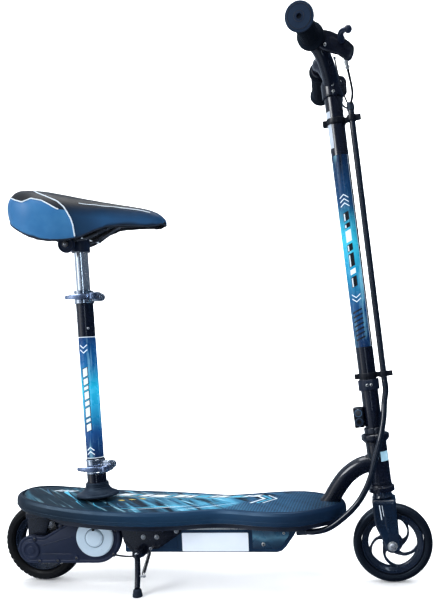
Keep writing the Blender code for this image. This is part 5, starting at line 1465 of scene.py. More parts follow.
# =====================================================================================
# Main frame
# =====================================================================================
def make_frame():
    parts = []
    neck = spline(NECK, 64)
    last = neck[-1]
    tangent = (neck[-1] - neck[-2]).normalized()
    neck = neck[:-1] + [last - tangent * 0.002, last]
    parts.append((tube(neck, 0.0160, 44, True, normal=(0, 1, 0)), PAINT))
    head = fillet([(0.0140, 0.0921), (0.0186, 0.0921), (0.0190, 0.0917), (0.0190, 0.0136), (0.0186, 0.0132), (0.0140, 0.0132)],
                  [0, 0.0003, 0.0003, 0.0003, 0.0003, 0], 2)
    parts.append((on_steer(head, 80), PAINT))
    for s in (0.0165, 0.0890):
        band = fillet([(0.0189, s + 0.0024), (0.0194, s + 0.0022), (0.0194, s - 0.0022), (0.0189, s - 0.0024)], [0, 0.0004, 0.0004, 0], 3)
        parts.append((on_steer(band, 80), PAINT))
    # weld bead where the neck meets the head tube
    axis_o, axis_d = STEER @ Vector((0, 0, 0)), (STEER.to_3x3() @ Vector((0, 0, 1))).normalized()
    u = Vector((0, 1, 0))
    w = tangent.cross(u).normalized()
    curve, radii = [], []
    count = 90
    for k in range(count):
        a = math.tau * k / count
        o = last - tangent * 0.05 + (u * math.cos(a) + w * math.sin(a)) * 0.0160
        dd = tangent - axis_d * tangent.dot(axis_d)
        oo = (o - axis_o) - axis_d * (o - axis_o).dot(axis_d)
        A, B, C = dd.dot(dd), 2 * dd.dot(oo), oo.dot(oo) - 0.0190 ** 2
        disc = max(0.0, B * B - 4 * A * C)
        t = (-B - math.sqrt(disc)) / (2 * A)
        curve.append(o + tangent * t)
        radii.append(0.0017 * (1 + 0.13 * math.sin(a * 24)))
    parts.append((tube(curve, 0, 10, False, True, radii=radii), PAINT))
    # side rails, the rear plates that hold the axle, and the cross members
    for side in (-1, 1):
        parts.append((bevel_box((-0.3500, side * 0.036 - 0.0070, 0.1295), (0.2000, side * 0.036 + 0.0070, 0.1425), 0.0024, 4), PAINT))
        foot = [(-0.3494, REAR_Z)] + circle(REAR_X, REAR_Z, 0.0140, 40, math.pi, math.tau)[1:] + [(-0.3140, 0.1000), (-0.3000, 0.1355), (-0.3494, 0.1355)]
        rad = [0.002] + [0] * 38 + [0.004, 0.006, 0.001, 0.001]
        foot = fillet(foot, rad[:len(foot)] + [0] * max(0, len(foot) - len(rad)), 4, True)
        parts.append((xform(plate([foot, circle(REAR_X, REAR_Z, 0.0054, 32)], 0.0020, 0.0006, 2), at(0, side * 0.035, 0)), PAINT))
    parts.append((bevel_box((0.1880, -0.0450, 0.1245), (0.2160, 0.0450, 0.1427), 0.0030, 4), PAINT))
    parts.append((bevel_box((-0.0100, -0.0355, 0.1305), (0.0100, 0.0355, 0.1419), 0.0020, 3), PAINT))
    parts.append((bevel_box((-0.2600, -0.0355, 0.1303), (-0.1820, 0.0355, 0.1421), 0.0020, 3), PAINT))
    # bead round the foot of the neck
    ringpts, radii = [], []
    base = neck[10]
    t0 = (neck[11] - neck[9]).normalized()
    for k in range(64):
        a = math.tau * k / 64
        uu = Vector((0, 1, 0))
        ww = t0.cross(uu)
        ringpts.append(base + (uu * math.cos(a) + ww * math.sin(a)) * 0.0160)
        radii.append(0.0014 * (1 + 0.12 * math.sin(a * 20)))
    parts.append((tube(ringpts, 0, 8, False, True, radii=radii), PAINT))
    piece("main_frame", "chassis", parts, ["main_frame"], 40)


make_frame()


# =====================================================================================
# Battery box
# =====================================================================================
BOX_LINE = [(-0.1515, 0.0677), (0.1345, 0.0677), (0.1430, 0.0705), (0.1500, 0.0770), (0.1660, 0.0985), (0.1700, 0.1060), (0.1700, 0.1275), (-0.1515, 0.1275)]


def near_screw(x, y, z, r, h, mat=ZINC, slotmat=None):
    """A pan head screw on a near-side face."""
    head, bars = cross_screw(r, h)
    m = at(x, y, z) @ ALONG_Y
    return [(xform(head, m), mat), (xform(bars, m), slotmat or RECESS_SHADE)]


def far_screw(x, y, z, r, h, mat=ZINC, slotmat=None):
    head, bars = cross_screw(r, h)
    m = at(x, y, z) @ Matrix.Rotation(-math.pi / 2, 4, "X")
    return [(xform(head, m), mat), (xform(bars, m), slotmat or RECESS_SHADE)]


BOX_SKIN = moulded("box_shell", (0.0055, 0.0200, 0.0520), (0.0085, 0.0300, 0.0720), 0.36, 1000.0, 0.00010, 0.35, tint=(0.55, 0.8, 1.0))


def box_front():
    # painted sheen: a lighter cyan band across the middle height of the nose fields, darker above and below
    k = Mat("box_front_painted_sheen", (0.02, 0.07, 0.12), 0.26, spec=0.5)
    sep = k.node("ShaderNodeSeparateXYZ")
    k.l.new(k.coords(), sep.inputs[0])
    up = k.math("ADD", k.map(sep.outputs[2], 0.074, 0.112, 0.0, 1.0), k.math("MULTIPLY", k.math("SUBTRACT", k.noise(45.0, 3.0), 0.5), 0.45))
    col = k.ramp(up, [(0.0, (0.0060, 0.0240, 0.0560)), (0.35, (0.0150, 0.0560, 0.1050)), (0.58, (0.0620, 0.1700, 0.2500)), (0.75, (0.0240, 0.0820, 0.1450)), (1.0, (0.0080, 0.0300, 0.0650))])
    k.colour(col)
    k.rough_vary(50.0, 0.22, 0.34)
    k.bump(k.noise(900.0, 3.0), 0.00006, 0.25)
    return k.m


BOX_FRONT_SHEEN = box_front()


def make_box():
    outline = fillet(BOX_LINE, [0.0035, 0.008, 0.006, 0.010, 0.008, 0.003, 0.0012, 0.0012], 5, True)
    body = plate([outline], 0.0500, 0.0026, 4)
    parts = [(body, BOX_SKIN)]
    # shallow raised field on each side, closed by a soft step
    field = fillet([(-0.1420, 0.0745), (-0.0500, 0.0745), (-0.0500, 0.1120), (-0.1420, 0.1120)], 0.004, 5, True)
    nose = fillet([(0.0900, 0.0745), (0.1335, 0.0745), (0.1430, 0.0800), (0.1570, 0.0990), (0.1590, 0.1080), (0.0900, 0.1120)], [0.004, 0.006, 0.008, 0.006, 0.004, 0.004], 5, True)
    for side in (-1, 1):
        for line in (field, nose):
            # the nose fields carry the painted sheen, the rear fields the plain shell colour
            parts.append((xform(plate([line], 0.0007, 0.00045, 2), at(0, side * 0.0502, 0)), BOX_SKIN if line is field else BOX_FRONT_SHEEN))
    # ribs across the underside
    for x in (-0.125, -0.095, -0.065, -0.035, -0.005, 0.025, 0.055, 0.085, 0.115):
        parts.append((bevel_box((x - 0.0011, -0.0420, 0.0671), (x + 0.0011, 0.0420, 0.0682), 0.0004, 2), BOX_SKIN))
    # steel edge strip that clamps the box to the rails
    for side in (-1, 1):
        lo, hi = sorted((side * 0.0499, side * 0.0512))
        parts.append((bevel_box((-0.0380, lo, 0.1098), (0.1640, hi, 0.1136), 0.0005, 2), ZINC))
    piece("battery_box", "chassis", parts, ["battery_box"], 34)
    # bolts and a plain pale plate
    bits = []
    for x, z, r in ((0.1100, 0.0830, 0.0036), (0.1480, 0.1030, 0.0026), (-0.1440, 0.0790, 0.0026)):
        bits += near_screw(x, -0.0506, z, r, r * 0.55)
        bits += far_screw(x, 0.0506, z, r, r * 0.55)
    piece("battery_box_screws", "chassis", bits, [], 30)
    tag = fillet([(-0.0415, 0.0697), (0.0825, 0.0697), (0.0825, 0.1040), (-0.0415, 0.1040)], 0.0022, 4, True)
    piece("box_plate", "chassis", [(xform(plate([tag], 0.00018, 0.00006, 1), at(0, -0.05005, 0)), LABEL)], [], 30)


make_box()


# =====================================================================================
# Rear drive
# =====================================================================================
def cover_line(r_front, r_rear, top, nf=56, nr=44):
    fc, rc = MOTOR, (-0.3385, 0.0725)
    cap_a = math.asin((top - fc[1]) / r_front)
    pts, rad = [], []
    for k in range(nf):
        a = cap_a - (cap_a + math.pi / 2 + 0.02) * k / (nf - 1)
        pts.append((fc[0] + r_front * math.cos(a), fc[1] + r_front * math.sin(a)))
        rad.append(0.0)
    for k in range(nr):
        a = -math.pi / 2 - 0.02 - (math.pi + 0.30) * k / (nr - 1)
        pts.append((rc[0] + r_rear * math.cos(a), rc[1] + r_rear * math.sin(a)))
        rad.append(0.0)
    pts += [(-0.3120, 0.0960 - (0.026 - r_rear)), (-0.2600, top - 0.0015), (fc[0] - r_front * math.cos(cap_a), top)]
    rad += [0.012, 0.020, 0.010]
    return fillet(pts, rad, 6, True)


def cover_at(inset, y, top=0.1262):
    return [(x, y, z) for x, z in cover_line(0.0490 - inset, 0.0262 - inset, top - inset)]


def make_cover():
    rings = [cover_at(0.0020, -0.0484), cover_at(0.0018, -0.0386), cover_at(0.0016, -0.0382), cover_at(0.0004, -0.0382), cover_at(0.0, -0.0386),
             cover_at(0.0, -0.0484), cover_at(0.0003, -0.0492), cover_at(0.0009, -0.0499), cover_at(0.0018, -0.0502), cover_at(0.0050, -0.0502),
             cover_at(0.0054, -0.0500), cover_at(0.0058, -0.0497), cover_at(0.0064, -0.0497), cover_at(0.0068, -0.0500), cover_at(0.0072, -0.0502)]
    parts = [(loft(rings), NAVY)]
    # rear boss with its ring
    boss = fillet([(0, 0.0022), (0.0066, 0.0022), (0.0074, 0.0014), (0.0120, 0.0014), (0.0128, 0.0024), (0.0160, 0.0024), (0.0172, 0.0012), (0.0178, -0.0006), (0, -0.0006)],
                  [0, 0.0004, 0.0004, 0.0004, 0.0005, 0.0007, 0.0007, 0, 0], 3)
    parts.append((xform(turn_y(lathe(boss, 72), -1), at(-0.3379, -0.0500, 0.0712)), NAVY))
    # web between the lobes
    for (xa, za), (xb, zb) in (((-0.3165, 0.0800), (-0.2565, 0.0965)), ((-0.3165, 0.0640), (-0.2570, 0.0640))):
        line = [(xa, -0.0501, za), (xb, -0.0501, zb)]
        parts.append((tube([tuple(q) for q in (Vector(line[0]).lerp(Vector(line[1]), t / 10) for t in range(11))], 0.0010, 10, True, dome=0.001), NAVY))
    spots = [(-0.3221, 0.0505), (-0.2859, 0.0510), (-0.2480, 0.0565), (-0.1745, 0.0640), (-0.3300, 0.0925), (-0.2769, 0.1175), (-0.1680, 0.1080)]
    bits = []
    for x, z in spots:
        ring = fillet([(0.0028, 0.0002), (0.0030, 0.0011), (0.0044, 0.0011), (0.0050, -0.0004)], [0, 0.0002, 0.0005, 0], 3) + [(0.0028, -0.0004)]
        parts.append((xform(turn_y(lathe(ring, 36, closed=True), -1), at(x, -0.0502, z)), NAVY))
        bits += near_screw(x, -0.0500, z, 0.0026, 0.0014, DARK_STEEL)
    piece("drive_cover", "chassis", parts, ["drive_cover"], 34)
    piece("cover_screws", "chassis", bits, [], 30)
    cap = fillet([(0, 0.0074), (0.0070, 0.0074), (0.0140, 0.0070), (0.0162, 0.0056), (0.0168, 0.0034), (0.0178, 0.0030), (0.0190, 0.0040), (0.0338, 0.0046), (0.0357, 0.0032), (0.0362, 0.0)],
                 [0, 0, 0.0016, 0.0010, 0.0003, 0.0003, 0.0006, 0.0016, 0.0010, 0], 4) + [(0, 0)]
    cap_parts = [(xform(turn_y(lathe(cap, 128), -1), at(MOTOR[0], -0.0505, MOTOR[1])), SILVER_CAP)]
    ring = [(0.0173 + 0.0008 * math.cos(t), 0.0031 + 0.0003 * math.sin(t)) for t in np.linspace(0, math.tau, 10, endpoint=False)]
    cap_parts.append((xform(turn_y(lathe(ring, 128, closed=True), -1), at(MOTOR[0], -0.0505, MOTOR[1])), CAP_SHADE))
    # a thumb notch and two small index marks, plain
    # the notch is a dark box on the face: painted shade where a notch would be
    notch = bevel_box((-0.0022, 0.0140, 0.0052), (0.0022, 0.0178, 0.0074), 0.0005, 2)
    cap_parts.append((xform(turn_y(notch, -1), at(MOTOR[0], -0.0505, MOTOR[1])), RECESS_SHADE))
    for a in (math.radians(210), math.radians(330)):
        tick = bevel_box((-0.0010, 0.0240, 0.0043), (0.0010, 0.0290, 0.0049), 0.0003, 2)
        cap_parts.append((xform(turn_y(xform(tick, Matrix.Rotation(a, 4, "Z")), -1), at(MOTOR[0], -0.0505, MOTOR[1])), SILVER_CAP))
    piece("cover_cap", "chassis", cap_parts, ["cover_cap"], 34)


SILVER_CAP = moulded("cap_plastic", (0.400, 0.500, 0.590), (0.440, 0.540, 0.630), 0.42, 1300.0, 0.00008, 0.3)
CAP_SHADE = moulded("cap_groove", (0.110, 0.150, 0.190), (0.130, 0.170, 0.215), 0.50, 1300.0, 0.00008, 0.3)
make_cover()


def make_motor():
    y0, y1 = -0.0120, 0.0580
    can = fillet([(0, y1), (0.0300, y1), (0.0310, y1 - 0.0012), (0.0310, y1 - 0.0060), (0.0305, y1 - 0.0066), (0.0310, y1 - 0.0072), (0.0310, y0 + 0.0090), (0.0305, y0 + 0.0084),
                  (0.0310, y0 + 0.0078), (0.0310, y0 + 0.0012), (0.0300, y0), (0, y0)], [0, 0.0004, 0.0005, 0, 0, 0, 0, 0, 0, 0.0005, 0.0004, 0], 2)
    m = at(MOTOR[0], 0, MOTOR[1]) @ Matrix.Rotation(-math.pi / 2, 4, "X")
    parts = [(xform(lathe(can, 96), m), MOTOR_CAN)]
    bell = fillet([(0.0, 0.0630), (0.0072, 0.0630), (0.0080, 0.0620), (0.0084, 0.0606), (0.0235, 0.0606), (0.0258, 0.0596), (0.0262, 0.0578), (0, 0.0578)],
                  [0, 0.0004, 0.0004, 0.0006, 0.0010, 0.0008, 0, 0], 3)
    parts.append((xform(lathe(bell, 80), m), DARK_STEEL))
    for k in range(2):
        a = math.radians(20 + 180 * k)
        h, b = cross_screw(0.0026, 0.0014)
        mm = m @ at(0.0190 * math.cos(a), 0.0190 * math.sin(a), 0.0604)
        parts += [(xform(h, mm), ZINC), (xform(b, mm), RECESS_SHADE)]
    # six dark bars on the bell: painted shade standing for its slots
    for k in range(6):
        a = math.tau * k / 6 + 0.5
        slot_part = bevel_box((-0.0009, 0.0112, 0.0600), (0.0009, 0.0165, 0.0609), 0.0003, 1)
        parts.append((xform(slot_part, m @ Matrix.Rotation(a, 4, "Z")), RECESS_SHADE))
    piece("drive_motor", "chassis", parts, ["drive_motor"], 34)
    # two leads from the motor into the battery box
    lead = spline([(-0.1930, -0.0340, 0.0680), (-0.1800, -0.0395, 0.0620), (-0.1690, -0.0430, 0.0598), (-0.1500, -0.0462, 0.0588), (-0.1330, -0.0470, 0.0598), (-0.1235, -0.0462, 0.0632), (-0.1195, -0.0455, 0.0682)], 40)
    lead2 = spline([(-0.1930, -0.0310, 0.0650), (-0.1800, -0.0365, 0.0600), (-0.1690, -0.0400, 0.0580), (-0.1500, -0.0432, 0.0575), (-0.1330, -0.0440, 0.0590), (-0.1225, -0.0432, 0.0632), (-0.1185, -0.0425, 0.0682)], 40)
    grommet = lathe(fillet([(0.0014, -0.0012), (0.0040, -0.0012), (0.0044, 0.0006), (0.0014, 0.0006)], 0.0004, 3, True), 28, closed=True)
    piece("motor_leads", "chassis", [(tube(lead, 0.0015, 12), WIRE_BLACK), (tube(lead2, 0.0015, 12), WIRE_BLACK), (xform(grommet, at(-0.1190, -0.0440, 0.0675)), RUBBER)], [], 40)


MOTOR_CAN = metal("motor_can", (0.34, 0.35, 0.37), (0.26, 0.27, 0.29), 0.33, 0.3, (1, 1, 1), 240.0)
make_motor()

GEAR = (-0.2360, 0.0840)


def belt_path(r_small, r_big, n=400):
    c0, c1 = Vector(GEAR), Vector((REAR_X, REAR_Z))
    d = c1 - c0
    base = math.atan2(d.y, d.x)
    off = math.acos((r_small - r_big) / d.length)
    pts = []
    for k in range(n):
        a = base + off + (math.tau - 2 * off) * k / n
        pts.append(c0 + Vector((math.cos(a), math.sin(a))) * r_small)
    for k in range(n):
        a = base - off + 2 * off * k / (n - 1)
        pts.append(c1 + Vector((math.cos(a), math.sin(a))) * r_big)
    return pts


def make_chain():
    line = belt_path(0.0117, 0.0237)
    line.append(line[0])
    run = [0.0]
    for a, b in zip(line, line[1:]):
        run.append(run[-1] + (b - a).length)
    count = 2 * round(run[-1] / 0.00635 / 2)
    pins = []
    for k in range(count):
        s = run[-1] * k / count
        j = min(max(int(np.searchsorted(run, s)), 1), len(run) - 1)
        t = (s - run[j - 1]) / max(run[j] - run[j - 1], 1e-9)
        pins.append(line[j - 1].lerp(line[j], t))
    parts = []
    roller = lathe([(0, 0.0014), (0.0016, 0.0014), (0.0016, -0.0014), (0, -0.0014)], 12)
    for k, p in enumerate(pins):
        q = pins[(k + 1) % count]
        parts.append((xform(turn_y(roller), at(p.x, -0.0216, p.y)), STEEL))
        d = q - p
        ang = math.atan2(d.y, d.x)
        r = 0.0015
        outline = [(r * math.cos(math.pi / 2 + math.pi * i / 6), r * math.sin(math.pi / 2 + math.pi * i / 6)) for i in range(7)]
        outline += [(d.length + r * math.cos(-math.pi / 2 + math.pi * i / 6), r * math.sin(-math.pi / 2 + math.pi * i / 6)) for i in range(7)]
        lo = 0.0008 if k % 2 else 0.0015
        for side in (-1, 1):
            rows = []
            for h in (lo, lo + 0.0006):
                rows.append([(p.x + x * math.cos(ang) - z * math.sin(ang), -0.0216 + side * h, p.y + x * math.sin(ang) + z * math.cos(ang)) for x, z in outline])
            parts.append((loft(rows), DARK_STEEL))
    piece("drive_chain", "chassis", parts, ["drive_chain"], 40)


make_chain()


def make_brake():
    m = at(REAR_X, 0, REAR_Z) @ Matrix.Rotation(-math.pi / 2, 4, "X")
    cup = fillet([(0.0054, 0.0325), (0.0120, 0.0325), (0.0128, 0.0318), (0.0170, 0.0318), (0.0178, 0.0327), (0.0350, 0.0327), (0.0380, 0.0318), (0.0386, 0.0296), (0.0385, 0.0200),
                  (0.0364, 0.0200), (0.0364, 0.0296), (0.0350, 0.0308), (0.0054, 0.0308)], [0, 0.0004, 0.0004, 0.0004, 0.0005, 0.0016, 0.0012, 0.0010, 0.0003, 0.0003, 0.0008, 0.0008, 0], 3)
    parts = [(xform(lathe(cup, 96, closed=True), m), SATIN)]
    for k in range(6):
        a = math.tau * k / 6 + 0.2
        rib = bevel_box((0.0190, -0.0010, 0.0322), (0.0335, 0.0010, 0.0334), 0.0005, 2)
        parts.append((xform(rib, m @ Matrix.Rotation(a, 4, "Z")), SATIN))
    # torque tab that holds the cup to the frame plate
    parts.append((bevel_box((-0.3120, 0.0318, 0.1010), (-0.3020, 0.0336, 0.1290), 0.0007, 2), SATIN))
    bolt = xform(hex_head(0.0075, 0.0028), at(-0.3070, 0.0336, 0.1240) @ Matrix.Rotation(-math.pi / 2, 4, "X"))
    parts.append((bolt, ZINC))
    piece("brake_band_cup", "chassis", parts, ["brake_band_cup"], 34)
    # arm
    line = [(0.0070 * math.cos(a), 0.0070 * math.sin(a)) for a in np.linspace(math.pi * 0.62, math.pi * 1.75, 24)] + [(0.0250, -0.0240), (0.0290, -0.0200), (0.0255, -0.0150)]
    line = fillet(line, [0] * 24 + [0.0025, 0.0025, 0.0025], 4, True)
    arm = plate([line, circle(0, 0, 0.0022, 20)], 0.0015, 0.0004, 2)
    arm_parts = [(xform(arm, at(-0.3050, 0.0395, 0.1180)), ZINC)]
    pin = turn_y(cylinder(0.0035, 0.0070, 28, 0.0006), 1)
    arm_parts.append((xform(pin, at(-0.3050, 0.0408, 0.1180)), STEEL))
    clamp_nut = xform(hex_head(0.0062, 0.0026), at(-0.2785, 0.0410, 0.0985) @ Matrix.Rotation(-math.pi / 2, 4, "X"))
    arm_parts.append((clamp_nut, ZINC))
    piece("brake_arm", "band_arm", arm_parts, ["brake_arm"], 34)
    # cable with a ferrule at the box and an adjuster at its end
    pts = spline([(-0.1530, 0.0440, 0.1060), (-0.1620, 0.0490, 0.1072), (-0.1780, 0.0640, 0.1100), (-0.2090, 0.0690, 0.1130), (-0.2400, 0.0670, 0.1090), (-0.2600, 0.0540, 0.1010), (-0.2735, 0.0430, 0.0985)], 90)
    cable_parts = [(tube(pts, 0.0021, 16), WIRE_BLACK), (tube(pts[76:84], 0.0031, 20), ZINC), (tube(pts[81:87], 0.0037, 6), ZINC)]
    piece("brake_cable_rear", None, cable_parts, ["brake_cable_rear"], 40,
          blend=("chassis", "band_arm", (-0.2450, 0.0640, 0.1070), (-0.2735, 0.0430, 0.0985)))
    collar = [(tube(pts[0:5], 0.0034, 20), RUBBER)]
    piece("rear_cable_boot", "chassis", collar, [], 40)


make_brake()


# =====================================================================================
# Seat post
# =====================================================================================
def on_post(profile, seg=72, s=0.0, closed=True, shape=None):
    return xform(lathe(profile, seg, closed, shape), POST @ at(0, 0, s))


def make_socket():
    prof = fillet([(0.0163, 0.0075), (0.0176, 0.0075), (0.0180, 0.0071), (0.0180, -0.0530), (0.0163, -0.0530)], [0, 0.0003, 0.0003, 0, 0], 2)
    parts = [(on_post(prof), PAINT), (bevel_box((-0.2600, -0.0430, 0.1428), (-0.1830, 0.0430, 0.1468), 0.0012, 2), PAINT)]
    piece("seat_socket", "chassis", parts, ["seat_socket"], 34)
    prof = fillet([(0.0183, -0.0086), (0.0206, -0.0090), (0.0216, -0.0116), (0.0219, -0.0160), (0.0232, -0.0196), (0.0262, -0.0232), (0.0318, -0.0272), (0.0376, -0.0296), (0.0396, -0.0318),
                   (0.0399, -0.0345), (0.0183, -0.0345)], [0, 0.0010, 0.002, 0.003, 0.004, 0.006, 0.008, 0.003, 0.0012, 0.0005, 0], 4)

    def folds(r, z, a, j):
        if -0.0205 < z < -0.0095 and r > 0.0200:
            return r + 0.00045 * math.sin((z + 0.0095) * math.tau / 0.0036), z
        return r, z

    dense = []
    for a, b in zip(prof, prof[1:]):
        n = max(1, int(math.dist(a, b) / 0.0006))
        for k in range(n):
            t = k / n
            dense.append((a[0] * (1 - t) + b[0] * t, a[1] * (1 - t) + b[1] * t))
    dense.append(prof[-1])
    piece("seat_socket_boot", "chassis", [(on_post(dense, 96, 0, True, folds), BOOT)], ["seat_socket_boot"], 50)


BOOT = moulded("boot_rubber", (0.0085, 0.0150, 0.0280), (0.0130, 0.0210, 0.0380), 0.42, 1200.0, 0.00012, 0.35, tint=(0.6, 0.8, 1.0))
make_socket()


BAND_CHROME = metal("clamp_chrome", (0.66, 0.70, 0.76), (0.46, 0.51, 0.58), 0.10, 0.06, (1, 1, 1), 160.0, 0.94)
LEVER_STEEL = metal("lever_steel", (0.34, 0.41, 0.56), (0.24, 0.30, 0.43), 0.20, 0.05, (1, 1, 1), 160.0, 0.92)
SPRING_WIRE = metal("spring_wire", (0.110, 0.115, 0.125), (0.070, 0.075, 0.085), 0.34, 0.3, (1, 1, 1), 300.0)


def make_post_clamp(name, low, high, body):
    inner, outer = SEAT_TUBE_R + GAP, 0.0182
    mid, h = (low + high) / 2, (high - low) * 0.36
    # the band is a strip that ends in two ears, bent round in one piece
    rows = []
    gap = 0.0013
    a0 = math.asin(gap / inner)
    steps = 72
    edge = 0.0005
    section = [(inner, low), (inner, high), (outer - edge, high), (outer - 0.0001, high - edge), (outer - 0.0001, high - 0.0030), (outer - 0.0006, high - 0.0036), (outer - 0.0006, low + 0.0036),
               (outer - 0.0001, low + 0.0030), (outer - 0.0001, low + edge), (outer - edge, low)]
    for k in range(steps + 1):
        a = a0 + (math.tau - 2 * a0) * k / steps
        rows.append([(r * math.cos(a), r * math.sin(a), z) for r, z in section])
    parts = [(xform(loft(rows), POST), BAND_CHROME)]
    for side in (-1, 1):
        ear = fillet([(outer - 0.0022, mid - h), (outer + 0.0125, mid - h), (outer + 0.0163, mid - h * 0.35), (outer + 0.0163, mid + h * 0.35), (outer + 0.0125, mid + h), (outer - 0.0022, mid + h)],
                     [0, 0.0030, 0.0030, 0.0030, 0.0030, 0], 4, True)
        e = plate([ear], 0.0026, 0.0007, 3)
        parts.append((xform(e, POST @ at(0, side * 0.0043, 0)), BAND_CHROME))
        root = [(outer - 0.0014, side * 0.0062, mid - h + 0.0010), (outer - 0.0014, side * 0.0062, mid + h - 0.0010)]
        parts.append((xform(tube(root, 0.0019, 12, True), POST), BAND_CHROME))
    bx = outer + 0.0085
    rod = xform(turn_y(cylinder(0.0030, 0.0300, 28, 0.0004)), POST @ at(bx, 0.0040, mid))
    parts.append((rod, STEEL))
    washer = xform(turn_y(cylinder(0.0062, 0.0012, 36, 0.0003), 1), POST @ at(bx, 0.0076, mid))
    parts.append((washer, ZINC))
    # knurled nut on the far side
    seg = 72

    def knurl(r, z, a, j):
        if r > 0.0070:
            return r - 0.0004 * (int(round(a / math.tau * seg)) % 4 == 0), z
        return r, z

    knob = lathe(fillet([(0, 0.0035), (0.0050, 0.0035), (0.0075, 0.0026), (0.0075, -0.0026), (0.0060, -0.0035), (0, -0.0035)], [0, 0.0008, 0.0008, 0.0008, 0.0006, 0], 3), seg, shape=knurl)
    parts.append((xform(turn_y(knob, 1), POST @ at(bx, 0.0165, mid)), BAND_CHROME))
    piece(name, body, parts, [name], 34)


def make_clamp_lever(name, s, body):
    cx = 0.0182 + 0.0085
    path = [(cx - 0.0020, -0.0215), (cx - 0.0120, -0.0250), (cx - 0.0260, -0.0262), (cx - 0.0400, -0.0245), (cx - 0.0560, -0.0185)]
    line = spline([(x, y, 0) for x, y in path], 40)
    rings = []
    n = len(line)
    for i, p in enumerate(line):
        d = (line[min(i + 1, n - 1)] - line[max(i - 1, 0)]).normalized()
        nn = Vector((-d.y, d.x, 0))
        f = i / (n - 1)
        w = 0.0014 + 0.0010 * math.sin(math.pi * f)
        hh = 0.0046 * (0.80 + 0.32 * math.sin(math.pi * min(1, f * 1.15)))
        if i >= n - 4:
            q = (i - (n - 4)) / 4.0
            hh *= math.sqrt(max(0.02, 1 - q * q))
            w *= math.sqrt(max(0.05, 1 - q * q))
        ring = []
        for a in np.linspace(0, math.tau, 20, endpoint=False):
            ca, sa = math.cos(a), math.sin(a)
            ex = 0.55
            u = math.copysign(abs(ca) ** ex, ca) * w
            v = math.copysign(abs(sa) ** ex, sa) * hh
            ring.append(tuple(p + nn * u + Vector((0, 0, v))))
        rings.append(ring)
    parts = [(xform(loft(rings), POST @ at(0, 0, s)), LEVER_STEEL)]
    cam = lathe(fillet([(0, 0.0065), (0.0052, 0.0065), (0.0068, 0.0052), (0.0068, -0.0052), (0.0052, -0.0065), (0, -0.0065)], [0, 0.0010, 0.0012, 0.0012, 0.0010, 0], 3), 48)
    parts.append((xform(cam, POST @ at(cx, -0.0195, s)), LEVER_STEEL))
    parts.append((xform(cylinder(0.0018, 0.0150, 20, 0.0003), POST @ at(cx, -0.0195, s)), STEEL))
    piece(name, body, parts, [name], 36)


make_post_clamp("upper_post_clamp", 0.3335, 0.3575, "seat_mast")
make_clamp_lever("upper_clamp_lever", 0.3455, "upper_lever")
make_post_clamp("lower_post_clamp", 0.0080, 0.0360, "chassis")
make_clamp_lever("lower_clamp_lever", 0.0190, "lower_lever")


def wrap(frame_m, radius):
    """Map (u, v) onto a tube: u runs round from the near side towards +X, v along its axis."""
    def f(u, v, h):
        a = -math.pi / 2 + u / radius
        r = radius + h
        return frame_m @ Vector((r * math.cos(a), r * math.sin(a), v))
    return f


def streak_print(name, stops, lo, hi, base_streak=(0.35, 0.75, 0.90), dark_streak=(0.002, 0.006, 0.014), lean=18.0, rough=0.26, strength=1.0):
    """A glossy printed film: colour bands up the tube with slanted streaks across them. lo and hi are heights."""
    k = Mat(name, (0.03, 0.15, 0.3), rough, spec=0.36, coat=0.30, coat_rough=0.06)
    sep = k.node("ShaderNodeSeparateXYZ")
    k.l.new(k.coords(), sep.inputs[0])
    slope = math.tan(math.radians(lean))
    up = k.math("ADD", sep.outputs[2], k.math("MULTIPLY", sep.outputs[0], 1.2))
    up = k.math("ADD", up, k.math("MULTIPLY", sep.outputs[1], 1.6))
    pos = k.map(sep.outputs[2], lo, hi, 0.0, 1.0)
    wob = k.math("MULTIPLY", k.math("SUBTRACT", k.noise(12.0, 2.0), 0.5), 0.10)
    pos = k.math("ADD", pos, wob)
    col = k.ramp(pos, stops)
    vec = k.scaled((60.0, 60.0, 7.0), (math.radians(lean), math.radians(lean), 0))
    s = k.noise(1.0, 4.0, 0.6, vec)
    col = k.mix(k.map(s, 0.58, 0.74, 0.0, 0.55 * strength), col, base_streak)
    col = k.mix(k.map(s, 0.45, 0.33, 0.0, 0.85 * strength), col, dark_streak)
    fine = k.noise(1.0, 2.0, 0.5, k.scaled((210.0, 210.0, 9.0), (math.radians(-lean * 1.5), math.radians(lean), 0)))
    col = k.mix(k.map(fine, 0.64, 0.74, 0.0, 0.35 * strength), col, (0.30, 0.62, 0.78))
    k.colour(col)
    k.rough_vary(60.0, rough * 0.85, rough * 1.3)
    k.bump(k.noise(700.0, 2.0), 0.00003, 0.2)
    return k.m


MAST_PRINT = streak_print("mast_print", [(0.0, (0.0040, 0.0300, 0.1050)), (0.22, (0.0080, 0.0800, 0.2500)), (0.42, (0.0200, 0.3400, 0.5800)), (0.58, (0.0260, 0.4700, 0.7000)),
                                         (0.76, (0.0080, 0.1250, 0.3200)), (1.0, (0.0050, 0.0420, 0.1500))], 0.237, 0.471)


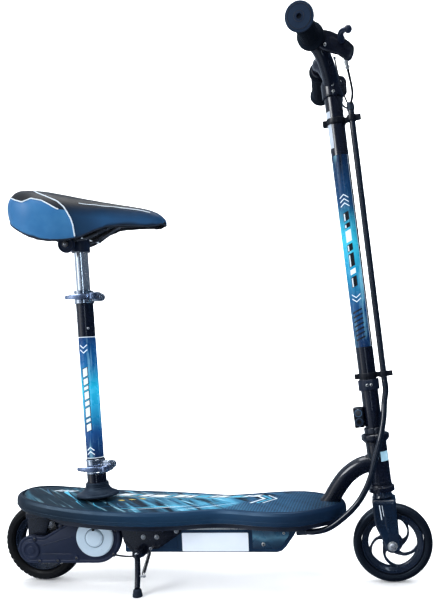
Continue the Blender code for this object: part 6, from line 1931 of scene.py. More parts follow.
def make_mast():
    tube_prof = fillet([(0.0132, 0.3430), (0.0156, 0.3430), (0.0160, 0.3426), (0.0160, -0.0490), (0.0132, -0.0490)], [0, 0.0003, 0.0003, 0, 0], 2)
    parts = [(on_post(tube_prof, 80), PAINT)]
    piece("seat_tube", "seat_mast", parts, ["seat_tube"], 34)
    R = 0.0160
    f = wrap(POST, R)
    span = math.radians(128) * R
    lo, hi = 0.0385, 0.2705
    film = decal(f, [[(-span, lo), (span, lo), (span, hi), (-span, hi)]], 0.00010, 0.0016)
    light, dark = [], []
    for u in (-span + 0.0010, span - 0.0010):
        light.append(bar_quad(u, lo, u, hi, 0.0011))
    light += [bar_quad(-span, lo + 0.0008, span, lo + 0.0008, 0.0014), bar_quad(-span, hi - 0.0008, span, hi - 0.0008, 0.0014)]
    # a column of slanted blocks with arrowheads above and below
    c = -0.0015
    v = 0.0900
    for i, hgt in enumerate((0.0130, 0.0060, 0.0170, 0.0085, 0.0140, 0.0060, 0.0110, 0.0155)):
        w = 0.0092
        dark.append([(c - w / 2 - 0.0012, v - 0.0012), (c + w / 2 + 0.0012, v + 0.0026), (c + w / 2 + 0.0012, v + hgt + 0.0050), (c - w / 2 - 0.0012, v + hgt + 0.0012)])
        light.append([(c - w / 2, v), (c + w / 2, v + 0.0038), (c + w / 2, v + hgt + 0.0038), (c - w / 2, v + hgt)])
        if hgt > 0.010:
            dark.append([(c - w / 2 + 0.0028, v + 0.0050), (c + w / 2 - 0.0028, v + 0.0068), (c + w / 2 - 0.0028, v + hgt - 0.0014), (c - w / 2 + 0.0028, v + hgt - 0.0030)])
        v += hgt + 0.0040
    for v0 in (0.0520, 0.0600):
        light += poly_quads([(c - 0.0075, v0 - 0.0062), (c, v0), (c + 0.0075, v0 - 0.0062)], 0.0019)
    for v0 in (0.2400, 0.2490):
        light += poly_quads([(c - 0.0075, v0 + 0.0062), (c, v0), (c + 0.0075, v0 + 0.0062)], 0.0019)
    piece("mast_print", "seat_mast", [(film, MAST_PRINT), (decal(f, dark, 0.00016, 0.0012), MATS["print_dark"]), (decal(f, light, 0.00021, 0.0012), MATS["print_light"])], [], 40)
    # sprung button in the tube, above the print
    pin = xform(ball(0.0030, 24, 14), POST @ at(0.0142 * math.cos(math.radians(-52)), 0.0142 * math.sin(math.radians(-52)), 0.2860))
    piece("mast_button", "seat_mast", [(pin, STEEL)], [], 40)
    post_prof = fillet([(0, 0.4485), (0.0118, 0.4485), (SEAT_POST_R, 0.4476), (SEAT_POST_R, 0.1800), (0.0109, 0.1800)], [0, 0.0004, 0.0004, 0, 0], 2)
    v = post_prof + [(0.0109, 0.4460), (0, 0.4460)]
    piece("seat_post", "seat", [(on_post(v, 80, closed=False), CHROME)], ["seat_post"], 34)


make_mast()


# =====================================================================================
# Kickstand
# =====================================================================================
def make_kickstand():
    line = [(-0.1560, 0.1130), (-0.1520, 0.0880), (-0.1330, 0.0640), (-0.1100, 0.0640), (-0.1000, 0.0740), (-0.0850, 0.0760), (-0.0420, 0.1045), (-0.0420, 0.1130)]
    line = fillet(line, [0.0015, 0.010, 0.008, 0.008, 0.008, 0.008, 0.004, 0.0015], 5, True)
    parts = [(xform(plate([line], 0.0018, 0.0006, 3), at(0, -0.0522, 0)), PAINT)]
    # raised edge of the pressed bracket
    edge = fillet([(-0.1475, 0.0885), (-0.1310, 0.0680), (-0.1115, 0.0680), (-0.1015, 0.0780), (-0.0860, 0.0800), (-0.0560, 0.0995)], [0, 0.008, 0.008, 0.006, 0.006, 0], 5)
    parts.append((tube([(x, -0.0541, z) for x, z in edge], 0.0009, 10, True, dome=0.0009), PAINT))
    boss = turn_y(lathe(fillet([(0, 0.0110), (0.0085, 0.0110), (0.0095, 0.0100), (0.0095, 0.0012), (0.0112, 0.0), (0, 0.0)], [0, 0.0006, 0.0006, 0.0012, 0, 0], 3), 56), -1)
    parts.append((xform(boss, at(KICK[0], -0.0530, KICK[1])), PAINT))
    pin = turn_y(lathe(fillet([(0, 0.0105), (0.0024, 0.0105), (0.0036, 0.0096), (0.0036, -0.0095), (0, -0.0095)], [0, 0.0006, 0.0006, 0, 0], 3), 32), -1)
    parts.append((xform(pin, at(KICK[0], -0.0635, KICK[1])), STEEL))
    spring_pin = turn_y(cylinder(0.0020, 0.0140, 24, 0.0005))
    parts.append((xform(spring_pin, at(-0.0965, -0.0590, 0.0792)), STEEL))
    parts.append((xform(turn_y(cylinder(0.0030, 0.0010, 24, 0.0003)), at(-0.0965, -0.0655, 0.0792)), STEEL))
    piece("kickstand_bracket", "chassis", parts, ["kickstand_bracket"], 34)
    bits = []
    for x, z in ((-0.1135, 0.0975), (-0.0879, 0.0975), (-0.0500, 0.1085)):
        mm = at(x, -0.0540, z) @ ALONG_Y
        bits.append((xform(lathe(fillet([(0, 0.0008), (0.0044, 0.0008), (0.0046, 0.0), (0, 0)], [0, 0.0002, 0, 0], 2), 36), mm), ZINC))
        bits.append((xform(dome_head(0.0034, 0.0022, 0.0015), mm @ at(0, 0, 0.0007)), STEEL))
    piece("bracket_bolts", "chassis", bits, [], 34)
    # the leg
    pts = spline([(KICK[0], -0.0698, KICK[1]), (-0.1205, -0.0718, 0.0560), (-0.1185, -0.0800, 0.0330), (-0.1165, -0.0900, 0.0141)], 34)
    radii = [0.0052 - 0.0003 * (i / 33) for i in range(34)]
    leg = [(tube(pts, 0, 28, True, radii=radii, normal=(1, 0, 0)), PAINT)]
    eye = turn_y(lathe(fillet([(0.0040, 0.0035), (0.0084, 0.0035), (0.0090, 0.0028), (0.0090, -0.0028), (0.0084, -0.0035), (0.0040, -0.0035)], [0, 0.0005, 0.0005, 0.0005, 0.0005, 0], 3), 56, closed=True))
    leg.append((xform(eye, at(KICK[0], -0.0681, KICK[1])), PAINT))
    ear = xform(cylinder(0.0019, 0.0120, 20, 0.0005), at(-0.1120, -0.0800, 0.0330) @ Matrix.Rotation(math.pi / 2, 4, "Y"))
    leg.append((ear, STEEL))
    leg.append((xform(ball(0.0027, 16, 10), at(-0.1060, -0.0800, 0.0330)), STEEL))
    piece("kickstand_leg", "kickstand", leg, ["kickstand_leg"], 36)
    foot = fillet([(0, 0.0137), (0.0058, 0.0137), (0.0066, 0.0128), (0.0074, 0.0104), (0.0080, 0.0060), (0.0088, 0.0022), (0.0089, 0.0008), (0.0082, 0.0), (0, 0.0)], [0, 0.0008, 0.0010, 0.002, 0.002, 0.0005, 0.0003, 0.0003, 0], 3)
    foot_parts = [(xform(lathe(foot, 48), at(-0.1160, -0.0915, 0)), RUBBER)]
    for z in (0.0044, 0.0072, 0.0100):
        r = float(np.interp(z, [0.0022, 0.0060, 0.0104], [0.0088, 0.0080, 0.0074]))
        ring = [(r + 0.0004 * math.cos(t), z + 0.0005 * math.sin(t)) for t in np.linspace(0, math.tau, 8, endpoint=False)]
        foot_parts.append((xform(lathe(ring, 48, closed=True), at(-0.1160, -0.0915, 0)), RUBBER))
    piece("kickstand_foot", "kickstand", foot_parts, ["kickstand_foot"], 40)
    # the coil spring from its pin to the leg's ear
    spring = coil((-0.0975, -0.0640, 0.0772), (-0.1085, -0.0796, 0.0350), 0.0029, 0.00062, 22, 12)
    piece("kickstand_spring", None, [(spring, SPRING_WIRE)], ["kickstand_spring"], 60,
          blend=("chassis", "kickstand", (-0.0985, -0.0640, 0.0760), (-0.1083, -0.0787, 0.0360)))


make_kickstand()


# =====================================================================================
# Seat
# =====================================================================================
SEAT = [
    (-0.3440, 0.030, 0.7200, 0.7000, 0.0), (-0.3360, 0.058, 0.7400, 0.6820, 0.0), (-0.3140, 0.080, 0.7480, 0.6690, 0.0),
    (-0.2850, 0.087, 0.7450, 0.6560, 0.0), (-0.2500, 0.080, 0.7375, 0.6500, 0.0), (-0.2150, 0.060, 0.7290, 0.6550, 0.0),
    (-0.1800, 0.042, 0.7215, 0.6640, 0.3), (-0.1480, 0.033, 0.7150, 0.6680, 0.7), (-0.1150, 0.029, 0.7080, 0.6675, 1.0),
    (-0.0850, 0.0265, 0.7000, 0.6665, 1.0), (-0.0650, 0.0210, 0.6900, 0.6675, 1.0), (-0.0550, 0.0110, 0.6790, 0.6695, 1.0),
]


def seat_column(x, col):
    """A smooth curve through one column of the table."""
    xs = [r[0] for r in SEAT]
    ys = [r[col] for r in SEAT]
    x = min(max(x, xs[0]), xs[-1])
    i = min(max(int(np.searchsorted(xs, x)) - 1, 0), len(xs) - 2)

    def slope(j):
        if j == 0:
            return (ys[1] - ys[0]) / (xs[1] - xs[0])
        if j == len(xs) - 1:
            return (ys[-1] - ys[-2]) / (xs[-1] - xs[-2])
        a, b = (ys[j] - ys[j - 1]) / (xs[j] - xs[j - 1]), (ys[j + 1] - ys[j]) / (xs[j + 1] - xs[j])
        return 0.0 if a * b <= 0 else 2 * a * b / (a + b)

    h = xs[i + 1] - xs[i]
    t = (x - xs[i]) / h
    return ((2 * t ** 3 - 3 * t ** 2 + 1) * ys[i] + (t ** 3 - 2 * t ** 2 + t) * h * slope(i) + (-2 * t ** 3 + 3 * t ** 2) * ys[i + 1] + (t ** 3 - t ** 2) * h * slope(i + 1))


def seat_stations(count, rows):
    x0, x1 = rows[0][0], rows[-1][0]
    out = []
    for k in range(count):
        # closer together toward both ends
        u = 0.5 - 0.5 * math.cos(math.pi * k / (count - 1))
        u = 0.55 * u + 0.45 * k / (count - 1)
        x = x0 + (x1 - x0) * u
        out.append((x, seat_column(x, 1), seat_column(x, 2), seat_column(x, 3), min(max(seat_column(x, 4), 0.0), 1.0)))
    return out


def seat_ring(x, w, top, edge, tuck, n=72):
    h = top - edge
    inner = edge + min(0.030, h / 2)
    f = 0.78 - 0.30 * tuck
    half = [(0, top), (0.20 * w, top - 0.007 * h), (0.40 * w, top - 0.03 * h), (0.74 * w, top - 0.13 * h), (0.95 * w, top - 0.36 * h), (w, top - 0.62 * h), ((0.975 - 0.125 * tuck) * w, edge + 0.13 * h),
            ((f + 0.155) * w, edge - 0.0004), ((f + 0.055) * w, edge - 0.0008), (f * w, edge + min(0.012, 0.3 * h)), (f * w, inner), (0, inner)]
    smooth = [(p.x, p.y) for p in spline([(a, b, 0) for a, b in half[:9]], n // 2 - 8)]
    line = smooth + [half[9]] + [half[10]] + [half[11]]
    ring = [(x, -a, b) for a, b in line] + [(x, a, b) for a, b in reversed(line[1:-1])]
    return ring


DROP_X = [-0.3440, -0.3100, -0.2870, -0.2620, -0.2420, -0.2190, -0.2035, -0.1800, -0.1650, -0.1420, -0.1160, -0.0860, -0.0650, -0.0550]
DROP_Z = [0.0000, 0.0042, 0.0058, 0.0080, 0.0094, 0.0102, 0.0096, 0.0048, 0.0024, 0.0016, 0.0024, 0.0046, 0.0034, 0.0000]


def lip_drop(x):
    """How far the covered foam hangs below the base's rim."""
    return np.interp(x, DROP_X, DROP_Z)


def make_cushion():
    rows = seat_stations(90, SEAT)
    part = loft([seat_ring(*r) for r in rows])
    c = np.array((-0.245, 0.0, 0.700))
    v = (np.asarray(part[0]) - c) * np.array((0.994, 0.990, 0.994)) + c
    ob = temp_object((v, part[1]))
    ob.name = "cushion_work"
    md = ob.modifiers.new("remesh", "REMESH")
    md.mode = "VOXEL"
    md.voxel_size = 0.0046
    v, f = take(ob)
    start = np.array(v)
    ob = temp_object((v, f))
    # pin the underside, which sits on the shell
    low = []
    for i, (x, y, z) in enumerate(start):
        edge = float(np.interp(x, [r[0] for r in SEAT], [r[3] for r in SEAT]))
        w = float(np.interp(x, [r[0] for r in SEAT], [r[1] for r in SEAT]))
        if z < edge + 0.0045 or (z < edge + 0.036 and abs(y) < w * 0.80):
            low.append(i)
    group = ob.vertex_groups.new(name="pin")
    group.add(low, 1.0, "REPLACE")
    cloth = ob.modifiers.new("cloth", "CLOTH")
    s = cloth.settings
    s.quality = 6
    s.mass = 0.35
    s.tension_stiffness = 26
    s.compression_stiffness = 26
    s.shear_stiffness = 12
    s.bending_stiffness = 1.6
    s.use_pressure = True
    s.uniform_pressure_force = 4.0
    s.effector_weights.gravity = 0.0
    s.vertex_group_mass = "pin"
    cloth.collision_settings.use_self_collision = False
    cloth.collision_settings.use_collision = False
    cloth.point_cache.frame_start = 1
    cloth.point_cache.frame_end = 24
    for frame_no in range(1, 21):
        SCENE.frame_set(frame_no)
    v2, f2 = take(ob)
    SCENE.frame_set(1)
    move = np.asarray(v2) - start
    size = np.linalg.norm(move, axis=1)
    cap = 0.0042
    move = move * (np.minimum(size, cap) / np.maximum(size, 1e-9))[:, None]
    v3 = start + move
    # a shallow relief down the middle of the top
    x, y, z = v3[:, 0], v3[:, 1], v3[:, 2]
    top = np.interp(x, [r[0] for r in SEAT], [r[2] for r in SEAT])
    near_top = np.clip((z - (top - 0.020)) / 0.020, 0, 1)
    along = np.clip((x + 0.335) / 0.05, 0, 1) * np.clip((-0.085 - x) / 0.05, 0, 1)
    groove = np.exp(-(y / 0.0075) ** 2) * 0.0022 * along * near_top
    v3[:, 2] -= groove
    # the foam's lower lip hangs over the base's rim, and the back rounds out over it
    edge_z = np.interp(x, [r[0] for r in SEAT], [r[3] for r in SEAT])
    wide = np.interp(x, [r[0] for r in SEAT], [r[1] for r in SEAT])
    lean = np.interp(x, [r[0] for r in SEAT], [r[4] for r in SEAT])
    tall = np.maximum(top - edge_z, 0.012)
    low_part = np.clip((top - 0.22 * tall - z) / (0.78 * tall), 0, 1)
    outer = np.clip((np.abs(y) / np.maximum(wide, 1e-4) - (0.70 - 0.30 * lean)) / 0.14, 0, 1)
    outer = np.maximum(outer, np.clip((-0.322 - x) / 0.012, 0, 1))
    v3[:, 2] -= lip_drop(x) * low_part ** 1.2 * outer * np.where(y < 0, 1.0, 0.30)
    back = np.clip((-0.318 - x) / 0.020, 0, 1)
    v3[:, 0] -= 0.0030 * back * np.sin(np.clip((top - z) / tall, 0, 1) * math.pi)
    sm = temp_object((v3, f2))
    sub = sm.modifiers.new("smooth", "SMOOTH")
    sub.factor = 0.5
    sub.iterations = 3
    sub2 = sm.modifiers.new("sub", "SUBSURF")
    sub2.levels = 1
    sub2.render_levels = 1
    return take(sm)


XS_A = [-0.3440, -0.3320, -0.3100, -0.2950, -0.2800, -0.2620, -0.2460, -0.2360, -0.2226, -0.2100]
ZS_A = [0.7310, 0.7290, 0.7185, 0.7135, 0.7195, 0.7155, 0.7060, 0.6995, 0.6980, 0.6980]
ZS_B = [0.6560, 0.6610, 0.6716, 0.6827, 0.6944, 0.7044, 0.7138, 0.7189, 0.7240, 0.7310, 0.7380, 0.7460]
XS_B = [-0.2118, -0.2121, -0.2126, -0.2152, -0.2208, -0.2268, -0.2367, -0.2466, -0.2600, -0.2730, -0.2860, -0.3000]


def grey_curve(k, value, xs, ys, lo, hi):
    """A piecewise curve as a ramp of greys: value in, (y - lo) / (hi - lo) out."""
    x0, x1 = xs[0], xs[-1]
    stops = []
    for x, y in zip(xs, ys):
        g = (y - lo) / (hi - lo)
        stops.append(((x - x0) / (x1 - x0), (g, g, g)))
    return k.ramp(k.map(value, x0, x1, 0.0, 1.0), stops)


def vinyl():
    k = Mat("seat_vinyl_print", (0.02, 0.03, 0.05), 0.40, spec=0.30)
    sep = k.node("ShaderNodeSeparateXYZ")
    k.l.new(k.coords(), sep.inputs[0])
    x, y, z = sep.outputs
    za = grey_curve(k, x, XS_A, ZS_A, 0.66, 0.76)
    xb = grey_curve(k, z, ZS_B, XS_B, -0.32, -0.20)
    zn = k.map(z, 0.66, 0.76, 0.0, 1.0)
    xn = k.map(x, -0.32, -0.20, 0.0, 1.0)
    below_a = k.map(k.math("SUBTRACT", za, zn), -0.004, 0.004, 0.0, 1.0)
    behind_b = k.map(k.math("SUBTRACT", xb, xn), -0.004, 0.004, 0.0, 1.0)
    blue = k.math("MULTIPLY", below_a, behind_b)
    cloud = k.noise(16.0, 3.0, 0.55)
    side_blue = k.ramp(cloud, [(0.0, (0.024, 0.120, 0.275)), (0.5, (0.036, 0.155, 0.330)), (1.0, (0.080, 0.250, 0.440))])
    # the black top runs into deep blue on the nose's flanks: a painted blue sheen on the black nose
    level = k.map(k.math("SUBTRACT", z, k.map(x, -0.30, -0.05, 0.716, 0.694)), -0.020, 0.004, 1.0, 0.0)
    level = k.math("MULTIPLY", level, k.map(x, -0.235, -0.165, 0.25, 1.0))
    flank_sheen = k.ramp(cloud, [(0.0, (0.008, 0.046, 0.120)), (1.0, (0.020, 0.090, 0.200))])
    dark = k.mix(level, (0.0018, 0.0024, 0.0048), flank_sheen)
    # faces that turn down or inward are darkened by their direction: dark underside cloth, and also painted shade under
    # the seat and on the inner wall
    geo = k.node("ShaderNodeNewGeometry")
    nsep = k.node("ShaderNodeSeparateXYZ")
    k.l.new(geo.outputs["Normal"], nsep.inputs[0])
    under = k.map(nsep.outputs[2], -0.35, -0.60, 0.0, 1.0)
    inward = k.map(k.math("MULTIPLY", nsep.outputs[1], y), -0.003, -0.006, 0.0, 1.0)
    shade = k.math("MAXIMUM", under, inward)
    k.colour(k.mix(shade, k.mix(blue, dark, side_blue), (0.0035, 0.0050, 0.0090)))
    k.rough_vary(45.0, 0.36, 0.50)
    grain = k.voronoi(900.0)
    h = k.math("ADD", k.math("MULTIPLY", grain, 0.7), k.math("MULTIPLY", k.noise(260.0, 3.0), 0.6))
    k.bump(h, 0.00022, 0.32)
    return k.m


PIPING = moulded("seat_piping", (0.62, 0.70, 0.77), (0.55, 0.63, 0.70), 0.42, 900.0, 0.00005, 0.25)
VINYL = vinyl()
RAIL_STEEL = metal("rail_steel", (0.17, 0.18, 0.20), (0.11, 0.12, 0.14), 0.30, 0.06, (1, 1, 1), 200.0)


def make_seat():
    from mathutils.bvhtree import BVHTree
    v, f = make_cushion()
    tree = BVHTree.FromPolygons([tuple(p) for p in v], [tuple(q) for q in f])

    def side_hit(x, z, side):
        hit = tree.ray_cast(Vector((x, side * 0.2, z)), Vector((0, -side, 0)))
        return hit[0], hit[1]

    def top_hit(x, y):
        hit = tree.ray_cast(Vector((x, y, 0.9)), Vector((0, 0, -1)))
        return hit[0], hit[1]

    cushion = piece("seat_cushion_soft", "seat", [((v, f), VINYL)], ["seat_cushion"], 80)

    def cord_on(points, radius, lift=0.0003):
        out = []
        for p in points:
            near = tree.find_nearest(p)
            out.append(tuple(near[0] + near[1] * lift))
        return tube(spline(out, len(out) * 3), radius, 12, True, dome=radius)

    # piping B over the top, from one lower edge to the other
    line = []
    for side in (-1, 1):
        leg = []
        for z in np.linspace(0.6525, 0.7170, 26):
            x = float(np.interp(z, ZS_B, XS_B))
            p, n = side_hit(x, z, side)
            if p:
                leg.append(p)
        line.append(leg)
    over = []
    y_end = line[0][-1].y
    for y in np.linspace(y_end * 0.97, -y_end * 0.97, 30):
        x = -0.262
        for _ in range(14):
            p, n = top_hit(x, y)
            x = 0.5 * x + 0.5 * float(np.interp(p.z, ZS_B, XS_B))
        over.append(p)
    path_b = line[0] + over + line[1][::-1]
    # piping A round the back
    path_a = []
    for ang in np.linspace(math.radians(180 + 112), math.radians(180 - 112), 90):
        d = Vector((math.cos(ang), math.sin(ang), 0))
        base = Vector((-0.262, 0, 0.72))
        z = 0.72
        p = None
        for _ in range(10):
            hit = tree.ray_cast(Vector((base.x, 0, z)) + d * 0.25, -d)
            if hit[0] is None:
                break
            p = hit[0]
            z = 0.5 * z + 0.5 * float(np.interp(p.x, XS_A, ZS_A))
        if p is not None and p.x < float(np.interp(p.z, ZS_B, XS_B)) + 0.001:
            path_a.append(p)
    cords = [(cord_on(path_b, 0.0013), PIPING), (cord_on(path_a, 0.0012), PIPING)]
    # thin line along both top edges of the nose
    for side in (-1, 1):
        pts = []
        for x in np.linspace(-0.2050, -0.0800, 40):
            w = float(np.interp(x, [r[0] for r in SEAT], [r[1] for r in SEAT]))
            p, n = top_hit(x, side * w * 0.80)
            if p:
                pts.append(p)
        cords.append((cord_on(pts, 0.00075, 0.0001), PIPING))
    piece("seat_piping", "seat", cords, [], 60)
    # the lower edge: a folded hem line that follows the cushion's outer edge
    hem = []
    for side in (-1, 1):
        run = []
        for x, w, top, edge, tuck in seat_stations(60, SEAT)[3:-2]:
            hang = float(lip_drop(x)) * (1.0 if side < 0 else 0.30)
            p = tree.find_nearest(Vector((x, side * w * (0.93 - 0.05 * tuck), edge + 0.0030 - hang)))
            run.append(p[0] + p[1] * 0.0001)
        hem.append(run)
    loop = hem[0] + hem[1][::-1]
    hem_part = tube(spline([tuple(p) for p in loop], 240), 0.0014, 10, True, dome=0.001)
    piece("seat_hem", "seat", [(hem_part, RUBBER)], [], 60)

    # moulded base with a turned-down flange, ribs and rail sockets
    rows = seat_stations(70, SEAT[1:-1])[:-4]
    rings = []
    for x, w, top, edge, tuck in rows:
        h = top - edge
        inner = edge + min(0.030, h * 0.5)
        ws = w * (0.78 - 0.30 * tuck - 0.045)
        deep = min(0.020, max(inner - edge - 0.0012, 0.004))
        rings.append([(x, -ws, inner - 0.0012), (x, ws, inner - 0.0012), (x, ws + 0.0004, inner - deep * 0.5), (x, ws, inner - deep), (x, ws - 0.0022, inner - deep), (x, ws - 0.0022, inner - 0.0036),
                      (x, -ws + 0.0022, inner - 0.0036), (x, -ws + 0.0022, inner - deep), (x, -ws, inner - deep), (x, -ws - 0.0004, inner - deep * 0.5)])
    shell = [(loft(rings), PLASTIC)]
    for x in (-0.318, -0.296, -0.262, -0.228, -0.198, -0.168):
        r = min(rows, key=lambda q: abs(q[0] - x))
        h = r[2] - r[3]
        inner = r[3] + min(0.030, h * 0.5)
        ws = r[1] * (0.78 - 0.30 * r[4] - 0.045) - 0.002
        shell.append((bevel_box((x - 0.0010, -ws, inner - 0.0090), (x + 0.0010, ws, inner - 0.0030), 0.0005, 1), PLASTIC))
    for side in (-1, 1):
        shell.append((bevel_box((-0.3170, side * 0.0300 - 0.0075, 0.6700), (-0.2960, side * 0.0300 + 0.0075, 0.6850), 0.0020, 3), PLASTIC))
    shell.append((bevel_box((-0.1500, -0.0120, 0.6725), (-0.1350, 0.0120, 0.6815), 0.0020, 3), PLASTIC))
    piece("seat_shell", "seat", shell, ["seat_shell"], 34)

    rail = [(-0.3050, -0.0300, 0.6755), (-0.2920, -0.0270, 0.6670), (-0.2700, -0.0230, 0.6560), (-0.2400, -0.0220, 0.6500), (-0.2050, -0.0205, 0.6535),
            (-0.1780, -0.0170, 0.6640), (-0.1580, -0.0120, 0.6725), (-0.1450, -0.0060, 0.6755), (-0.1410, 0, 0.6760)]
    rail = rail + [(x, -y, z) for x, y, z in reversed(rail[:-1])]
    piece("seat_rails", "seat", [(tube(spline(rail, 150), 0.0032, 20, True, dome=0.0012), RAIL_STEEL)], ["seat_rails"], 60)

    # rail clamp: collar, yoke, knurled discs, bolt and nuts
    ring = fillet([(0.0130, 0.4302), (0.0165, 0.4302), (0.0174, 0.4312), (0.0174, 0.4548), (0.0165, 0.4558), (0.0130, 0.4558)], [0, 0.0008, 0.0008, 0.0008, 0.0008, 0], 3)
    cl = [(on_post(ring, 64), SATIN)]
    yoke = lathe(fillet([(0, 0.0275), (0.0108, 0.0275), (0.0119, 0.0262), (0.0119, -0.0262), (0.0108, -0.0275), (0, -0.0275)], [0, 0.0008, 0.0008, 0.0008, 0.0008, 0], 3), 56)
    cl.append((xform(turn_y(yoke), at(-0.2410, 0, 0.6460)), SATIN))
    cl.append((bevel_box((-0.2560, -0.0100, 0.6352), (-0.2275, 0.0100, 0.6545), 0.0025, 3), SATIN))
    cl.append((bevel_box((-0.2250, -0.0135, 0.6300), (-0.2140, 0.0135, 0.6500), 0.0022, 3), SATIN))

    def knurl(r, z, a, j):
        if r > 0.0148:
            return r - 0.0006 * (j % 3 == 0), z
        return r, z

    disc_prof = fillet([(0, 0.0030), (0.0060, 0.0030), (0.0066, 0.0022), (0.0118, 0.0022), (0.0126, 0.0030), (0.0148, 0.0030), (0.0159, 0.0018), (0.0159, -0.0018), (0.0148, -0.0030), (0, -0.0030)],
                       [0, 0.0003, 0.0003, 0.0004, 0.0004, 0.0006, 0.0006, 0.0006, 0.0006, 0], 2)
    for side in (-1, 1):
        cl.append((xform(turn_y(lathe(disc_prof, 90, shape=knurl), side), at(-0.2410, side * 0.0300, 0.6425)), SATIN))
        cl.append((xform(turn_y(hex_head(0.0105, 0.0040), side), at(-0.2410, side * 0.0328, 0.6425)), DARK_STEEL))
        cl.append((xform(turn_y(dome_head(0.0028, 0.0014), side), at(-0.2410, side * 0.0366, 0.6425)), STEEL))
    piece("seat_clamp", "seat", cl, ["seat_clamp"], 34)


make_seat()


# =====================================================================================
# Stem, clips, cables, switch box
# =====================================================================================
STEM_PRINT = streak_print("stem_print", [(0.0, (0.0050, 0.0300, 0.0950)), (0.20, (0.0090, 0.0760, 0.2100)), (0.42, (0.0250, 0.3300, 0.5400)), (0.56, (0.0450, 0.5000, 0.6800)),
                                         (0.74, (0.0100, 0.0660, 0.1700)), (1.0, (0.0060, 0.0240, 0.0700))], 0.430, 0.770, lean=14.0)


STEM_LABEL = moulded("stem_label_film", (0.52, 0.58, 0.66), (0.47, 0.53, 0.61), 0.45, 1500.0, 0.00003, 0.2)


def make_stem():
    prof = fillet([(0.0131, 0.7280), (0.0152, 0.7280), (STEM_R, 0.7276), (STEM_R, 0.1184), (0.0131, 0.1184)], [0, 0.0003, 0.0003, 0, 0], 2)
    piece("stem_tube", "steering", [(on_steer(prof, 80), PAINT)], ["stem_tube"], 34)
    f = wrap(STEER, STEM_R)
    # a printed film on the side that faces away from the cables
    span = math.radians(96) * STEM_R
    lo, hi = 0.2640, 0.6050
    film = decal(f, [[(-span, lo), (span * 0.62, lo), (span * 0.62, hi), (-span, hi)]], 0.00010, 0.0018)
    light, dark = [], []
    for u in (-span + 0.0008, span * 0.62 - 0.0008):
        light.append(bar_quad(u, lo, u, hi, 0.0010))
    c = -0.0020
    for v0 in (0.5200, 0.5275, 0.5350):
        light += poly_quads([(c - 0.0080, v0 - 0.0060), (c, v0), (c + 0.0080, v0 - 0.0060)], 0.0016)
    for v0 in (0.3450, 0.3525):
        light += poly_quads([(c - 0.0080, v0 + 0.0060), (c, v0), (c + 0.0080, v0 + 0.0060)], 0.0016)
    v = 0.3700
    for i, hgt in enumerate((0.0180, 0.0090, 0.0230, 0.0120, 0.0200, 0.0080, 0.0150)):
        w = 0.0100
        q = [(c - w / 2, v), (c + w / 2, v + 0.0040), (c + w / 2, v + hgt + 0.0040), (c - w / 2, v + hgt)]
        if i % 3 == 1:
            light.append(q)
        else:
            dark.append(q)
            light.append([(c - w / 2 + 0.0010, v + 0.0014), (c - w / 2 + 0.0032, v + 0.0022), (c - w / 2 + 0.0032, v + hgt - 0.0004), (c - w / 2 + 0.0010, v + hgt - 0.0012)])
        v += hgt + 0.0045
    for i in range(7):
        dark.append(bar_quad(c - 0.0105, 0.2760 + 0.0082 * i, c + 0.0075, 0.2830 + 0.0082 * i, 0.0026))
    piece("stem_print", "steering", [(film, STEM_PRINT), (decal(f, dark, 0.00016, 0.0014), MATS["print_dark"]), (decal(f, light, 0.00021, 0.0014), MATS["print_light"])], [], 40)
    # a small blank label with a dark border near the top
    blank = [[(-0.0205, 0.6060 + 0.0120), (-0.0075, 0.6060 + 0.0120), (-0.0075, 0.6830), (-0.0205, 0.6830)]]
    edge = []
    for q0, q1 in (((-0.0205, 0.6180), (-0.0205, 0.6830)), ((-0.0075, 0.6180), (-0.0075, 0.6830)), ((-0.0205, 0.6180), (-0.0075, 0.6180)), ((-0.0205, 0.6830), (-0.0075, 0.6830))):
        edge.append(bar_quad(q0[0], q0[1], q1[0], q1[1], 0.0009))
    piece("stem_label", "steering", [(decal(f, blank, 0.00012, 0.0018), STEM_LABEL), (decal(f, edge, 0.00018, 0.0018), MATS["print_dark"])], [], 40)

    # a small blank film on the head tube
    film_skin = moulded("head_film", (0.42, 0.64, 0.74), (0.24, 0.43, 0.56), 0.40, 1200.0, 0.00003, 0.2)
    g = wrap(STEER, HEAD_R)
    spot = [[(0.0060, 0.0560), (0.0240, 0.0560), (0.0240, 0.0740), (0.0060, 0.0740)]]
    piece("head_film", "chassis", [(decal(g, spot, 0.00012, 0.0014), film_skin)], [], 40)

    # a split collar low on the stem with two screws
    ring = fillet([(STEM_R + 0.0002, 0.1860), (0.0184, 0.1860), (0.0190, 0.1868), (0.0190, 0.2042), (0.0184, 0.2050), (STEM_R + 0.0002, 0.2050)], [0, 0.0006, 0.0006, 0.0006, 0.0006, 0], 3)
    parts = [(on_steer(ring, 72), SATIN)]
    parts.append((xform(bevel_box((-0.0055, -0.0222, 0.1868), (0.0085, -0.0150, 0.2042), 0.0014, 3), STEER), SATIN))
    for dx in (-0.0022, 0.0050):
        mm = STEER @ at(dx, -0.0218, 0.1955) @ ALONG_Y
        h, b = cross_screw(0.0027, 0.0014)
        parts += [(xform(h, mm), ZINC), (xform(b, mm), RECESS_SHADE)]
    piece("stem_collar", "steering", parts, [], 34)


make_stem()

FLAT = Matrix.Rotation(math.pi / 2, 4, "X")


def flat_plate(outlines, half, bevel=0.0006):
    """Outlines in (x, y) of the frame, thickness along its axis."""
    return xform(plate([[(x, -y) for x, y in o] for o in outlines], half, bevel, 2), FLAT)


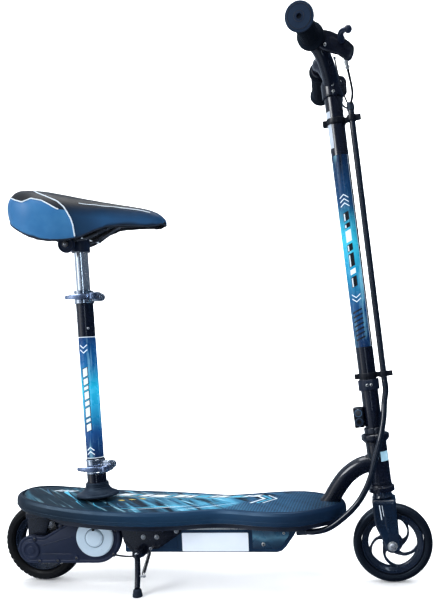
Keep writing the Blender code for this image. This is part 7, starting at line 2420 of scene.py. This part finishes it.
def make_clip(name, s):
    m = STEER @ at(0, 0, s)

    def rect(x0, x1, y0, y1, r=0.0015):
        return fillet([(x0, y0), (x1, y0), (x1, y1), (x0, y1)], [r] * 4, 3, True)

    parts = [(xform(flat_plate([circle(0, 0, 0.0178, 64), circle(0, 0, 0.01575, 64)], 0.0050), m), PLASTIC),
             (xform(flat_plate([rect(0.0162, 0.0262, -0.0070, -0.0010)], 0.0045), m), PLASTIC),
             (xform(flat_plate([circle(0.0290, -0.0100, 0.0085, 40), circle(0.0290, -0.0100, 0.00565, 40)], 0.0050), m), PLASTIC),
             (xform(flat_plate([rect(0.0362, 0.0450, -0.0135, -0.0065, 0.0018)], 0.0047), m), PLASTIC),
             (xform(flat_plate([rect(-0.0235, -0.0165, -0.0060, 0.0060, 0.0018)], 0.0048), m), PLASTIC)]
    for y in (-0.0172, 0.0172):
        parts.append((xform(flat_plate([rect(-0.0040, 0.0040, y - 0.0012, y + 0.0012, 0.0008)], 0.0036), m), PLASTIC))
    for h, b in (cross_screw(0.0021, 0.0010),):
        mm = m @ at(-0.0233, 0, 0) @ Matrix.Rotation(-math.pi / 2, 4, "Y")
        parts += [(xform(h, mm), ZINC), (xform(b, mm), RECESS_SHADE)]
    piece(name, "steering", parts, [name], 34)


make_clip("cable_clip_upper", 0.6650)
make_clip("cable_clip_lower", 0.2120)


def steer_point(s, x, y):
    return tuple(STEER @ Vector((x, y, s)))


SLEEVE = gloss_paint("sleeve_vinyl", (0.0030, 0.0062, 0.0150), (0.0055, 0.0105, 0.0220), 0.20)


def make_cables():
    up = spline([steer_point(s, 0.029, -0.010) for s in (0.6820, 0.6000, 0.5000, 0.3500, 0.2010)], 120)
    parts = [(tube(up, 0.00545, 24, True, dome=0.0010), SLEEVE)]
    cap = [steer_point(s, 0.029, -0.010) for s in (0.6920, 0.6900, 0.6860, 0.6790)]
    parts.append((tube(cap, 0, 24, True, radii=[0.0045, 0.0062, 0.0067, 0.0068]), RUBBER))
    piece("cable_sleeve_upper", "steering", parts, ["cable_sleeve_upper"], 40)
    line = [steer_point(0.2005, 0.029, -0.010), steer_point(0.1830, 0.029, -0.010), (0.3335, -0.0125, 0.3290), (0.3310, -0.0215, 0.3000), (0.3235, -0.0330, 0.2640),
            (0.3140, -0.0385, 0.2300), (0.3035, -0.0425, 0.1950), (0.2860, -0.0465, 0.1620), (0.2620, -0.0500, 0.1360), (0.2300, -0.0515, 0.1130),
            (0.2020, -0.0490, 0.1052), (0.1830, -0.0445, 0.1056), (0.1714, -0.0430, 0.1062)]
    pts = spline(line, 160)
    piece("cable_sleeve_lower", None, [(tube(pts, 0.00545, 24, True, dome=0.0008), SLEEVE)], ["cable_sleeve_lower"], 60,
          blend=("chassis", "steering", (0.2300, -0.0515, 0.1130), steer_point(0.1930, 0.029, -0.010)))
    gland = tube([pts[-1], pts[-3], pts[-6], pts[-9]], 0, 24, True, radii=[0.0090, 0.0088, 0.0074, 0.0068])
    piece("sleeve_gland", "chassis", [(gland, RUBBER)], [], 40)
    # brake cable with its adjuster, and the wires from the throttle and the brake switch
    bc = spline([(0.2905, -0.0660, 0.9030), (0.2925, -0.0610, 0.8930), (0.2975, -0.0420, 0.8650), steer_point(0.6880, 0.0300, -0.0125)], 60)
    parts = [(tube(bc, 0.0021, 16), WIRE_BLACK), (tube(bc[0:7], 0.0030, 20), ZINC), (tube(bc[3:6], 0.0042, 6), ZINC)]
    piece("brake_cable", "steering", parts, ["brake_cable"], 40)
    th = spline([(0.2730, 0.0660, 0.8945), (0.2745, 0.0580, 0.8800), (0.2830, 0.0250, 0.8620), steer_point(0.6880, 0.0280, -0.0070)], 60)
    sw = spline([(0.2700, -0.0600, 0.9190), (0.2740, -0.0480, 0.8970), (0.2800, -0.0200, 0.8760), (0.2870, -0.0080, 0.8590), steer_point(0.6880, 0.0280, -0.0070)], 70)
    parts = [(tube(th, 0.0018, 14), WIRE_BLACK), (tube(sw, 0.0014, 14), WIRE_BLACK), (tube(th[0:6], 0.0029, 16), RUBBER), (tube(sw[0:4], 0.0022, 16), RUBBER)]
    piece("control_harness", "steering", parts, ["control_harness"], 40)


make_cables()


def make_switch_box():
    m = STEER @ at(-0.0246, 0, 0.1385)
    parts = [(xform(bevel_box((-0.0090, -0.0140, -0.0180), (0.0090, 0.0140, 0.0180), 0.0022, 4), m), PLASTIC)]
    # lid seam
    parts.append((xform(bevel_box((-0.0093, 0.0012, -0.0176), (0.0090, 0.0026, 0.0176), 0.0006, 2), m), PLASTIC))
    for z in (0.0085, -0.0075):
        ring = fillet([(0.0053, -0.0006), (0.0053, 0.0012), (0.0066, 0.0012), (0.0072, 0.0004), (0.0072, -0.0006)], [0, 0.0003, 0.0004, 0.0002, 0], 2)
        parts.append((xform(turn_y(lathe(ring, 40, closed=True), -1), m @ at(0, -0.0140, z)), SOCKET_RING))
        # a dark disc inside each ring: painted shade for the socket's opening
        well = lathe([(0, 0.0001), (0.0054, 0.0001), (0.0054, -0.0004), (0, -0.0004)], 32)
        parts.append((xform(turn_y(well, -1), m @ at(0, -0.0143, z)), RECESS_SHADE))
    for z in (0.0150, -0.0150):
        mm = m @ at(0.0002, -0.0139, z) @ ALONG_Y
        h, b = cross_screw(0.0014, 0.0006)
        parts += [(xform(h, mm), ZINC), (xform(b, mm), RECESS_SHADE)]
    piece("switch_box", "steering", parts, ["switch_box"], 34)
    btn = fillet([(0, 0.0048), (0.0034, 0.0046), (0.0046, 0.0038), (0.0050, 0.0026), (0.0050, -0.0046), (0, -0.0046)], [0, 0.001, 0.001, 0.0006, 0, 0], 3)
    piece("power_button", "button", [(xform(turn_y(lathe(btn, 40), -1), STEER @ at(-0.0246, -0.0116, 0.1470)), BUTTON_RED)], ["power_button"], 40)
    socket_prof = fillet([(0, 0.0030), (0.0037, 0.0030), (0.0037, 0.0095), (0.0064, 0.0095), (0.0064, 0.0083), (0.0051, 0.0079), (0.0051, 0.0004), (0, 0.0004)], [0, 0, 0.0003, 0.0005, 0.0003, 0, 0, 0], 2)
    sm = STEER @ at(-0.0246, -0.0063, 0.1310)
    parts = [(xform(turn_y(lathe(socket_prof, 48), -1), sm), SATIN), (xform(turn_y(cylinder(0.0008, 0.0050, 16, 0.0002)), sm @ at(0, -0.0052, 0)), STEEL)]
    piece("charge_socket", "steering", parts, ["charge_socket"], 36)


SOCKET_RING = moulded("socket_ring", (0.060, 0.110, 0.180), (0.040, 0.080, 0.135), 0.34, 1200.0, 0.00004, 0.2)
BUTTON_RED = moulded("button_plastic", (0.030, 0.036, 0.048), (0.040, 0.048, 0.062), 0.40, 1200.0, 0.00004, 0.2)
make_switch_box()


# =====================================================================================
# Handlebar and controls
# =====================================================================================
ARM_HALF = [(0.2590, 0, 0.8890), (0.2585, 0.0120, 0.9000), (0.2560, 0.0240, 0.9130), (0.2510, 0.0345, 0.9280), (0.2440, 0.0405, 0.9420), (0.2368, 0.0465, 0.9502), (0.2351, 0.0535, 0.9516)]


def bar_frame(side, dist):
    a, b = Vector((0.2342, side * 0.0600, 0.9510)), Vector((0.2254, side * 0.1690, 0.9392))
    z = (b - a).normalized()
    x = Vector((1, 0, 0))
    x = (x - z * x.dot(z)).normalized()
    y = z.cross(x)
    m = Matrix((x, y, z)).transposed().to_4x4()
    m.translation = a + z * dist
    return m


BAR_LEN = (Vector((0.2254, 0.1690, 0.9392)) - Vector((0.2342, 0.0600, 0.9510))).length


def make_handlebar():
    arm = [(x, -y, z) for x, y, z in reversed(ARM_HALF[1:])] + ARM_HALF
    pts = spline(arm, 120)
    parts = [(tube(pts, 0.0137, 36, True, dome=0.004), PAINT)]
    for side in (-1, 1):
        parts.append((xform(cylinder(0.0111, BAR_LEN + 0.010, 40, 0.0006), bar_frame(side, (BAR_LEN - 0.010) / 2 - 0.001)), PAINT))
        step = fillet([(0.0108, -0.0075), (0.0134, -0.0062), (0.0134, -0.0050), (0.0113, -0.0030), (0.0108, -0.0020)], [0, 0.0006, 0.0006, 0.0008, 0], 3)
        parts.append((xform(lathe(step, 48, closed=True), bar_frame(side, 0.0)), PAINT))
    sleeve = fillet([(0.0157, 0.7075), (0.0180, 0.7075), (0.0186, 0.7082), (0.0186, 0.7318), (0.0178, 0.7325), (0, 0.7325), (0, 0.7284), (0.0157, 0.7284)], [0, 0.0005, 0.0005, 0.0008, 0.0008, 0, 0, 0], 3)
    parts.append((on_steer(sleeve, 72, closed=True), PAINT))
    bead = []
    for a in np.linspace(0, math.tau, 72, endpoint=False):
        wob = 1 + 0.03 * math.sin(a * 19)
        bead.append(STEER @ Vector((0.0150 * wob * math.cos(a), 0.0150 * wob * math.sin(a), 0.7338)))
    parts.append((tube(bead, 0.0022, 10, closed=True, caps=False), PAINT))
    piece("handlebar", "steering", parts, ["handlebar"], 38)
    # clamp bolts of the sleeve
    bits = []
    for s in (0.7135, 0.7250):
        mm = STEER @ at(0.0030, -0.0184, s) @ ALONG_Y
        h, b = cross_screw(0.0028, 0.0015)
        bits += [(xform(h, mm), ZINC), (xform(b, mm), RECESS_SHADE)]
    piece("sleeve_screws", "steering", bits, [], 34)


make_handlebar()

GRIP_LOW = 0.0145
GRIP_LEN = BAR_LEN + 0.0034 - GRIP_LOW


def grip_skin():
    """Rubber whose end discs, the faces that turn outward, are painted paler than the barrel: painted light."""
    k = Mat("grip_barrel_rubber", (0.0070, 0.0140, 0.0340), 0.58, spec=0.32, tint=(0.6, 0.8, 1.0))
    sep = k.node("ShaderNodeSeparateXYZ")
    k.l.new(k.coords(), sep.inputs[0])
    # the outer end faces get a paler colour: painted light on the faces that turn outward
    out = k.map(k.math("ABSOLUTE", sep.outputs[1], 0.0), 0.1660, 0.1690, 0.0, 1.0)
    end_face_light = k.mix(k.noise(30.0, 3.0), (0.0100, 0.0200, 0.0440), (0.0170, 0.0310, 0.0620))
    k.colour(k.mix(out, (0.0022, 0.0040, 0.0100), end_face_light))
    k.rough_vary(40.0, 0.48, 0.68)
    k.bump(k.noise(1600.0, 3.0, 0.7), 0.00014, 0.5)
    return k.m


GRIP_SKIN = grip_skin()
PERCH_LINE = moulded("grip_ring_line", (0.0040, 0.0080, 0.0190), (0.0060, 0.0110, 0.0240), 0.5, 1200.0, 0.00008, 0.3)


def make_grip(name, side, body, f, inner):
    L = GRIP_LEN
    prof = [(0.0040, L), (f - 0.0050, L - 0.0004), (f - 0.0012, L - 0.0008), (f, L - 0.0022), (f - 0.0008, L - 0.0056), (0.0172, L - 0.0080), (0.0160, L - 0.0110)]
    # ribbed barrel
    z = L - 0.0125
    while z > 0.0130:
        prof += [(0.0163, z), (0.0163, z - 0.0016), (0.0155, z - 0.0020), (0.0155, z - 0.0030)]
        z -= 0.0034
    prof += [(0.0163, 0.0100), (0.0170, 0.0085), (inner - 0.0008, 0.0062), (inner, 0.0046), (inner, 0.0012), (inner - 0.0010, 0.0), (0.0114, 0.0), (0.0114, L - 0.0030), (0.0040, L - 0.0030)]
    rad = [0.0003, 0.002, 0.0010, 0.0012, 0.0012, 0.0020, 0.0010] + [0] * (len(prof) - 7)
    prof = fillet(prof, rad, 3)
    m = bar_frame(side, GRIP_LOW)
    seg = 96

    def thumb(r, zz, a, j):
        # sixteen lengthwise ribs raised all round on the tops of the barrel's rings
        if 0.0158 < r < 0.0168 and 0.012 < zz < L - 0.012:
            return r + 0.00035 * (math.cos(a * 16) > 0.0), zz
        return r, zz

    parts = [(xform(lathe(prof, seg, closed=True, shape=thumb), m), GRIP_SKIN)]
    # ring lines on the end disc
    for r in (0.0080, f * 0.80):
        line = [(r + 0.00045 * math.cos(t), L - 0.0002 + 0.00045 * math.sin(t)) for t in np.linspace(0, math.tau, 8, endpoint=False)]
        parts.append((xform(lathe(line, 72, closed=True), m), PERCH_LINE))
    rim = fillet([(0.0040, L - 0.0012), (0.0046, L + 0.0004), (0.0058, L + 0.0004), (0.0062, L - 0.0012)], [0, 0.0004, 0.0004, 0], 3)
    parts.append((xform(lathe(rim, 40, closed=True), m), GRIP))
    piece(name, body, parts, [name], 40)


make_grip("grip_right", -1, "steering", 0.0232, 0.0232)
make_grip("throttle_grip", 1, "throttle", 0.0210, 0.0200)

PERCH = moulded("perch_plastic", (0.0028, 0.0040, 0.0105), (0.0050, 0.0070, 0.0165), 0.22, 800.0, 0.00004, 0.18, spec=0.5)


def control_ring(side, mat):
    ring = fillet([(0.0114, -0.0055), (0.0148, -0.0055), (0.0158, -0.0045), (0.0158, -0.0008), (0.0153, -0.0003), (0.0153, 0.0003), (0.0158, 0.0008), (0.0158, 0.0045), (0.0148, 0.0055), (0.0114, 0.0055)],
                  [0, 0.0008, 0.0008, 0, 0, 0, 0, 0.0008, 0.0008, 0], 3)
    return (xform(lathe(ring, 64, closed=True), bar_frame(side, 0.0076)), mat)


def make_perch():
    line = [(0.2420, 0.9380), (0.2450, 0.9560), (0.2560, 0.9600), (0.2680, 0.9560), (0.2800, 0.9490), (0.2960, 0.9370), (0.3040, 0.9285), (0.3030, 0.9190), (0.2985, 0.9100),
            (0.2905, 0.9060), (0.2850, 0.9130), (0.2760, 0.9200), (0.2640, 0.9240), (0.2520, 0.9290)]
    rad = [0.003, 0.004, 0.006, 0.008, 0.010, 0.006, 0.004, 0.004, 0.003, 0.003, 0.004, 0.006, 0.006, 0.004]
    line = fillet(line, rad, 5, True)
    parts = [(xform(plate([line], 0.0053, 0.0017, 4), at(0, -0.0674, 0)), PERCH), control_ring(-1, PERCH)]
    # a raised band along the body, the clamp bolt and the lever's pivot
    face = -0.0674 - 0.0053
    for x, z, r in ((0.2490, 0.9450, 0.0027), (0.2560, 0.9350, 0.0027)):
        mm = at(x, face - 0.0001, z) @ ALONG_Y
        h, b = cross_screw(r, 0.0015)
        parts += [(xform(h, mm), ZINC), (xform(b, mm), RECESS_SHADE)]
    inset = fillet([(0.2655, 0.9480), (0.2780, 0.9405), (0.2915, 0.9305), (0.2930, 0.9225), (0.2860, 0.9235), (0.2740, 0.9310), (0.2640, 0.9370)], [0.003] * 7, 4, True)
    parts.append((xform(plate([inset], 0.0010, 0.0006, 2), at(0, face + 0.0002, 0)), PERCH))
    pivot = xform(cylinder(0.0042, 0.0150, 32, 0.0008), at(0.2850, -0.0674, 0.9385))
    parts.append((pivot, PERCH))
    parts.append((xform(hex_head(0.0062, 0.0022), at(0.2850, -0.0674, 0.9456)), ZINC))
    barrel = xform(cylinder(0.0036, 0.0060, 28, 0.0005), at(0.2898, -0.0668, 0.9055) @ Matrix.Rotation(0.35, 4, "X"))
    parts.append((barrel, ZINC))
    piece("brake_perch", "steering", parts, ["brake_perch"], 36)
    # the lever: a forged blade that ends in a ball
    pts = spline([(0.2840, -0.0692, 0.9380), (0.2830, -0.0850, 0.9385), (0.2845, -0.1010, 0.9385), (0.2890, -0.1130, 0.9370), (0.2955, -0.1205, 0.9350)], 50)
    radii = [0.0049 - 0.0006 * (i / 49) for i in range(50)]
    lever = [(tube(pts, 0, 24, True, radii=radii, squash=(0.90, 1.12), normal=(0, 0, 1)), SATIN), (xform(ball(0.0064, 32, 20), at(0.2970, -0.1215, 0.9345)), SATIN)]
    piece("brake_lever", "lever", lever, ["brake_lever"], 44)


make_perch()


def make_throttle_housing():
    line = [(0.2400, 0.9380), (0.2440, 0.9450), (0.2500, 0.9440), (0.2620, 0.9370), (0.2780, 0.9330), (0.2830, 0.9260), (0.2835, 0.9050), (0.2780, 0.8975), (0.2680, 0.8975), (0.2600, 0.9040),
            (0.2540, 0.9200), (0.2460, 0.9310)]
    line = fillet(line, [0.002, 0.003, 0.004, 0.006, 0.005, 0.004, 0.006, 0.004, 0.004, 0.006, 0.008, 0.004], 5, True)
    parts = [(xform(plate([line], 0.0053, 0.0017, 4), at(0, 0.0674, 0)), PERCH), control_ring(1, PERCH)]
    seam = fillet([(0.2560, 0.9330), (0.2700, 0.9280), (0.2780, 0.9240), (0.2785, 0.9060), (0.2750, 0.9020), (0.2690, 0.9025), (0.2640, 0.9080), (0.2590, 0.9220)], [0.003] * 8, 4, True)
    for side in (-1, 1):
        parts.append((xform(plate([seam], 0.0009, 0.0005, 2), at(0, 0.0674 + side * 0.0052, 0)), PERCH))
    for x, z in ((0.2480, 0.9385), (0.2712, 0.9100), (0.2725, 0.9230)):
        mm = at(x, 0.0674 - 0.0060 + (0.0008 if x < 0.25 else 0), z) @ ALONG_Y
        h, b = cross_screw(0.0020, 0.0012)
        parts += [(xform(h, mm), ZINC), (xform(b, mm), RECESS_SHADE)]
    parts.append((xform(cylinder(0.0034, 0.0050, 24, 0.0005), at(0.2732, 0.0662, 0.8975)), RUBBER))
    piece("throttle_housing", "steering", parts, ["throttle_housing"], 36)


make_throttle_housing()


# =====================================================================================
# CAD nodes that are kept
# =====================================================================================
DEFAULT_FINISH = {
    "main_frame": PAINT, "deck_pan": SATIN, "deck_panel": SATIN, "deck_bumper": RUBBER, "battery_box": SATIN, "battery_pack": BATTERY,
    "speed_controller": ALU, "drive_cover": NAVY, "cover_cap": SILVER, "drive_motor": STEEL, "drive_chain": DARK_STEEL,
    "rear_axle": STEEL, "brake_band_cup": SATIN, "brake_cable_rear": WIRE_BLACK, "seat_socket": PAINT, "seat_socket_boot": RUBBER,
    "lower_post_clamp": CHROME, "kickstand_bracket": PAINT, "kickstand_spring": STEEL, "headset_lower_cup": PAINT,
    "headset_upper_cup": PAINT, "cable_sleeve_lower": WIRE_BLACK, "fork": PAINT, "stem_tube": PAINT, "steering_nut": PAINT,
    "cable_clip_upper": PLASTIC, "cable_clip_lower": PLASTIC, "cable_sleeve_upper": WIRE_BLACK, "brake_cable": WIRE_BLACK,
    "control_harness": WIRE_BLACK, "switch_box": PLASTIC, "charge_socket": STEEL, "handlebar": PAINT, "brake_perch": PLASTIC,
    "throttle_housing": PLASTIC, "grip_right": GRIP, "front_axle": STEEL, "front_rim": PAINT, "front_tyre": TYRE, "rear_rim": PAINT,
    "rear_tyre": TYRE, "rear_chain_wheel": STEEL, "brake_drum": STEEL, "drive_gear": STEEL, "motor_pinion": STEEL,
    "brake_lever": PAINT, "brake_arm": ZINC, "throttle_grip": GRIP, "power_button": PLASTIC, "kickstand_leg": PAINT,
    "kickstand_foot": RUBBER, "seat_tube": PAINT, "upper_post_clamp": CHROME, "seat_post": CHROME, "seat_clamp": PLASTIC,
    "seat_rails": STEEL, "seat_shell": PLASTIC, "seat_cushion": RUBBER, "upper_clamp_lever": CHROME, "lower_clamp_lever": CHROME,
}
hidden = set()
for obj in bpy.data.objects:
    hidden.update(list(obj.get("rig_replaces", [])))
CAD_FINISH = {k: v for k, v in DEFAULT_FINISH.items() if k not in hidden}
print("CAD nodes still shown:", sorted(CAD_FINISH))


# =====================================================================================
# Floor, light and camera
# =====================================================================================
def make_stage():
    k = Mat("studio_floor", (0.92, 0.925, 0.935), 0.8, spec=0.1)
    k.vary(0.8, (0.90, 0.905, 0.915))
    k.bump(k.noise(60.0, 2.0), 0.0002, 0.05)
    k.b.inputs["Emission Color"].default_value = (0.95, 0.97, 1.0, 1.0)
    k.b.inputs["Emission Strength"].default_value = 0.16
    prof = [(-3.2, 0.0), (1.6, 0.0)]
    for i in range(1, 13):
        a = math.pi / 2 * i / 12
        prof.append((1.6 + 1.4 * math.sin(a), 1.4 * (1 - math.cos(a))))
    prof.append((3.0, 5.0))
    verts, faces = [], []
    xs = np.linspace(-7.0, 7.0, 15)
    for y, z in prof:
        for x in xs:
            verts.append((x, y, z - 0.0004))
    n = len(xs)
    for i in range(len(prof) - 1):
        for j in range(n - 1):
            faces.append((i * n + j, i * n + j + 1, (i + 1) * n + j + 1, (i + 1) * n + j))
    me = bpy.data.meshes.new("studio_floor")
    me.from_pydata(verts, [], faces)
    me.materials.append(k.m)
    me.shade_smooth()
    ob = bpy.data.objects.new("studio_floor", me)
    SCENE.collection.objects.link(ob)
    ob.visible_glossy = False

    world = bpy.data.worlds.new("studio")
    SCENE.world = world
    world.use_nodes = True
    t = world.node_tree
    bg = t.nodes["Background"]
    bg.inputs["Color"].default_value = (0.93, 0.96, 1.0, 1.0)
    bg.inputs["Strength"].default_value = 0.42
    # what shiny parts mirror: a dim blue room, lighter on the left and overhead
    place = t.nodes.new("ShaderNodeTexCoord")
    sep = t.nodes.new("ShaderNodeSeparateXYZ")
    t.links.new(place.outputs["Generated"], sep.inputs[0])

    def ranged(value, lo, hi, top):
        nd = t.nodes.new("ShaderNodeMapRange")
        nd.interpolation_type = "SMOOTHSTEP"
        nd.inputs["From Min"].default_value = lo
        nd.inputs["From Max"].default_value = hi
        nd.inputs["To Min"].default_value = 0.0
        nd.inputs["To Max"].default_value = top
        t.links.new(value, nd.inputs["Value"])
        return nd.outputs["Result"]

    total = t.nodes.new("ShaderNodeMath")
    total.operation = "ADD"
    t.links.new(ranged(sep.outputs[0], -0.14, -0.52, 0.62), total.inputs[0])
    t.links.new(ranged(sep.outputs[2], 0.25, 0.95, 0.55), total.inputs[1])
    tint = t.nodes.new("ShaderNodeMix")
    tint.data_type = "RGBA"
    t.links.new(total.outputs[0], tint.inputs[0])
    tint.inputs[6].default_value = (0.016, 0.040, 0.085, 1.0)
    tint.inputs[7].default_value = (0.75, 0.86, 1.0, 1.0)
    mirror = t.nodes.new("ShaderNodeBackground")
    t.links.new(tint.outputs[2], mirror.inputs["Color"])
    ray = t.nodes.new("ShaderNodeLightPath")
    both = t.nodes.new("ShaderNodeMixShader")
    t.links.new(ray.outputs["Is Glossy Ray"], both.inputs[0])
    t.links.new(bg.outputs[0], both.inputs[1])
    t.links.new(mirror.outputs[0], both.inputs[2])
    plain = t.nodes.new("ShaderNodeBackground")
    plain.inputs["Color"].default_value = (0.97, 0.98, 1.0, 1.0)
    seen = t.nodes.new("ShaderNodeMixShader")
    t.links.new(ray.outputs["Is Camera Ray"], seen.inputs[0])
    t.links.new(both.outputs[0], seen.inputs[1])
    t.links.new(plain.outputs[0], seen.inputs[2])
    t.links.new(seen.outputs[0], t.nodes["World Output"].inputs["Surface"])

    def area(name, loc, target, size, energy, colour=(1, 1, 1), size_y=None, mirrored=True):
        la = bpy.data.lights.new(name, "AREA")
        la.shape = "RECTANGLE" if size_y else "SQUARE"
        la.size = size
        if size_y:
            la.size_y = size_y
        la.energy = energy
        la.color = colour
        ob = bpy.data.objects.new(name, la)
        SCENE.collection.objects.link(ob)
        d = Vector(target) - Vector(loc)
        ob.rotation_euler = d.to_track_quat("-Z", "Y").to_euler()
        ob.location = loc
        ob.visible_glossy = mirrored
        return ob

    area("key_left", (-1.6, -1.5, 1.9), (0.0, 0.0, 0.45), 1.1, 34, (0.98, 0.99, 1.0))
    area("strip_left", (-1.9, -1.1, 0.6), (-0.1, 0.0, 0.5), 0.95, 5.0, (1.0, 0.97, 0.94), 1.5)
    area("strip_mid", (0.55, -2.4, 0.9), (0.0, 0.0, 0.5), 0.12, 4.2, (0.76, 0.88, 1.0), 1.6)
    area("fill_right", (1.9, -0.7, 1.0), (0.1, 0.0, 0.5), 0.20, 9, (0.97, 0.99, 1.0), 1.7, False)
    area("top_soft", (0.0, 0.1, 2.6), (0.0, 0.0, 0.3), 1.8, 46, (0.98, 0.99, 1.0))
    area("back_left", (-1.5, 1.4, 1.4), (-0.1, 0.0, 0.5), 0.6, 16, (0.95, 0.98, 1.0), 1.6, False)
    area("back_right", (1.5, 1.3, 1.3), (0.2, 0.0, 0.5), 0.6, 12, (0.95, 0.98, 1.0), 1.4, False)
    area("wall_wash", (0.0, 1.3, 2.2), (0.0, 3.0, 1.1), 3.2, 95, (1.0, 1.0, 1.0), 0.8, False)
    SCENE.view_settings.view_transform = "Standard"
    SCENE.view_settings.look = "None"
    SCENE.view_settings.exposure = 0.10
    SCENE.view_settings.gamma = 0.87


def make_camera():
    f, w, h = 679.36, 440.0, 603.0
    yaw, pitch, roll = math.radians(8.189), math.radians(3.337), math.radians(2.396)
    fwd = Vector((-math.sin(yaw) * math.cos(pitch), math.cos(yaw) * math.cos(pitch), -math.sin(pitch)))
    right = Vector((math.cos(yaw), math.sin(yaw), 0))
    down = fwd.cross(right)
    r2 = right * math.cos(roll) + down * math.sin(roll)
    d2 = down * math.cos(roll) - right * math.sin(roll)
    m = Matrix((r2, -d2, -fwd)).transposed().to_4x4()
    m.translation = (0.3405, -1.2341, 0.4381)
    cam = bpy.data.cameras.new("camera")
    cam.sensor_fit = "AUTO"
    cam.sensor_width = 36.0
    cam.lens = f * 36.0 / h
    cam.shift_x = -(290.0 - w / 2) / h
    cam.shift_y = (385.0 - h / 2) / h
    cam.clip_start = 0.01
    ob = bpy.data.objects.new("camera", cam)
    SCENE.collection.objects.link(ob)
    ob.matrix_world = m
    SCENE.camera = ob


make_stage()
make_camera()

# CAD nodes that stay in view get procedural finishes
for node_name, node_mat in CAD_FINISH.items():
    node_obj = frame["nodes"][node_name]
    node_obj.data.materials.clear()
    node_obj.data.materials.append(node_mat)
